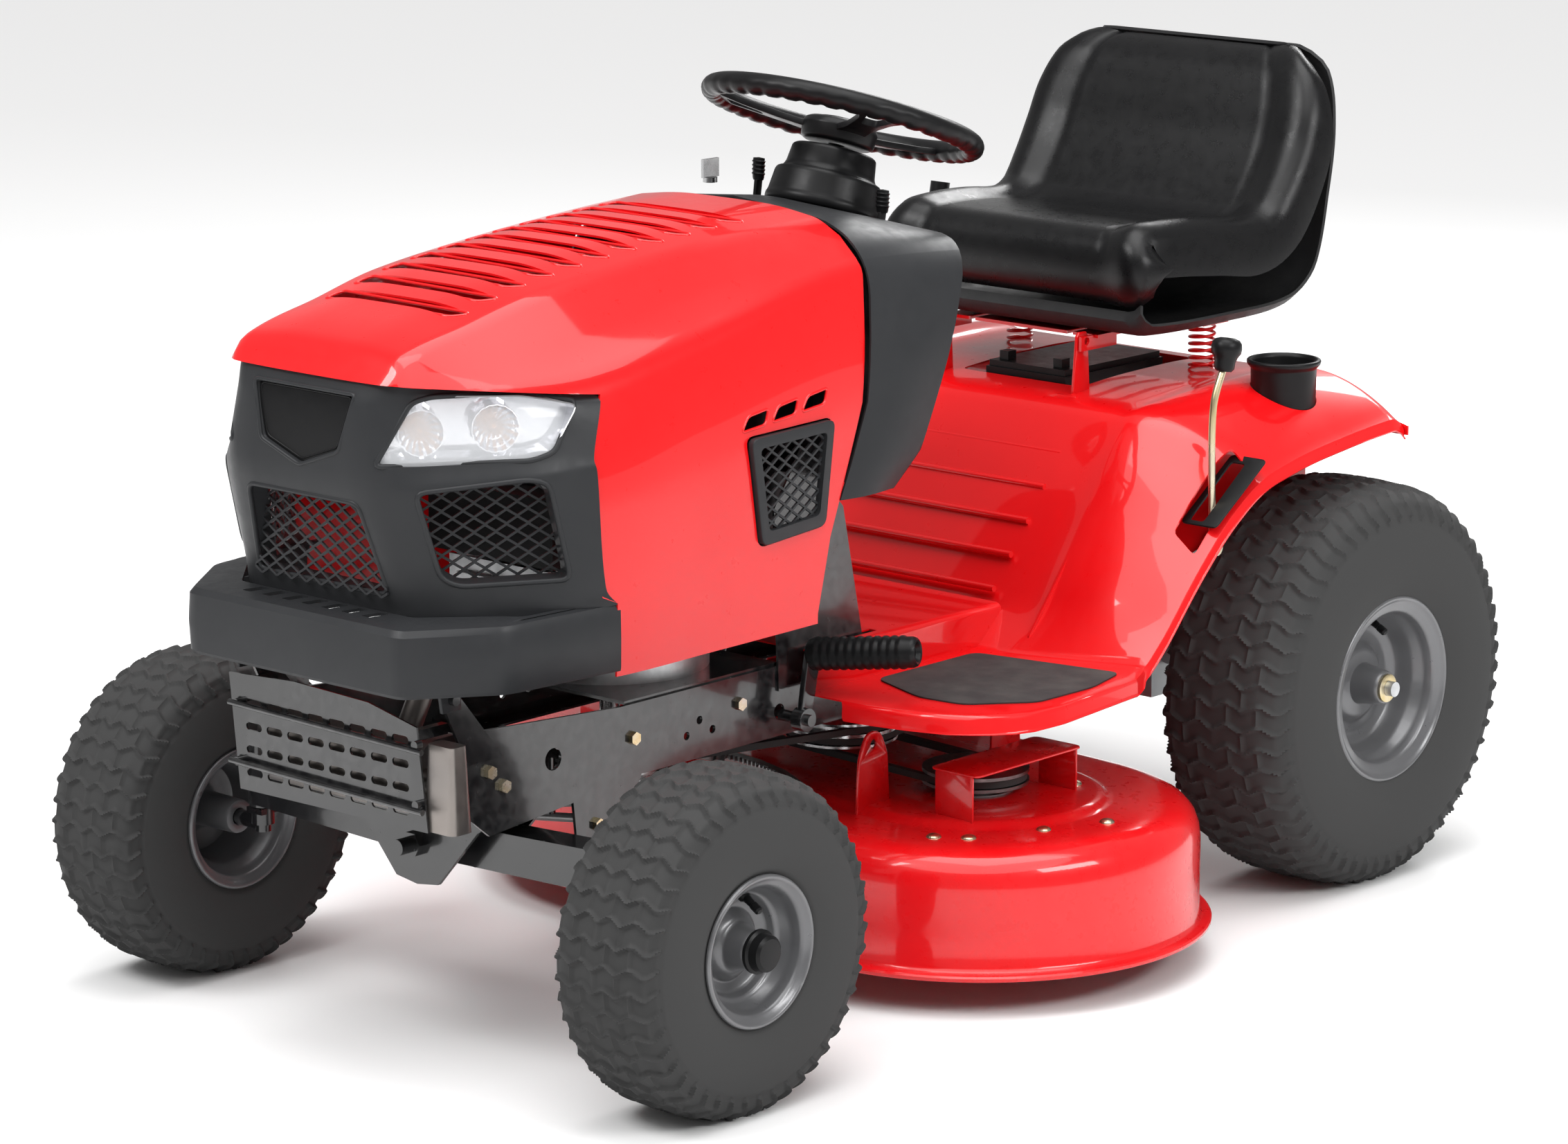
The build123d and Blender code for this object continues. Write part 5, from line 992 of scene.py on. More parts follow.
    def vent(self, side: int) -> None:
        """The dark mesh vent let into one side of the hood."""
        outline = rounded_loop([(-994, 694), (-852, 698), (-868, 576), (-976, 568)], 11, 4)
        inner = rounded_loop([(-980, 682), (-866, 685), (-879, 590), (-965, 584)], 7, 4)
        hand = "left" if side > 0 else "right"
        origin = X_AXIS * side * 0.2585
        ring = plate(f"side_vent_frame_{hand}", scaled(outline), 0.009, tuple(origin - X_AXIS * 0.0045),
                     (0, 1, 0),
                     (0, 0, 1), bevel=0.0015)
        cut(ring, [prism(scaled(inner), origin, Y_AXIS, Z_AXIS, 0.05)])
        soften(ring)
        mesh = lattice(f"side_vent_mesh_{hand}", scaled(inner), origin - X_AXIS * side * 0.002, Y_AXIS,
                       Z_AXIS, 0.0030,
                       (0.023, 0.0165), 0.0031)
        vent = joined(f"side_vent_{hand}", [ring, mesh])
        dress(vent, GREY, "hood")
        if side > 0:
            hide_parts("side_vents")


def lattice(name: str, outline: Sequence[Flat], origin: Vector, across: Vector, up: Vector, depth: float,
            pitch: Flat, bar: float) -> bpy.types.Object:
    """A diamond mesh of crossing bars, trimmed to an outline.

    Args:
        name: The new piece's name.
        outline: The opening that the mesh fills, in its plane, in metres.
        origin: The plane's origin.
        across: The plane's first axis.
        up: The plane's second axis.
        depth: The bars' depth.
        pitch: Width and height of one diamond.
        bar: The bars' width.

    Returns:
        The mesh piece.
    """
    low = np.min(outline, axis=0) - np.array(pitch)
    high = np.max(outline, axis=0) + np.array(pitch)
    panel = plate(name, list(outline), depth, tuple(origin - across.cross(up) * depth / 2), tuple(across),
                  tuple(up))
    half_a, half_b = pitch[0] / 2 - bar * 0.62, pitch[1] / 2 - bar * 0.62
    tools = []
    rows = int((high[1] - low[1]) / pitch[1] * 2)
    columns = int((high[0] - low[0]) / pitch[0])
    for row in range(rows + 1):
        for column in range(columns + 1):
            a = low[0] + (column + 0.5 * (row % 2)) * pitch[0]
            b = low[1] + row * pitch[1] / 2
            tools.append([(a - half_a, b), (a, b - half_b), (a + half_a, b), (a, b + half_b)])
    cutters = diamonds(tools, origin, across, up, depth * 2)
    modify(panel, "BOOLEAN", operation="DIFFERENCE", solver="EXACT", object=cutters)
    bpy.data.objects.remove(cutters)
    return panel


def diamonds(outlines: Sequence[Sequence[Flat]], origin: Vector, across: Vector, up: Vector,
             depth: float) -> bpy.types.Object:
    """Many small four-cornered prisms in one mesh, copied from one cube primitive."""
    first = primitive("cube", "diamond", size=1.0)
    corners = np.array([vertex.co for vertex in first.data.vertices])
    faces = [tuple(face.vertices) for face in first.data.polygons]
    normal = across.cross(up)
    points, sides = [], []
    for outline in outlines:
        offset = len(points)
        ring = [origin + across * a + up * b for a, b in outline]
        for x, y, z in corners:
            index = {(-1, -1): 0, (1, -1): 1, (1, 1): 2, (-1, 1): 3}[(int(np.sign(x)), int(np.sign(y)))]
            points.append(ring[index] + normal * (depth * float(np.sign(z))))
        sides += [tuple(offset + corner for corner in face) for face in faces]
    mesh = bpy.data.meshes.new("diamonds")
    mesh.from_pydata([tuple(point) for point in points], [], sides)
    first.data = mesh
    weld(first)
    return first


@dataclass
class Nose:
    """The grey nose moulding with its lamps, grilles, badge and bumper."""

    wall: float = 3.5
    slant_middle: Flat = (168.0, -1350.0)
    slant_normal: Flat = (0.81, -0.586)

    def levels(self) -> tuple[tuple[float, ...], list[list[Solid]]]:
        """Half plans of the nose at rising levels, centre to rear corner, in mm."""
        shares = (0.0, 0.1, 0.55, 0.67, 0.88, 1.0)
        plans = [
            [(0, -1406, 536), (100, -1406, 536), (128, -1402, 536), (170, -1370, 536), (236, -1262, 536),
             (252, -1203, 538)],
            [(0, -1411, 560), (100, -1411, 560), (128, -1407, 560), (168, -1374, 560), (237, -1262, 560),
             (252, -1222, 560)],
            [(0, -1442, 672), (85, -1442, 672), (114, -1438, 674), (153, -1416, 680), (227, -1294, 686),
             (248, -1230, 690)],
            [(0, -1444, 704), (88, -1444, 704), (118, -1439, 706), (150, -1408, 708), (220, -1290, 710),
             (244, -1231, 708)],
            [(0, -1438, 770), (84, -1438, 770), (114, -1430, 770), (142, -1396, 772), (206, -1278, 769),
             (233, -1209, 763)],
            [(0, -1427, 799), (84, -1427, 798), (122, -1421, 796), (140, -1386, 791), (190, -1268, 779),
             (221, -1203, 770)],
        ]
        return shares, plans

    def skin(self) -> bpy.types.Object:
        """The nose's outer skin with its thickness."""
        shares, plans = self.levels()
        table_of_plans = np.array(plans, float)
        rows = []
        for step in range(49):
            plan = smooth_through(shares, table_of_plans, step / 48)
            flat = rounded([tuple(point[:2]) for point in plan], [30, 20, 22, 60], 6)
            run = np.concatenate([[0], np.cumsum(np.hypot(*np.diff(plan[:, :2], axis=0).T))])
            walk = np.concatenate([[0], np.cumsum(np.hypot(*np.diff(np.array(flat), axis=0).T))])
            heights = np.interp(walk / walk[-1] * run[-1], run, plan[:, 2])
            half = [(x, y, z) for (x, y), z in zip(flat, heights)]
            rows.append([(-x, y, z) for x, y, z in reversed(half[1:])] + half)
        piece = lofted("nose_moulding", np.array(rows) * MM)
        modify(piece, "SOLIDIFY", thickness=self.wall * MM, offset=-1.0, use_even_offset=True)
        return piece

    def slant(self, side: int, out: float = 0.0) -> tuple[Vector, Vector, Vector]:
        """Origin, backward axis and upward axis of the plane of one slanted face."""
        normal = Vector((side * self.slant_normal[0], self.slant_normal[1], 0))
        origin = Vector((side * self.slant_middle[0], self.slant_middle[1], 0)) * MM + normal * out
        return origin, Vector((side * 0.586, 0.81, 0)), Z_AXIS

    def build(self) -> None:
        """Mould the nose, cut its openings and fill them."""
        lens = [(-104, 710), (-62, 778), (-40, 783), (62, 780), (124, 768), (96, 716), (70, 709)]
        grille = [(-62, 682), (66, 690), (88, 684), (112, 574), (-14, 574), (-34, 584)]
        centre = [(-104, 562), (-88, 666), (88, 666), (104, 562)]
        badge = [(0, 698), (62, 720), (80, 784), (-80, 784), (-62, 720)]
        piece = self.skin()
        whole = copied(piece, "whole", Matrix())
        front = Vector((0, -1.5, 0))
        tools, rims = [], []
        outlines = {"lens": (lens, 9), "grille": (grille, 12)}
        for side in (1, -1):
            origin, back, up = self.slant(side)
            into = Vector((-side * self.slant_normal[0], -self.slant_normal[1], 0))
            for name, (outline, radius) in outlines.items():
                loop = scaled(rounded_loop(outline, radius, 4))
                tools.append(prism(loop, origin, back, up, 0.07))
                rims.append(self.collar(f"{name}_collar",
                                        traced(whole, loop, origin - into * 0.3, back, up, into), into,
                                        0.0032, 0.022))
        loop = scaled(rounded_loop(centre, 12, 4))
        tools.append(prism(loop, front + Y_AXIS * 0.08, X_AXIS, Z_AXIS, 0.06))
        rims.append(self.collar("centre_collar", traced(whole, loop, front, X_AXIS, Z_AXIS, Y_AXIS),
                                Y_AXIS, 0.0032,
                                0.022))
        badge_loop = scaled(rounded_loop(badge, 6, 3))
        tools.append(prism(badge_loop, front + Y_AXIS * 0.07, X_AXIS, Z_AXIS, 0.06))
        rims.append(self.collar("badge_collar", traced(whole, badge_loop, front, X_AXIS, Z_AXIS, Y_AXIS),
                                Y_AXIS, 0.0026,
                                0.008))
        cut(piece, tools)
        soften(piece, 30)
        nose = joined("nose_fascia", [piece, *rims])
        dress(nose, GREY, "hood")
        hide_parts("front_fascia")
        self.badge(whole, badge_loop, front)
        for side in (1, -1):
            self.lamp(side, whole, lens)
        self.grilles(grille, centre)
        bpy.data.objects.remove(whole)
        self.bumper()

    def collar(self, name: str, loop: Sequence[Solid], into: Vector, radius: float,
               depth: float) -> bpy.types.Object:
        """A rounded rim round an opening with a wall that runs back from it."""
        rim = rod(name, [tuple(Vector(spot) + into * 0.0012) for spot in loop], radius, smooth=False,
                  closed=True,
                  sides=3)
        spots = np.array(list(loop) + [loop[0]])
        middle = spots.mean(axis=0)
        rows = [spots, spots + np.array(into) * depth]
        rows[1] = rows[1] + (middle + np.array(into) * depth - rows[1]) * 0.06
        wall = lofted(name, np.array(rows))
        modify(wall, "SOLIDIFY", thickness=0.002, offset=0.0)
        return joined(name, [rim, wall])

    def badge(self, whole: bpy.types.Object, loop: Sequence[Flat], front: Vector) -> None:
        """The plain badge plate with a raised border."""
        plain = copied(whole, "badge", Matrix.Translation((0, 0.005, 0)))
        keep = prism([(a * 1.01, b) for a, b in loop], front + Y_AXIS * 0.07, X_AXIS, Z_AXIS, 0.06)
        modify(plain, "BOOLEAN", operation="INTERSECT", solver="EXACT", object=keep)
        bpy.data.objects.remove(keep)
        inner = [((a * 0.9), 0.750 + (b - 0.750) * 0.88) for a, b in loop]
        border = rod("border", traced(plain, inner, front, X_AXIS, Z_AXIS, Y_AXIS), 0.0011, smooth=False,
                     closed=True,
                     sides=2)
        soften(plain, 30)
        plate_piece = joined("nose_badge", [plain, border])
        dress(plate_piece, BLACK, "hood")
        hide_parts("badge_plate")

    def lamp(self, side: int, whole: bpy.types.Object, outline: Sequence[Flat]) -> None:
        """One headlight: clear lens, faceted reflector bowls and amber bulbs."""
        hand = "left" if side > 0 else "right"
        origin, back, up = self.slant(side)
        into = Vector((-side * self.slant_normal[0], -self.slant_normal[1], 0))
        lens = copied(whole, f"headlight_lens_{hand}", Matrix.Translation(into * 0.003))
        keep = prism(scaled(rounded_loop(outline, 9, 4)), origin, back, up, 0.07)
        modify(lens, "BOOLEAN", operation="INTERSECT", solver="EXACT", object=keep)
        bpy.data.objects.remove(keep)
        soften(lens, 30)
        dress(lens, LENS, "hood")
        bowls, bulbs = [], []
        depth = 0.036
        rear = [(a * 0.9, 744 + (b - 744) * 0.84) for a, b in outline]
        ring = np.array([tuple(origin + back * a + up * b) for a, b in scaled(rounded_loop(outline, 9, 3))])
        deep = np.array([tuple(origin + back * a + up * b + into * depth) for a,
                         b in scaled(rounded_loop(rear, 9, 3))])
        steps = [ring * (1 - s) + deep * s for s in np.linspace(0.12, 1, 5)]
        end = np.repeat(deep.mean(axis=0)[None], len(deep), axis=0)
        table = np.array(steps + [end])
        table = np.concatenate([table, table[:, :1]], axis=1)
        shell = lofted("shell", table)
        modify(shell, "SOLIDIFY", thickness=0.0015, offset=0.0)
        bowls.append(shell)
        for a, b, size in ((-50, 742, 26), (32, 744, 27)):
            centre = origin + back * a * MM + up * b * MM + into * 0.034
            profile = [(0.0, 4), (10, size * 0.62), (20, size * 0.88), (28, size), (28, size - 1.2),
                       (20, size * 0.88 - 1.2),
                       (10, size * 0.62 - 1.2), (1.2, 4)]
            bowl = turned("bowl", [(x * MM, r * MM) for x, r in profile], tuple(centre), tuple(-into), 18)
            choose(bowl)
            bpy.ops.object.shade_flat()
            bowls.append(bowl)
            bulb = [(0, 0), (0, 5), (4, 5), (5, 3.4), (13, 3.4), (16, 2.2), (17, 0)]
            bulbs.append(turned("bulb", [(x * MM, r * MM) for x, r in bulb], tuple(centre), tuple(-into),
                                16))
        reflector = joined(f"headlight_reflector_{hand}", bowls)
        dress(reflector, CHROME, "hood")
        bulb = joined(f"headlight_bulbs_{hand}", bulbs)
        dress(bulb, AMBER, "hood")
        if side > 0:
            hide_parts("headlight_lenses")
            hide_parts("headlight_reflectors")

    def grilles(self, grille: Sequence[Flat], centre: Sequence[Flat]) -> None:
        """The three mesh panels behind the nose's openings."""
        parts = [lattice("grille", scaled([(a * 1.03, b + (4 if b > 600 else -4)) for a, b in centre]),
                         Vector((0, -1.414, 0)), X_AXIS, Z_AXIS, 0.003, (0.024, 0.0165), 0.0032)]
        for side in (1, -1):
            origin, back, up = self.slant(side, -0.016)
            parts.append(lattice("grille", scaled([(a * 1.03, b + (4 if b > 600 else -4)) for a,
                                                   b in grille]), origin,
                                 back, up, 0.003, (0.024, 0.0165), 0.0032))
        mesh = joined("nose_grille_mesh", parts)
        dress(mesh, GREY, "hood")
        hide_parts("front_grilles")

    def bumper(self) -> None:
        """The bumper moulding round the nose, with its ledge and the hinge ears."""
        plan = [(0, -1460), (160, -1460), (172, -1457), (236, -1366), (240, -1350), (253, -1200)]
        rows = []
        for z, push, in ((462, -9), (462, -3), (466, 0), (500, 1.5), (531, 0), (538, -5), (539.5, -16)):
            flat = rounded([(x + (push * 0.7 if x > 100 else 0), y - push * (1 if x < 200 else 0.4)) for x,
                            y in plan],
                           [30, 12, 12, 40], 4)
            rows.append([(-x, y, z) for x, y in reversed(flat[1:])] + [(x, y, z) for x, y in flat])
        for back, z in ((30, 540.5), (52, 541)):
            flat = rounded([(0, -1460 + back), (max(160 - 0.5 * back, 20), -1460 + back),
                            (172 - back * 0.6, -1457 + back),
                            (236 - back * 0.55, -1366 + back * 0.6), (240 - back * 0.3, -1350 + back * 0.5),
                            (253 - 0.4 * back, -1200)], [30, 12, 12, 40], 4)
            rows.append([(-x, y, z) for x, y in reversed(flat[1:])] + [(x, y, z) for x, y in flat])
        piece = lofted("bumper_moulding", np.array(rows) * MM)
        modify(piece, "SOLIDIFY", thickness=0.0035, offset=-1.0)
        slots = []
        for count in range(7):
            x = -96 + 32 * count
            slots.append(prism(scaled(rounded_loop([(x - 11, -1436), (x + 3, -1436), (x + 11, -1412),
                                                    (x - 3, -1412)], 3, 3)),
                               Z_AXIS * 0.54, X_AXIS, Y_AXIS, 0.012))
        cut(piece, slots)
        soften(piece, 32)
        ears = []
        for side in (1, -1):
            ear = [(-1392, 434), (-1364, 434), (-1356, 537), (-1408, 537)]
            arm = plate("ear", scaled(ear), 0.005, (side * 0.164 - 0.0025, 0, 0), (0, 1, 0), (0, 0, 1),
                        bevel=0.001)
            ears.append(arm)
        moulding = joined("front_bumper", [piece, *ears])
        dress(moulding, GREY, "hood")
        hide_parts("bumper")


# ---------------------------------------------------------------- dash and steering
def capped(name: str, loops: Sequence[Sequence[Solid]]) -> bpy.types.Object:
    """Loft closed loops and close both ends to their middles.

    Args:
        name: The new piece's name.
        loops: Rings of points in metres, all with the same count.

    Returns:
        The closed piece.
    """
    table = np.array(loops, float)
    first = np.repeat(table[:1].mean(axis=1, keepdims=True), table.shape[1], axis=1)
    last = np.repeat(table[-1:].mean(axis=1, keepdims=True), table.shape[1], axis=1)
    table = np.concatenate([first, table, last])
    table = np.concatenate([table, table[:, :1]], axis=1)
    return lofted(name, table, closed=True)


@dataclass
class Dash:
    """The dark dash that wraps behind the hood, with its cover, collar and small controls."""

    levels: tuple[float, ...] = (600, 640, 709, 765, 850, 885, 905, 918)
    steps: int = 26

    def panel(self) -> bpy.types.Object:
        """The wings and the back as one skin."""
        front = [(-838, 258), (-820, 259), (-790, 258), (-782, 256), (-763, 237), (-754, 205), (-742, 150),
                 (-738, 0)]
        rear = [(-741, 256), (-700, 262), (-668, 263), (-640, 260), (-592, 236), (-570, 200), (-560, 140),
                (-556, 0)]
        drop = (0, 0, 0, 0, 6, 14, 32, 42)
        rows = []
        for step in range(self.steps + 1):
            share = step / self.steps
            swell = 7 * math.sin(math.pi * share) * (1 - share * 0.3)
            points = []
            for (y0, x0), (y1, x1), z, fall in zip(front, rear, self.levels, drop):
                x = x0 + (x1 - x0) * share + (swell if z < 800 else swell * 0.6)
                points.append((x if x0 else 0, y0 + (y1 - y0) * share, z - fall * share ** 1.6))
            rows.append(self.rounded_row(points))
        last = rows[-1]
        for shrink, out in ((0.985, 2.5), (0.955, 3), (0.9, 0.5), (0.6, -2), (0.3, -3), (0.02, -3)):
            rows.append([(x * shrink, y + out, z - (2 if shrink > 0.9 else 4)) for x, y, z in last])
        piece = lofted("dash_moulding", np.array(rows)[:, ::-1] * MM)
        modify(piece, "SOLIDIFY", thickness=0.003, offset=-1.0)
        return piece

    def rounded_row(self, points: Sequence[Solid]) -> list[Solid]:
        """One row of the skin from its half, rounded at the shoulder and mirrored."""
        outline = rounded([(x, z) for x, _, z in points], [20, 20, 30, 40, 24, 30], 4)
        depths = np.interp([z for _, z in outline], [z for _, _, z in points], [y for _, y, _ in points])
        half = [(x, y, z) for (x, z), y in zip(outline, depths)]
        return half + [(-x, y, z) for x, y, z in reversed(half[:-1])]

    def build(self) -> None:
        """Mould the dash and set its controls into it."""
        piece = self.panel()
        tools = []
        for x in (-100, 100):
            slot = rounded_loop([(x - 9, -622), (x + 9, -622), (x + 9, -556), (x - 9, -556)], 7, 4)
            tools.append(prism(scaled(slot), Z_AXIS * 0.9, X_AXIS, Y_AXIS, 0.06))
        cut(piece, tools)
        soften(piece, 40)
        cover_low, cover_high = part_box("dash_panel")[0].z + 0.002, 0.86
        loops = []
        for share in np.linspace(0, 1, 14):
            z = cover_low + (cover_high - cover_low) * share
            rear = -0.704 + (0.148 * share ** 1.1)
            front = rear - 0.088 - 0.02 * (1 - share)
            half = 0.075 - 0.006 * math.sin(math.pi * share)
            outline = rounded_loop([(-half, front), (half, front), (half, rear), (-half, rear)], 0.022, 5)
            loops.append([(x, y, z) for x, y in outline])
        cover = capped("shaft_cover", loops)
        soften(cover)
        whole = joined("dash_and_shaft_cover", [piece, cover])
        dress(whole, GREY, "chassis")
        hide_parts("dash_panel")
        self.collar()
        self.levers()

    def collar(self) -> None:
        """The two-step collar round the steering shaft."""
        tilt = math.radians(19.9)
        up = Vector((0, math.sin(tilt), math.cos(tilt)))
        base = Vector((0, -0.542, 0.991)) - up * 0.118
        profile = [(0, 12), (0, 68), (4, 71), (10, 71), (14, 69), (40, 66), (44, 64), (46, 58), (52, 55),
                   (74, 52), (77, 48),
                   (77, 12)]
        piece = turned("steering_collar", scaled(rounded_loop(profile, 2.0, 2)), tuple(base), tuple(up), 64)
        dress(piece, BLACK, "chassis")
        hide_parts("steering_column")

    def levers(self) -> None:
        """The throttle and the blade lever with ribbed grips."""
        for node, body, x, reach in (("throttle_lever", "throttle", 0.1, 0.042),
                                     ("blade_lever", "blade_control", -0.1, 0.062)):
            pivot = Vector((x, -0.592, 0.850))
            arm = plate("arm", [(-0.005, 0), (0.005, 0), (0.014, reach), (0.003, reach)], 0.005,
                        (x - 0.0025, pivot.y, pivot.z), (0, 1, 0), (0, 0, 1), bevel=0.001)
            boss = turned("boss", scaled([(-5, 3), (-5, 9), (5, 9), (5, 3)]), tuple(pivot), (1, 0, 0), 28)
            profile = [(0, 0), (0, 7), (3, 8)]
            for rib in range(4):
                profile += [(6 + 5 * rib, 8.2), (8 + 5 * rib, 9.6), (9.5 + 5 * rib, 8.2)]
            profile += [(27, 8), (28, 0)]
            grip = turned("grip", scaled(profile), (x, pivot.y + 0.008, pivot.z + reach - 0.002),
                          (0, 0.08, 1), 32)
            for vertex in grip.data.vertices:
                vertex.co.y = pivot.y + 0.008 + (vertex.co.y - pivot.y - 0.008) * 0.72
            whole = joined(f"{node}_ribbed", [arm, boss, grip])
            dress(whole, BLACK, body)
            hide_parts(node)


@dataclass
class Steering:
    """The steering wheel: a ring with finger grips, dished spokes and a plain hub."""

    radius: float = 0.162
    tube: float = 0.0135
    centre: Solid = (0, -0.542, 0.991)
    tilt: float = 19.9
    grips: int = 40

    def build(self) -> None:
        """Build the wheel flat, tilt it, and dress it."""
        ring = primitive("torus", "ring", major_segments=320, minor_segments=20, major_radius=self.radius,
                         minor_radius=self.tube)
        for vertex in ring.data.vertices:
            turn = math.atan2(vertex.co.y, vertex.co.x)
            flat = math.hypot(vertex.co.x, vertex.co.y) - self.radius
            under = max(0.0, 0.25 - vertex.co.z / self.tube)
            grow = 1 + 0.10 * under * math.cos(self.grips * turn) * (1 if abs(math.sin(turn * 1.5)) > 0.12
                                                                     else 0.2)
            reach = self.radius + flat * min(grow, 1.03)
            vertex.co = (reach * math.cos(turn), reach * math.sin(turn), vertex.co.z * min(grow, 1.03))
        parts = [ring]
        hub = [(-34, 9.7), (-34, 40), (-31, 45), (-14, 47), (-8, 44), (-5, 38), (-4.5, 30), (-3, 28),
               (-2, 22), (-2, 0.0),
               (-10, 0.0), (-10, 9.7)]
        parts.append(turned("hub", scaled(rounded_loop(hub, 1.5, 2)), (0, 0, 0), (0, 0, 1), 56))
        for degrees in (-30, 90, 210):
            spoke = self.spoke()
            spoke.data.transform(Matrix.Rotation(math.radians(degrees), 4, "Z"))
            parts.append(spoke)
        wheel = joined("steering_wheel_with_grips", parts)
        wheel.data.transform(Matrix.Translation(self.centre) @ Matrix.Rotation(-math.radians(self.tilt), 4,
                                                                               "X"))
        soften(wheel, 40)
        dress(wheel, BLACK, "steering")
        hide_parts("steering_wheel")

    def spoke(self) -> bpy.types.Object:
        """One dished spoke with a window, pointing along +X."""
        outline = [(0.030, -0.020), (0.070, -0.0165), (0.120, -0.021), (0.156, -0.036), (0.156, 0.036),
                   (0.120, 0.021),
                   (0.070, 0.0165), (0.030, 0.020)]
        piece = plate("spoke", rounded_loop(outline, 0.006, 3), 0.008, (0, 0, -0.004), (1, 0, 0),
                      (0, 1, 0), bevel=0.0025)
        window = plate("window", rounded_loop([(0.098, -0.009), (0.142, -0.019), (0.142, 0.019),
                                               (0.098, 0.009)], 0.006, 4),
                       0.03, (0, 0, -0.015), (1, 0, 0), (0, 1, 0))
        cut(piece, [window])
        choose(piece)
        bpy.ops.object.mode_set(mode="EDIT")
        bpy.ops.mesh.select_all(action="SELECT")
        bpy.ops.mesh.normals_make_consistent(inside=False)
        bpy.ops.object.mode_set(mode="OBJECT")
        for vertex in piece.data.vertices:
            vertex.co.z -= 0.022 * max(0.0, 1 - vertex.co.x / self.radius) ** 0.8
        return piece


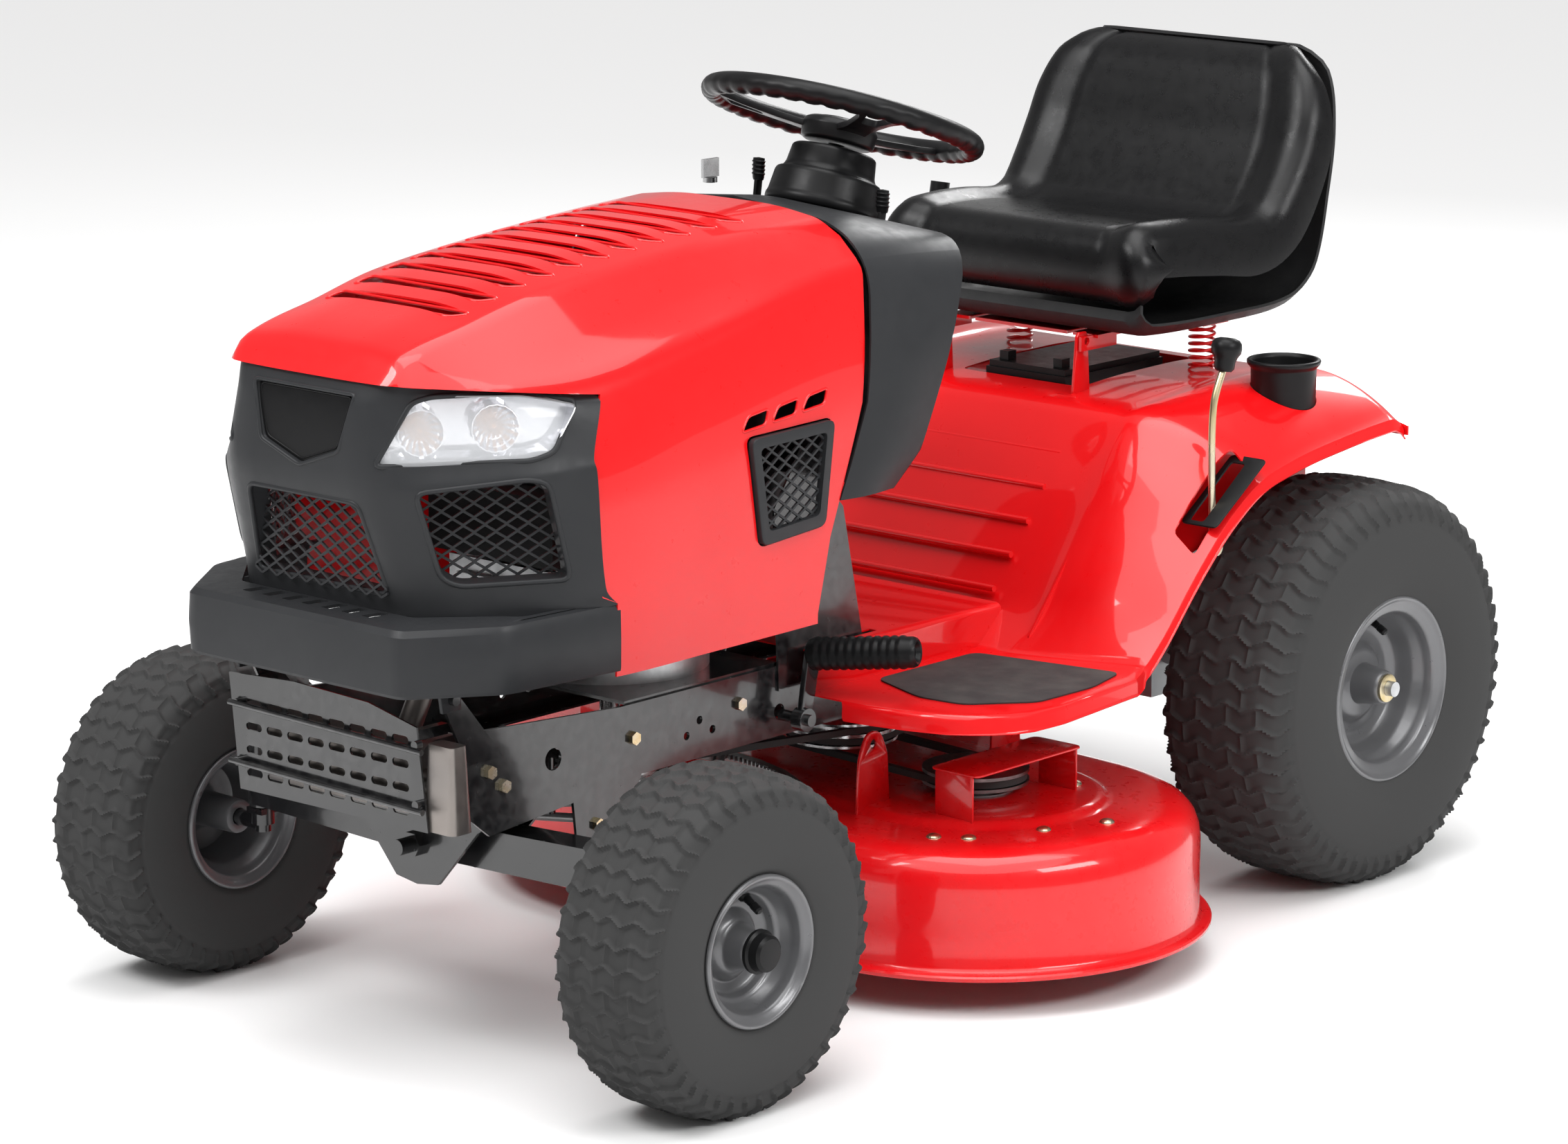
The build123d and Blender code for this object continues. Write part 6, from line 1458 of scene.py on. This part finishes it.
# ---------------------------------------------------------------- fender body
@dataclass
class Fenders:
    """The pressed red body with running boards, riser, seat deck and wheel arches."""

    inner: tuple[Flat, ...] = ((-800, 350), (-650, 350), (-520, 350), (-492, 351), (-440, 392),
                               (-378, 474), (-318, 556),
                               (-268, 614), (-240, 620), (-120, 628), (0, 630), (70, 626), (84, 618),
                               (92, 606))
    outer: tuple[Flat, ...] = ((-800, 350), (-650, 350), (-480, 350), (-446, 352), (-402, 388),
                               (-346, 448), (-283, 506),
                               (-232, 538), (-200, 552), (-120, 568), (0, 580), (66, 584), (80, 578),
                               (88, 570))
    boards: tuple[Flat, ...] = ((-805, 236), (-803, 262), (-797, 300), (-780, 362), (-762, 392),
                                (-738, 418), (-715, 431),
                                (-690, 437), (-574, 436), (-500, 425), (-446, 400), (-392, 398), (100, 392))

    def edge(self, y: float) -> float:
        """How far out the lip stands at one y, in mm."""
        return float(np.interp(y, [a for a, _ in self.boards], [b for _, b in self.boards]))

    def skin(self) -> bpy.types.Object:
        """The whole pressing."""
        rows = []
        corners = len(self.inner) - 2
        inner_radii = [6, 6, 8, 26, 30, 30, 30, 14, 40, 30, 20, 6, 6][:corners]
        outer_radii = [6, 6, 18, 26, 30, 30, 30, 26, 40, 30, 20, 6, 6][:corners]
        smooth_inner = np.array(rounded(self.inner, inner_radii, 5))
        smooth_outer = np.array(rounded(self.outer, outer_radii, 5))
        front_ys = (-805, -803, -800, -793, -786, -776, -762, -745, -725, -700)
        start = np.array([[y, 350] for y in front_ys], float)
        smooth_inner = np.concatenate([start, smooth_inner[smooth_inner[:, 0] > -690]])
        smooth_outer = np.concatenate([start, smooth_outer[smooth_outer[:, 0] > -690]])
        size = max(len(smooth_inner), len(smooth_outer))
        smooth_inner = self.resampled(smooth_inner, size)
        smooth_outer = self.resampled(smooth_outer, size)
        for (yi, zi), (yo, zo) in zip(smooth_inner, smooth_outer):
            half = []
            floor_row = yi < -470
            reach = self.edge(yo)
            side = 250 if not floor_row else min(250, reach - 20)
            for share in np.linspace(0, 1, 11):
                half.append((share * side * 0.9, yi, zi))
            arch = np.clip((zi - 352) / 60, 0, 1)
            for share in np.linspace(0.04, 1, 24):
                bend = share ** (1 + 0.25 * arch)
                y = yi + (yo - yi) * bend
                crown = 17 * arch * math.sin(math.pi * min(share * 1.02, 1)) ** 0.8
                z = zi + (zo - zi) * bend + crown
                half.append((side * 0.9 + (reach - 5 - side * 0.9) * share, y, z))
            lip = 20 if zo < 353 else 15
            x, y, z = half[-1]
            away = 0.5 if floor_row else 0.0
            push = -3 if y < -770 else 0
            half += [(x + 3, y + push * 0.3, z - 1.5), (x + 4.5, y + push * 0.6, z - 5),
                     (x + 5, y + push, z - lip + 3),
                     (x + 6.5, y + push, z - lip), (x + 8 - away, y + push, z - lip - 1)]
            rows.append([(-a, b, c) for a, b, c in reversed(half[1:])] + half)
        piece = lofted("fender_pressing", np.array(rows)[:, ::-1] * MM)
        modify(piece, "SOLIDIFY", thickness=0.002, offset=-1.0)
        return piece

    def resampled(self, line: np.ndarray, size: int) -> np.ndarray:
        """A line with a given count of points, keeping its own spacing."""
        return np.stack([np.interp(np.linspace(0, len(line) - 1, size), np.arange(len(line)), line[:, axis])
                         for axis in (0, 1)], axis=1)

    def build(self) -> None:
        """Press, pierce and dress the fender body with everything welded to it."""
        piece = self.skin()
        tools = [prism(scaled(rounded_loop([(352, -332), (384, -332), (384, -218), (352, -218)], 6, 3)),
                       Z_AXIS * 0.56,
                       X_AXIS, Y_AXIS, 0.12),
                 prism(scaled(rounded_loop([(-339, -110), (-321, -110), (-321, 70), (-339, 70)], 8, 4)),
                       Z_AXIS * 0.6,
                       X_AXIS, Y_AXIS, 0.1),
                 prism(scaled(rounded_loop([(-98, -198), (98, -198), (98, 40), (-98, 40)], 12, 4)),
                       Z_AXIS * 0.62,
                       X_AXIS, Y_AXIS, 0.05),
                 turned("hole", scaled([(-60, 0), (-60, 41.8), (60, 41.8), (60, 0)]), (0.305, -0.05, 0.62),
                        (0, 0, 1), 64),
                 prism(scaled([(-174, -830), (174, -830), (174, -480), (-174, -480)]), Z_AXIS * 0.34,
                       X_AXIS, Y_AXIS,
                       0.02)]
        cut(piece, tools)
        parts = [piece, self.tunnel(), *self.ribs(), *self.ears(), *self.walls()]
        soften(piece, 35)
        body = joined("pressed_fender_body", parts)
        dress(body, RED, "chassis")
        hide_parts("fender_body")
        self.pads()
        self.gate()
        self.cup()

    def tunnel(self) -> bpy.types.Object:
        """The raised tunnel between the running boards."""
        section = rounded([(-178, 349), (-176, 396), (-170, 400), (170, 400), (176, 396), (178, 349)],
                          [4, 6, 6, 4], 3)
        rows = [[(x, y, z) for x, z in section] for y in np.linspace(-792, -446, 18)]
        piece = lofted("tunnel", np.array(rows)[:, ::-1] * MM)
        modify(piece, "SOLIDIFY", thickness=0.002, offset=1.0)
        shaft = plate("hole",
                      scaled(rounded_loop([(-78, -796), (78, -796), (78, -700), (-78, -700)], 10, 4)), 0.05,
                      (0, 0, 0.38), (1, 0, 0), (0, 1, 0))
        legs = [plate("hole", scaled([(x - 6, -850), (x + 6, -850), (x + 6, -660), (x - 6, -660)]), 0.05,
                      (0, 0, 0.37),
                      (1, 0, 0), (0, 1, 0)) for x in (-154, 154)]
        cut(piece, [shaft, *legs])
        soften(piece)
        return piece

    def ribs(self) -> list[bpy.types.Object]:
        """Pressed ribs across the riser."""
        made = []
        for count in range(5):
            share = 0.24 + 0.14 * count
            y, z = -492 + share * 230, 350 + share * 268
            made.append(rod("rib", [(x * MM, (y - 1.0) * MM, (z - 1) * MM)
                                    for x in (-158, -150, 0, 150, 158)], 0.0042,
                            sides=3))
        return made

    def walls(self) -> list[bpy.types.Object]:
        """The walls inside the wheels and the turned-down back."""
        cheek = [(-470, 345), (90, 480), (90, 614), (-262, 610), (-470, 372)]
        made = [plate("wall", scaled(cheek), 0.002, (x, 0, 0), (0, 1, 0), (0, 0, 1))
                for x in (0.238, -0.240)]
        back = [(-398, 560), (398, 560), (398, 572), (262, 606), (-262, 606), (-398, 572)]
        made.append(plate("back", scaled(back), 0.002, (0, 0.092, 0), (1, 0, 0), (0, 0, 1)))
        return made

    def ears(self) -> list[bpy.types.Object]:
        """The seat's hinge ears, each on a foot."""
        made = []
        for side in (1, -1):
            ear = [(-233, 618), (-199, 618), (-204, 694), (-208, 699), (-222, 699), (-226, 694)]
            made.append(plate("ear", scaled(ear), 0.004, (side * 0.112 - 0.002, 0, 0), (0, 1, 0),
                              (0, 0, 1), bevel=0.001))
            foot = [(-244, 618.5), (-190, 618.5), (-190, 622), (-244, 622)]
            made.append(plate("foot", scaled(foot), 0.03, (side * 0.112 - 0.015, 0, 0), (0, 1, 0),
                              (0, 0, 1), bevel=0.001))
        return made

    def pads(self) -> None:
        """The gritty pads on the running boards."""
        outline = rounded_loop([(196, -700), (290, -735), (352, -728), (410, -660), (412, -560),
                                (392, -484), (196, -520)],
                               14, 4)
        parts = [plate("pad", scaled([(side * x, y) for x, y in outline]), 0.0016, (0, 0, 0.3523),
                       (1, 0, 0), (0, 1, 0))
                 for side in (1, -1)]
        pads = joined("gritty_foot_pads", parts)
        weld(pads)
        dress(pads, GRIT_PAD, "chassis")
        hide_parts("foot_pads")

    def gate(self) -> None:
        """The plain plate round the gear lever."""
        low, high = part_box("shift_plate")
        centre = (low + high) / 2
        across, along = X_AXIS, Vector((0, high.y - low.y, high.z - low.z)).normalized()
        normal = across.cross(along)
        outline = rounded_loop([(-27, -62), (27, -62), (30, 58), (-24, 58)], 7, 4)
        origin = centre + normal * 0.008
        board = plate("gate", scaled(outline), 0.0025, tuple(origin), tuple(across), tuple(along),
                      bevel=0.0006)
        hole = prism(scaled(rounded_loop([(-17, -56), (5, -56), (5, 46), (-17, 46)], 5, 3)), origin,
                     across, along, 0.03)
        cut(board, [hole])
        soften(board)
        dress(board, BLACK, "chassis")
        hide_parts("shift_plate")

    def cup(self) -> None:
        """The moulded cup holder."""
        profile = [(600, 0.0), (600, 36), (603, 40.5), (655, 41.5), (660, 46), (664, 47), (666, 45.5),
                   (666, 41.5), (662, 39),
                   (606, 37.5), (603, 34), (603, 0.0)]
        piece = turned("moulded_cup_holder", scaled(rounded_loop(profile, 1.2, 2)), (0.305, -0.05, 0),
                       (0, 0, 1), 72)
        dress(piece, BLACK, "chassis")
        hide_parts("cup_holder")


# ---------------------------------------------------------------- seat
@dataclass
class Seat:
    """The bucket seat: a padded cushion with raised sides, welted seams and a textured pan."""

    seats: tuple[Solid, ...] = ((-203, 738, 205), (-216, 752, 214), (-224, 775, 218), (-220, 806, 216),
                                (-202, 828, 208),
                                (-160, 831, 214), (-80, 827, 226), (0, 821, 232), (36, 834, 234),
                                (62, 866, 236),
                                (88, 912, 236), (106, 960, 230), (124, 1002, 212), (142, 1020, 192),
                                (156, 1026, 176))
    columns: int = 49

    def cushion(self) -> bpy.types.Object:
        """The vinyl cushion as one closed loft with bolsters and seams shaped in.

        Returns:
            The padded piece, not yet dressed.
        """
        path = np.array(self.seats, float)
        stops = np.concatenate([[0], np.cumsum(np.hypot(*np.diff(path[:, :2], axis=0).T))])
        at = np.linspace(0, stops[-1], 72)
        ys, zs, halves = ([smooth_through(stops, path[:, axis], spot) for spot in at] for axis in range(3))
        length = stops[-1]
        table = []
        for index, (y, z, half) in enumerate(zip(ys, zs, halves)):
            before, after = max(index - 1, 0), min(index + 1, len(ys) - 1)
            along = np.array([ys[after] - ys[before], zs[after] - zs[before]])
            along /= np.linalg.norm(along)
            out = np.array([-along[1], along[0]])
            share = at[index] / length
            ring = []
            for turn in np.linspace(0, 1, self.columns, endpoint=True):
                u = turn * 2 - 1
                x = half * math.copysign(abs(u) ** 0.92, u)
                rise = 11 * math.exp(-((abs(u) - 0.84) / 0.11) ** 2) * (0.35 + 0.65
                                                                        * math.sin(math.pi
                                                                                   * min(share * 1.1, 1)))
                seam = -3.2 * math.exp(-((abs(u) - 0.66) / 0.014) ** 2) if share > 0.12 else 0
                tuck = -2.6 * math.exp(-((share - 0.60) / 0.008) ** 2) * (1 if abs(u) < 0.66 else 0.4)
                edge = -14 * max(0.0, (abs(u) - 0.92) / 0.08) ** 2
                offset = rise + seam + tuck + edge
                ring.append((x, y + out[0] * offset, z + out[1] * offset))
            thick = np.interp(share, [0, 0.1, 0.5, 0.62, 0.8, 1], [16, 56, 62, 54, 46, 12])
            under = [(x * 1.01, py - out[0] * thick, pz - out[1] * thick) for x, py, pz in
                     ((r[0], y, z) for r in reversed(ring))]
            table.append(ring + under)
        loops = [np.array(loop) * MM for loop in table]
        piece = capped("stitched_seat_cushion", loops)
        return piece

    def build(self) -> None:
        """Build and dress the cushion, then its pan."""
        piece = self.cushion()
        weld(piece)
        choose(piece)
        bpy.ops.object.mode_set(mode="EDIT")
        bpy.ops.mesh.select_all(action="SELECT")
        bpy.ops.mesh.normals_make_consistent(inside=False)
        bpy.ops.object.mode_set(mode="OBJECT")
        soften(piece, 60)
        dress(piece, VINYL, "seat")
        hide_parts("seat_cushion")
        self.pan()

    def pan(self) -> None:
        """The textured pan that wraps the cushion from below and behind."""
        path = [(-206, 730, 216), (-214, 716, 224), (-196, 702, 228), (0, 700, 234), (60, 704, 236),
                (96, 716, 238),
                (130, 750, 238), (158, 840, 236), (178, 930, 230), (186, 1000, 210), (176, 1026, 178),
                (160, 1030, 160)]
        stops = np.concatenate([[0], np.cumsum(np.hypot(*np.diff(np.array(path)[:, :2], axis=0).T))])
        at = np.linspace(0, stops[-1], 60)
        ys, zs, halves = ([smooth_through(stops, np.array(path, float)[:, axis], spot) for spot in at]
                          for axis in range(3))
        rows = []
        for y, z, half in zip(ys, zs, halves):
            row = []
            for u in np.linspace(-1, 1, 41):
                x = 0.93 * half * u
                curl = max(0.0, (abs(u) - 0.90) / 0.10) ** 2
                lean = np.interp(z, [702, 730, 840, 1030], [0, 0.2, 0.9, 1])
                row.append((x, y - 6 * curl * lean, z + 14 * curl * (1 - lean)))
            rows.append(row)
        piece = lofted("seat_pan_moulding", np.array(rows) * MM)
        modify(piece, "SOLIDIFY", thickness=0.004, offset=0.0)
        soften(piece, 50)
        dress(piece, PAN, "seat")
        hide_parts("seat_pan")


# ---------------------------------------------------------------- deck, pedal and gear lever
@dataclass
class Deck:
    """The pressed mowing deck with its guards, hangers, chute lugs and bolts."""

    left: Flat = (245, -575)
    right: Flat = (-245, -535)
    steps: int = 96
    between: int = 14
    profile: tuple[Flat, ...] = ((286, 45.5), (287, 47), (287, 50), (285, 52), (277, 53), (274, 55),
                                 (272, 60), (272, 100),
                                 (272, 148), (270, 163), (265, 176), (256, 186), (245, 191), (232, 193.5),
                                 (214, 194),
                                 (168, 194.5), (162, 195.5), (157, 198.5), (152, 201.5), (146, 202.5),
                                 (110, 203),
                                 (70, 203), (30, 203), (2, 203))

    def ring(self, radius: float, z: float) -> list[Solid]:
        """One outline round both spindles at a distance from them."""
        centres = np.array([self.left, self.right], float)
        axis = centres[0] - centres[1]
        base = math.atan2(axis[1], axis[0])
        spots: list[Solid] = []
        for centre, start in ((centres[0], base - math.pi / 2), (centres[1], base + math.pi / 2)):
            for angle in np.linspace(start, start + math.pi, self.steps // 2):
                x, y = centre + radius * np.array([math.cos(angle), math.sin(angle)])
                spots.append((x, y, z))
            other = centres[1] if centre is centres[0] else centres[0]
            last = np.array(spots[-1])
            following = last + np.array([*(other - centre), 0.0])
            spots += [tuple(last + (following - last) * share)
                      for share in np.linspace(0, 1, self.between + 2)[1:-1]]
        return spots

    def shell(self) -> bpy.types.Object:
        """The pressed shell with its side opening."""
        rows = []
        for radius, z in self.profile:
            loop = self.ring(radius, z)
            rows.append(loop + loop[:1])
        piece = lofted("deck_pressing", np.array(rows)[:, ::-1] * MM)
        weld(piece)
        modify(piece, "SOLIDIFY", thickness=0.003, offset=-1.0)
        mouth = rounded_loop([(-800, -685), (-385, -685), (-385, -455), (-800, -455)], 4, 2)
        cut(piece, [prism(scaled(mouth), Z_AXIS * 0.088, X_AXIS, Y_AXIS, 0.06)])
        soften(piece, 35)
        return piece

    def build(self) -> None:
        """Press the deck and weld on everything that rides with it."""
        parts = [self.shell()]
        for y in (-463, -711):
            for x in (-200, 196):
                arm = rounded([(y - 30, 193), (y - 26, 262), (y - 12, 292), (y + 12, 292), (y + 26, 262),
                               (y + 30, 193)],
                              [8, 12, 12, 8], 3)
                hanger = plate("hanger", scaled(arm), 0.004, (x * MM, 0, 0), (0, 1, 0), (0, 0, 1),
                               bevel=0.0012)
                cut(hanger, [turned("hole", scaled([(-20, 0), (-20, 6), (20, 6), (20, 0)]),
                                    (x * MM, y * MM, 0.276), (1, 0, 0),
                                    24)])
                parts.append(hanger)
        for side, (x, y) in ((1, self.left), (-1, self.right)):
            parts += self.guard(side, x, y)
        for y in (-679, -461):
            lug = rounded([(-540, 166), (-540, 180), (-532, 187), (-520, 187), (-512, 178), (-500, 160)],
                          [4, 4, 4, 4], 3)
            parts.append(plate("lug", scaled(lug), 0.003, (0, (y + 1.5) * MM, 0), (1, 0, 0), (0, 0, 1),
                               bevel=0.0008))
        parts.append(turned("hinge_rod", scaled([(-683, 0), (-683, 4), (-457, 4), (-457, 0)]),
                            (-0.526, 0, 0.176), (0, 1, 0),
                            24))
        whole = joined("deck_shell_pressed", parts)
        dress(whole, DECK_RED, "deck")
        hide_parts("deck_shell")
        self.bolts()

    def guard(self, side: int, x: float, y: float) -> list[bpy.types.Object]:
        """The bent guard over the belt at one spindle."""
        low, high = sorted((x + side * 30, x + side * 104))
        top = rounded_loop([(low, y - 122), (high, y - 122), (high, y + 76), (low, y + 76)], 10, 3)
        made = [plate("guard", scaled(top), 0.003, (0, 0, 0.256), (1, 0, 0), (0, 1, 0), bevel=0.001)]
        for place in (y - 121, y + 73):
            leg = rounded_loop([(low + 8, 196), (high - 8, 196), (high - 8, 258), (low + 8, 258)], 5, 3)
            made.append(plate("leg", scaled(leg), 0.003, (0, (place + 3) * MM, 0), (1, 0, 0), (0, 0, 1),
                              bevel=0.001))
        return made

    def bolts(self) -> None:
        """Plated carriage bolts on the deck's plateau."""
        heads = []
        for x, y in ((330, -753), (364, -730), (406, -643), (321, -480), (440, -566), (-330, -690),
                     (-380, -420), (150, -470),
                     (-120, -640)):
            base = 194 if math.hypot(x - self.left[0], y - self.left[1]) > 158 and x > 0 else 203
            base = 194 if x < 0 and math.hypot(x - self.right[0], y - self.right[1]) > 158 else base
            head = primitive("uv_sphere", "bolt", segments=20, ring_count=10, radius=0.0095)
            for vertex in head.data.vertices:
                vertex.co.z = max(vertex.co.z, 0) * 0.55
            head.data.transform(Matrix.Translation((x * MM, y * MM, (base - 0.4) * MM)))
            heads.append(head)
        whole = joined("deck_carriage_bolts", heads)
        weld(whole)
        dress(whole, ZINC, "deck")


@dataclass
class Pedal:
    """The brake pedal: a bent arm with a ribbed rubber grip."""

    start: Solid = (0.178, -0.806, 0.400)
    along: Solid = (118, 49, 12)

    def build(self) -> None:
        """Build the arm and the grip, both on the pedal's own pin."""
        arm = rounded_loop([(-832, 316), (-812, 316), (-794, 400), (-816, 408)], 6, 3)
        parts = [plate("arm", scaled(arm), 0.008, (0.182, 0, 0), (0, 1, 0), (0, 0, 1), bevel=0.0015),
                 turned("boss", scaled([(-8, 7.05), (-8, 14), (8, 14), (8, 7.05)]), (0.186, -0.822, 0.325),
                        (1, 0, 0), 32)]
        piece = joined("pedal_arm", parts)
        dress(piece, FRAME, "pedal")
        profile = [(0, 0.0), (0, 10), (1.5, 13), (4, 17), (8, 18.5)]
        for rib in range(11):
            profile += [(10 + 10.5 * rib, 18.5), (13 + 10.5 * rib, 20.0), (16 + 10.5 * rib, 20.0),
                        (19 + 10.5 * rib, 18.5)]
        profile += [(132, 18.5), (136, 17), (138, 14.5), (137, 12), (132, 9), (131, 0.0)]
        direction = tuple(Vector(self.along).normalized())
        grip = turned("pedal_grip", scaled(profile), self.start, direction, 56)
        dress(grip, BLACK, "pedal")
        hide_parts("brake_pedal")


@dataclass
class GearLever:
    """The gear lever: a plated bent rod with a turned knob."""

    points: tuple[Solid, ...] = ((0.369, -0.275, 0.462), (0.369, -0.280, 0.560), (0.369, -0.281, 0.640),
                                 (0.369, -0.272, 0.668),
                                 (0.369, -0.257, 0.694))

    def build(self) -> None:
        """Bend the rod, turn its knob and its hub."""
        shaft = rod("shaft", self.points, 0.0045, sides=16)
        hub = turned("hub", scaled([(-8, 5.05), (-8, 10), (8, 10), (8, 5.05)]), (0.369, -0.275, 0.470),
                     (1, 0, 0), 28)
        lever = joined("gear_lever_rod", [shaft, hub])
        dress(lever, ZINC, "shift")
        profile = [(-2, 5), (-2, 9.5), (2, 12.5), (10, 13), (16, 15), (21, 18.3), (27, 19), (33, 18),
                   (37, 15), (39, 9), (39.5, 0),
                   (0, 0)]
        knob = turned("gear_lever_knob", scaled(profile), (0.369, -0.259, 0.688), (0, 0.18, 0.98), 48)
        soften(knob, 60)
        dress(knob, BLACK, "shift")
        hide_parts("shift_lever")


PARTS: tuple[type, ...] = (Hood, Nose, Dash, Steering, Fenders, Seat, Deck, Pedal, GearLever)


# ---------------------------------------------------------------- the studio
@dataclass(frozen=True)
class Softbox:
    """An area light of a size and strength that looks at the mower."""

    name: str
    place: Solid
    size: Flat
    power: float
    colour: Solid = (1, 1, 1)
    aim: Solid = (0, -0.6, 0.5)

    def build(self) -> None:
        """Add the light to the scene."""
        data = bpy.data.lights.new(self.name, "AREA")
        data.shape = "RECTANGLE"
        data.size, data.size_y = self.size
        data.energy = self.power
        data.color = self.colour
        lamp = bpy.data.objects.new(self.name, data)
        bpy.context.scene.collection.objects.link(lamp)
        away = Vector(self.place) - Vector(self.aim)
        lamp.matrix_world = Matrix.Translation(self.place) @ away.to_track_quat("Z", "Y").to_matrix().to_4x4()


@dataclass(frozen=True)
class Studio:
    """The camera, the pale floor and the soft light."""

    camera_place: Solid = (4.13415, -5.25232, 1.82376)
    azimuth: float = 41.922
    elevation: float = 12.555
    lens: float = 119.54
    floor_size: float = 60.0
    sky: float = 2.1
    sky_angle: float = 70.0

    def camera(self) -> None:
        """Place the camera and make it the scene's own."""
        data = bpy.data.cameras.new("camera")
        data.lens = self.lens
        data.sensor_width = 36.0
        data.clip_end = 200.0
        item = bpy.data.objects.new("camera", data)
        bpy.context.scene.collection.objects.link(item)
        turn, lift = math.radians(self.azimuth), math.radians(self.elevation)
        back = Vector((math.sin(turn) * math.cos(lift), -math.cos(turn) * math.cos(lift), math.sin(lift)))
        item.matrix_world = (Matrix.Translation(self.camera_place)
                             @ back.to_track_quat("Z", "Y").to_matrix().to_4x4())
        bpy.context.scene.camera = item

    def floor(self) -> None:
        """A pale floor that isn't part of the mower."""
        ground = primitive("plane", "studio_floor", size=self.floor_size)
        material = bpy.data.materials.new("studio_floor")
        material.use_nodes = True
        shader = material.node_tree.nodes["Principled BSDF"]
        shader.inputs["Base Color"].default_value = (0.86, 0.86, 0.86, 1)
        shader.inputs["Roughness"].default_value = 0.9
        shader.inputs["Specular IOR Level"].default_value = 0.1
        ground.data.materials.append(material)

    def light(self) -> None:
        """A bright, even room with large softboxes."""
        world = bpy.data.worlds.new("studio")
        world.use_nodes = True
        world.node_tree.nodes["Background"].inputs["Color"].default_value = (1.0, 0.99, 0.985, 1)
        world.node_tree.nodes["Background"].inputs["Strength"].default_value = 0.32
        bpy.context.scene.world = world
        for box in (Softbox("key", (-1.2, -4.2, 4.2), (2.4, 1.4), 120.0),
                    Softbox("side", (4.4, -0.4, 3.0), (2.6, 0.9), 90.0),
                    Softbox("top", (0.4, -0.6, 4.4), (3.4, 3.4), 90.0),
                    Softbox("back", (-1.5, 3.8, 3.0), (2.4, 1.0), 80.0)):
            box.build()
        data = bpy.data.lights.new("sky", "SUN")
        data.energy = self.sky
        data.angle = math.radians(self.sky_angle)
        lamp = bpy.data.objects.new("sky", data)
        bpy.context.scene.collection.objects.link(lamp)
        lamp.matrix_world = Vector((0.25, -0.3, 1)).to_track_quat("Z", "Y").to_matrix().to_4x4()

    def build(self) -> None:
        """Set up the whole studio."""
        self.camera()
        self.floor()
        self.light()
        bpy.context.scene.view_settings.view_transform = "Standard"


def main() -> None:
    """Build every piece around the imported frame."""
    Studio().build()
    dress_nodes()
    for wheel in wheels():
        wheel.build()
    for part in PARTS:
        part().build()


if __name__ == "__main__":
    main()
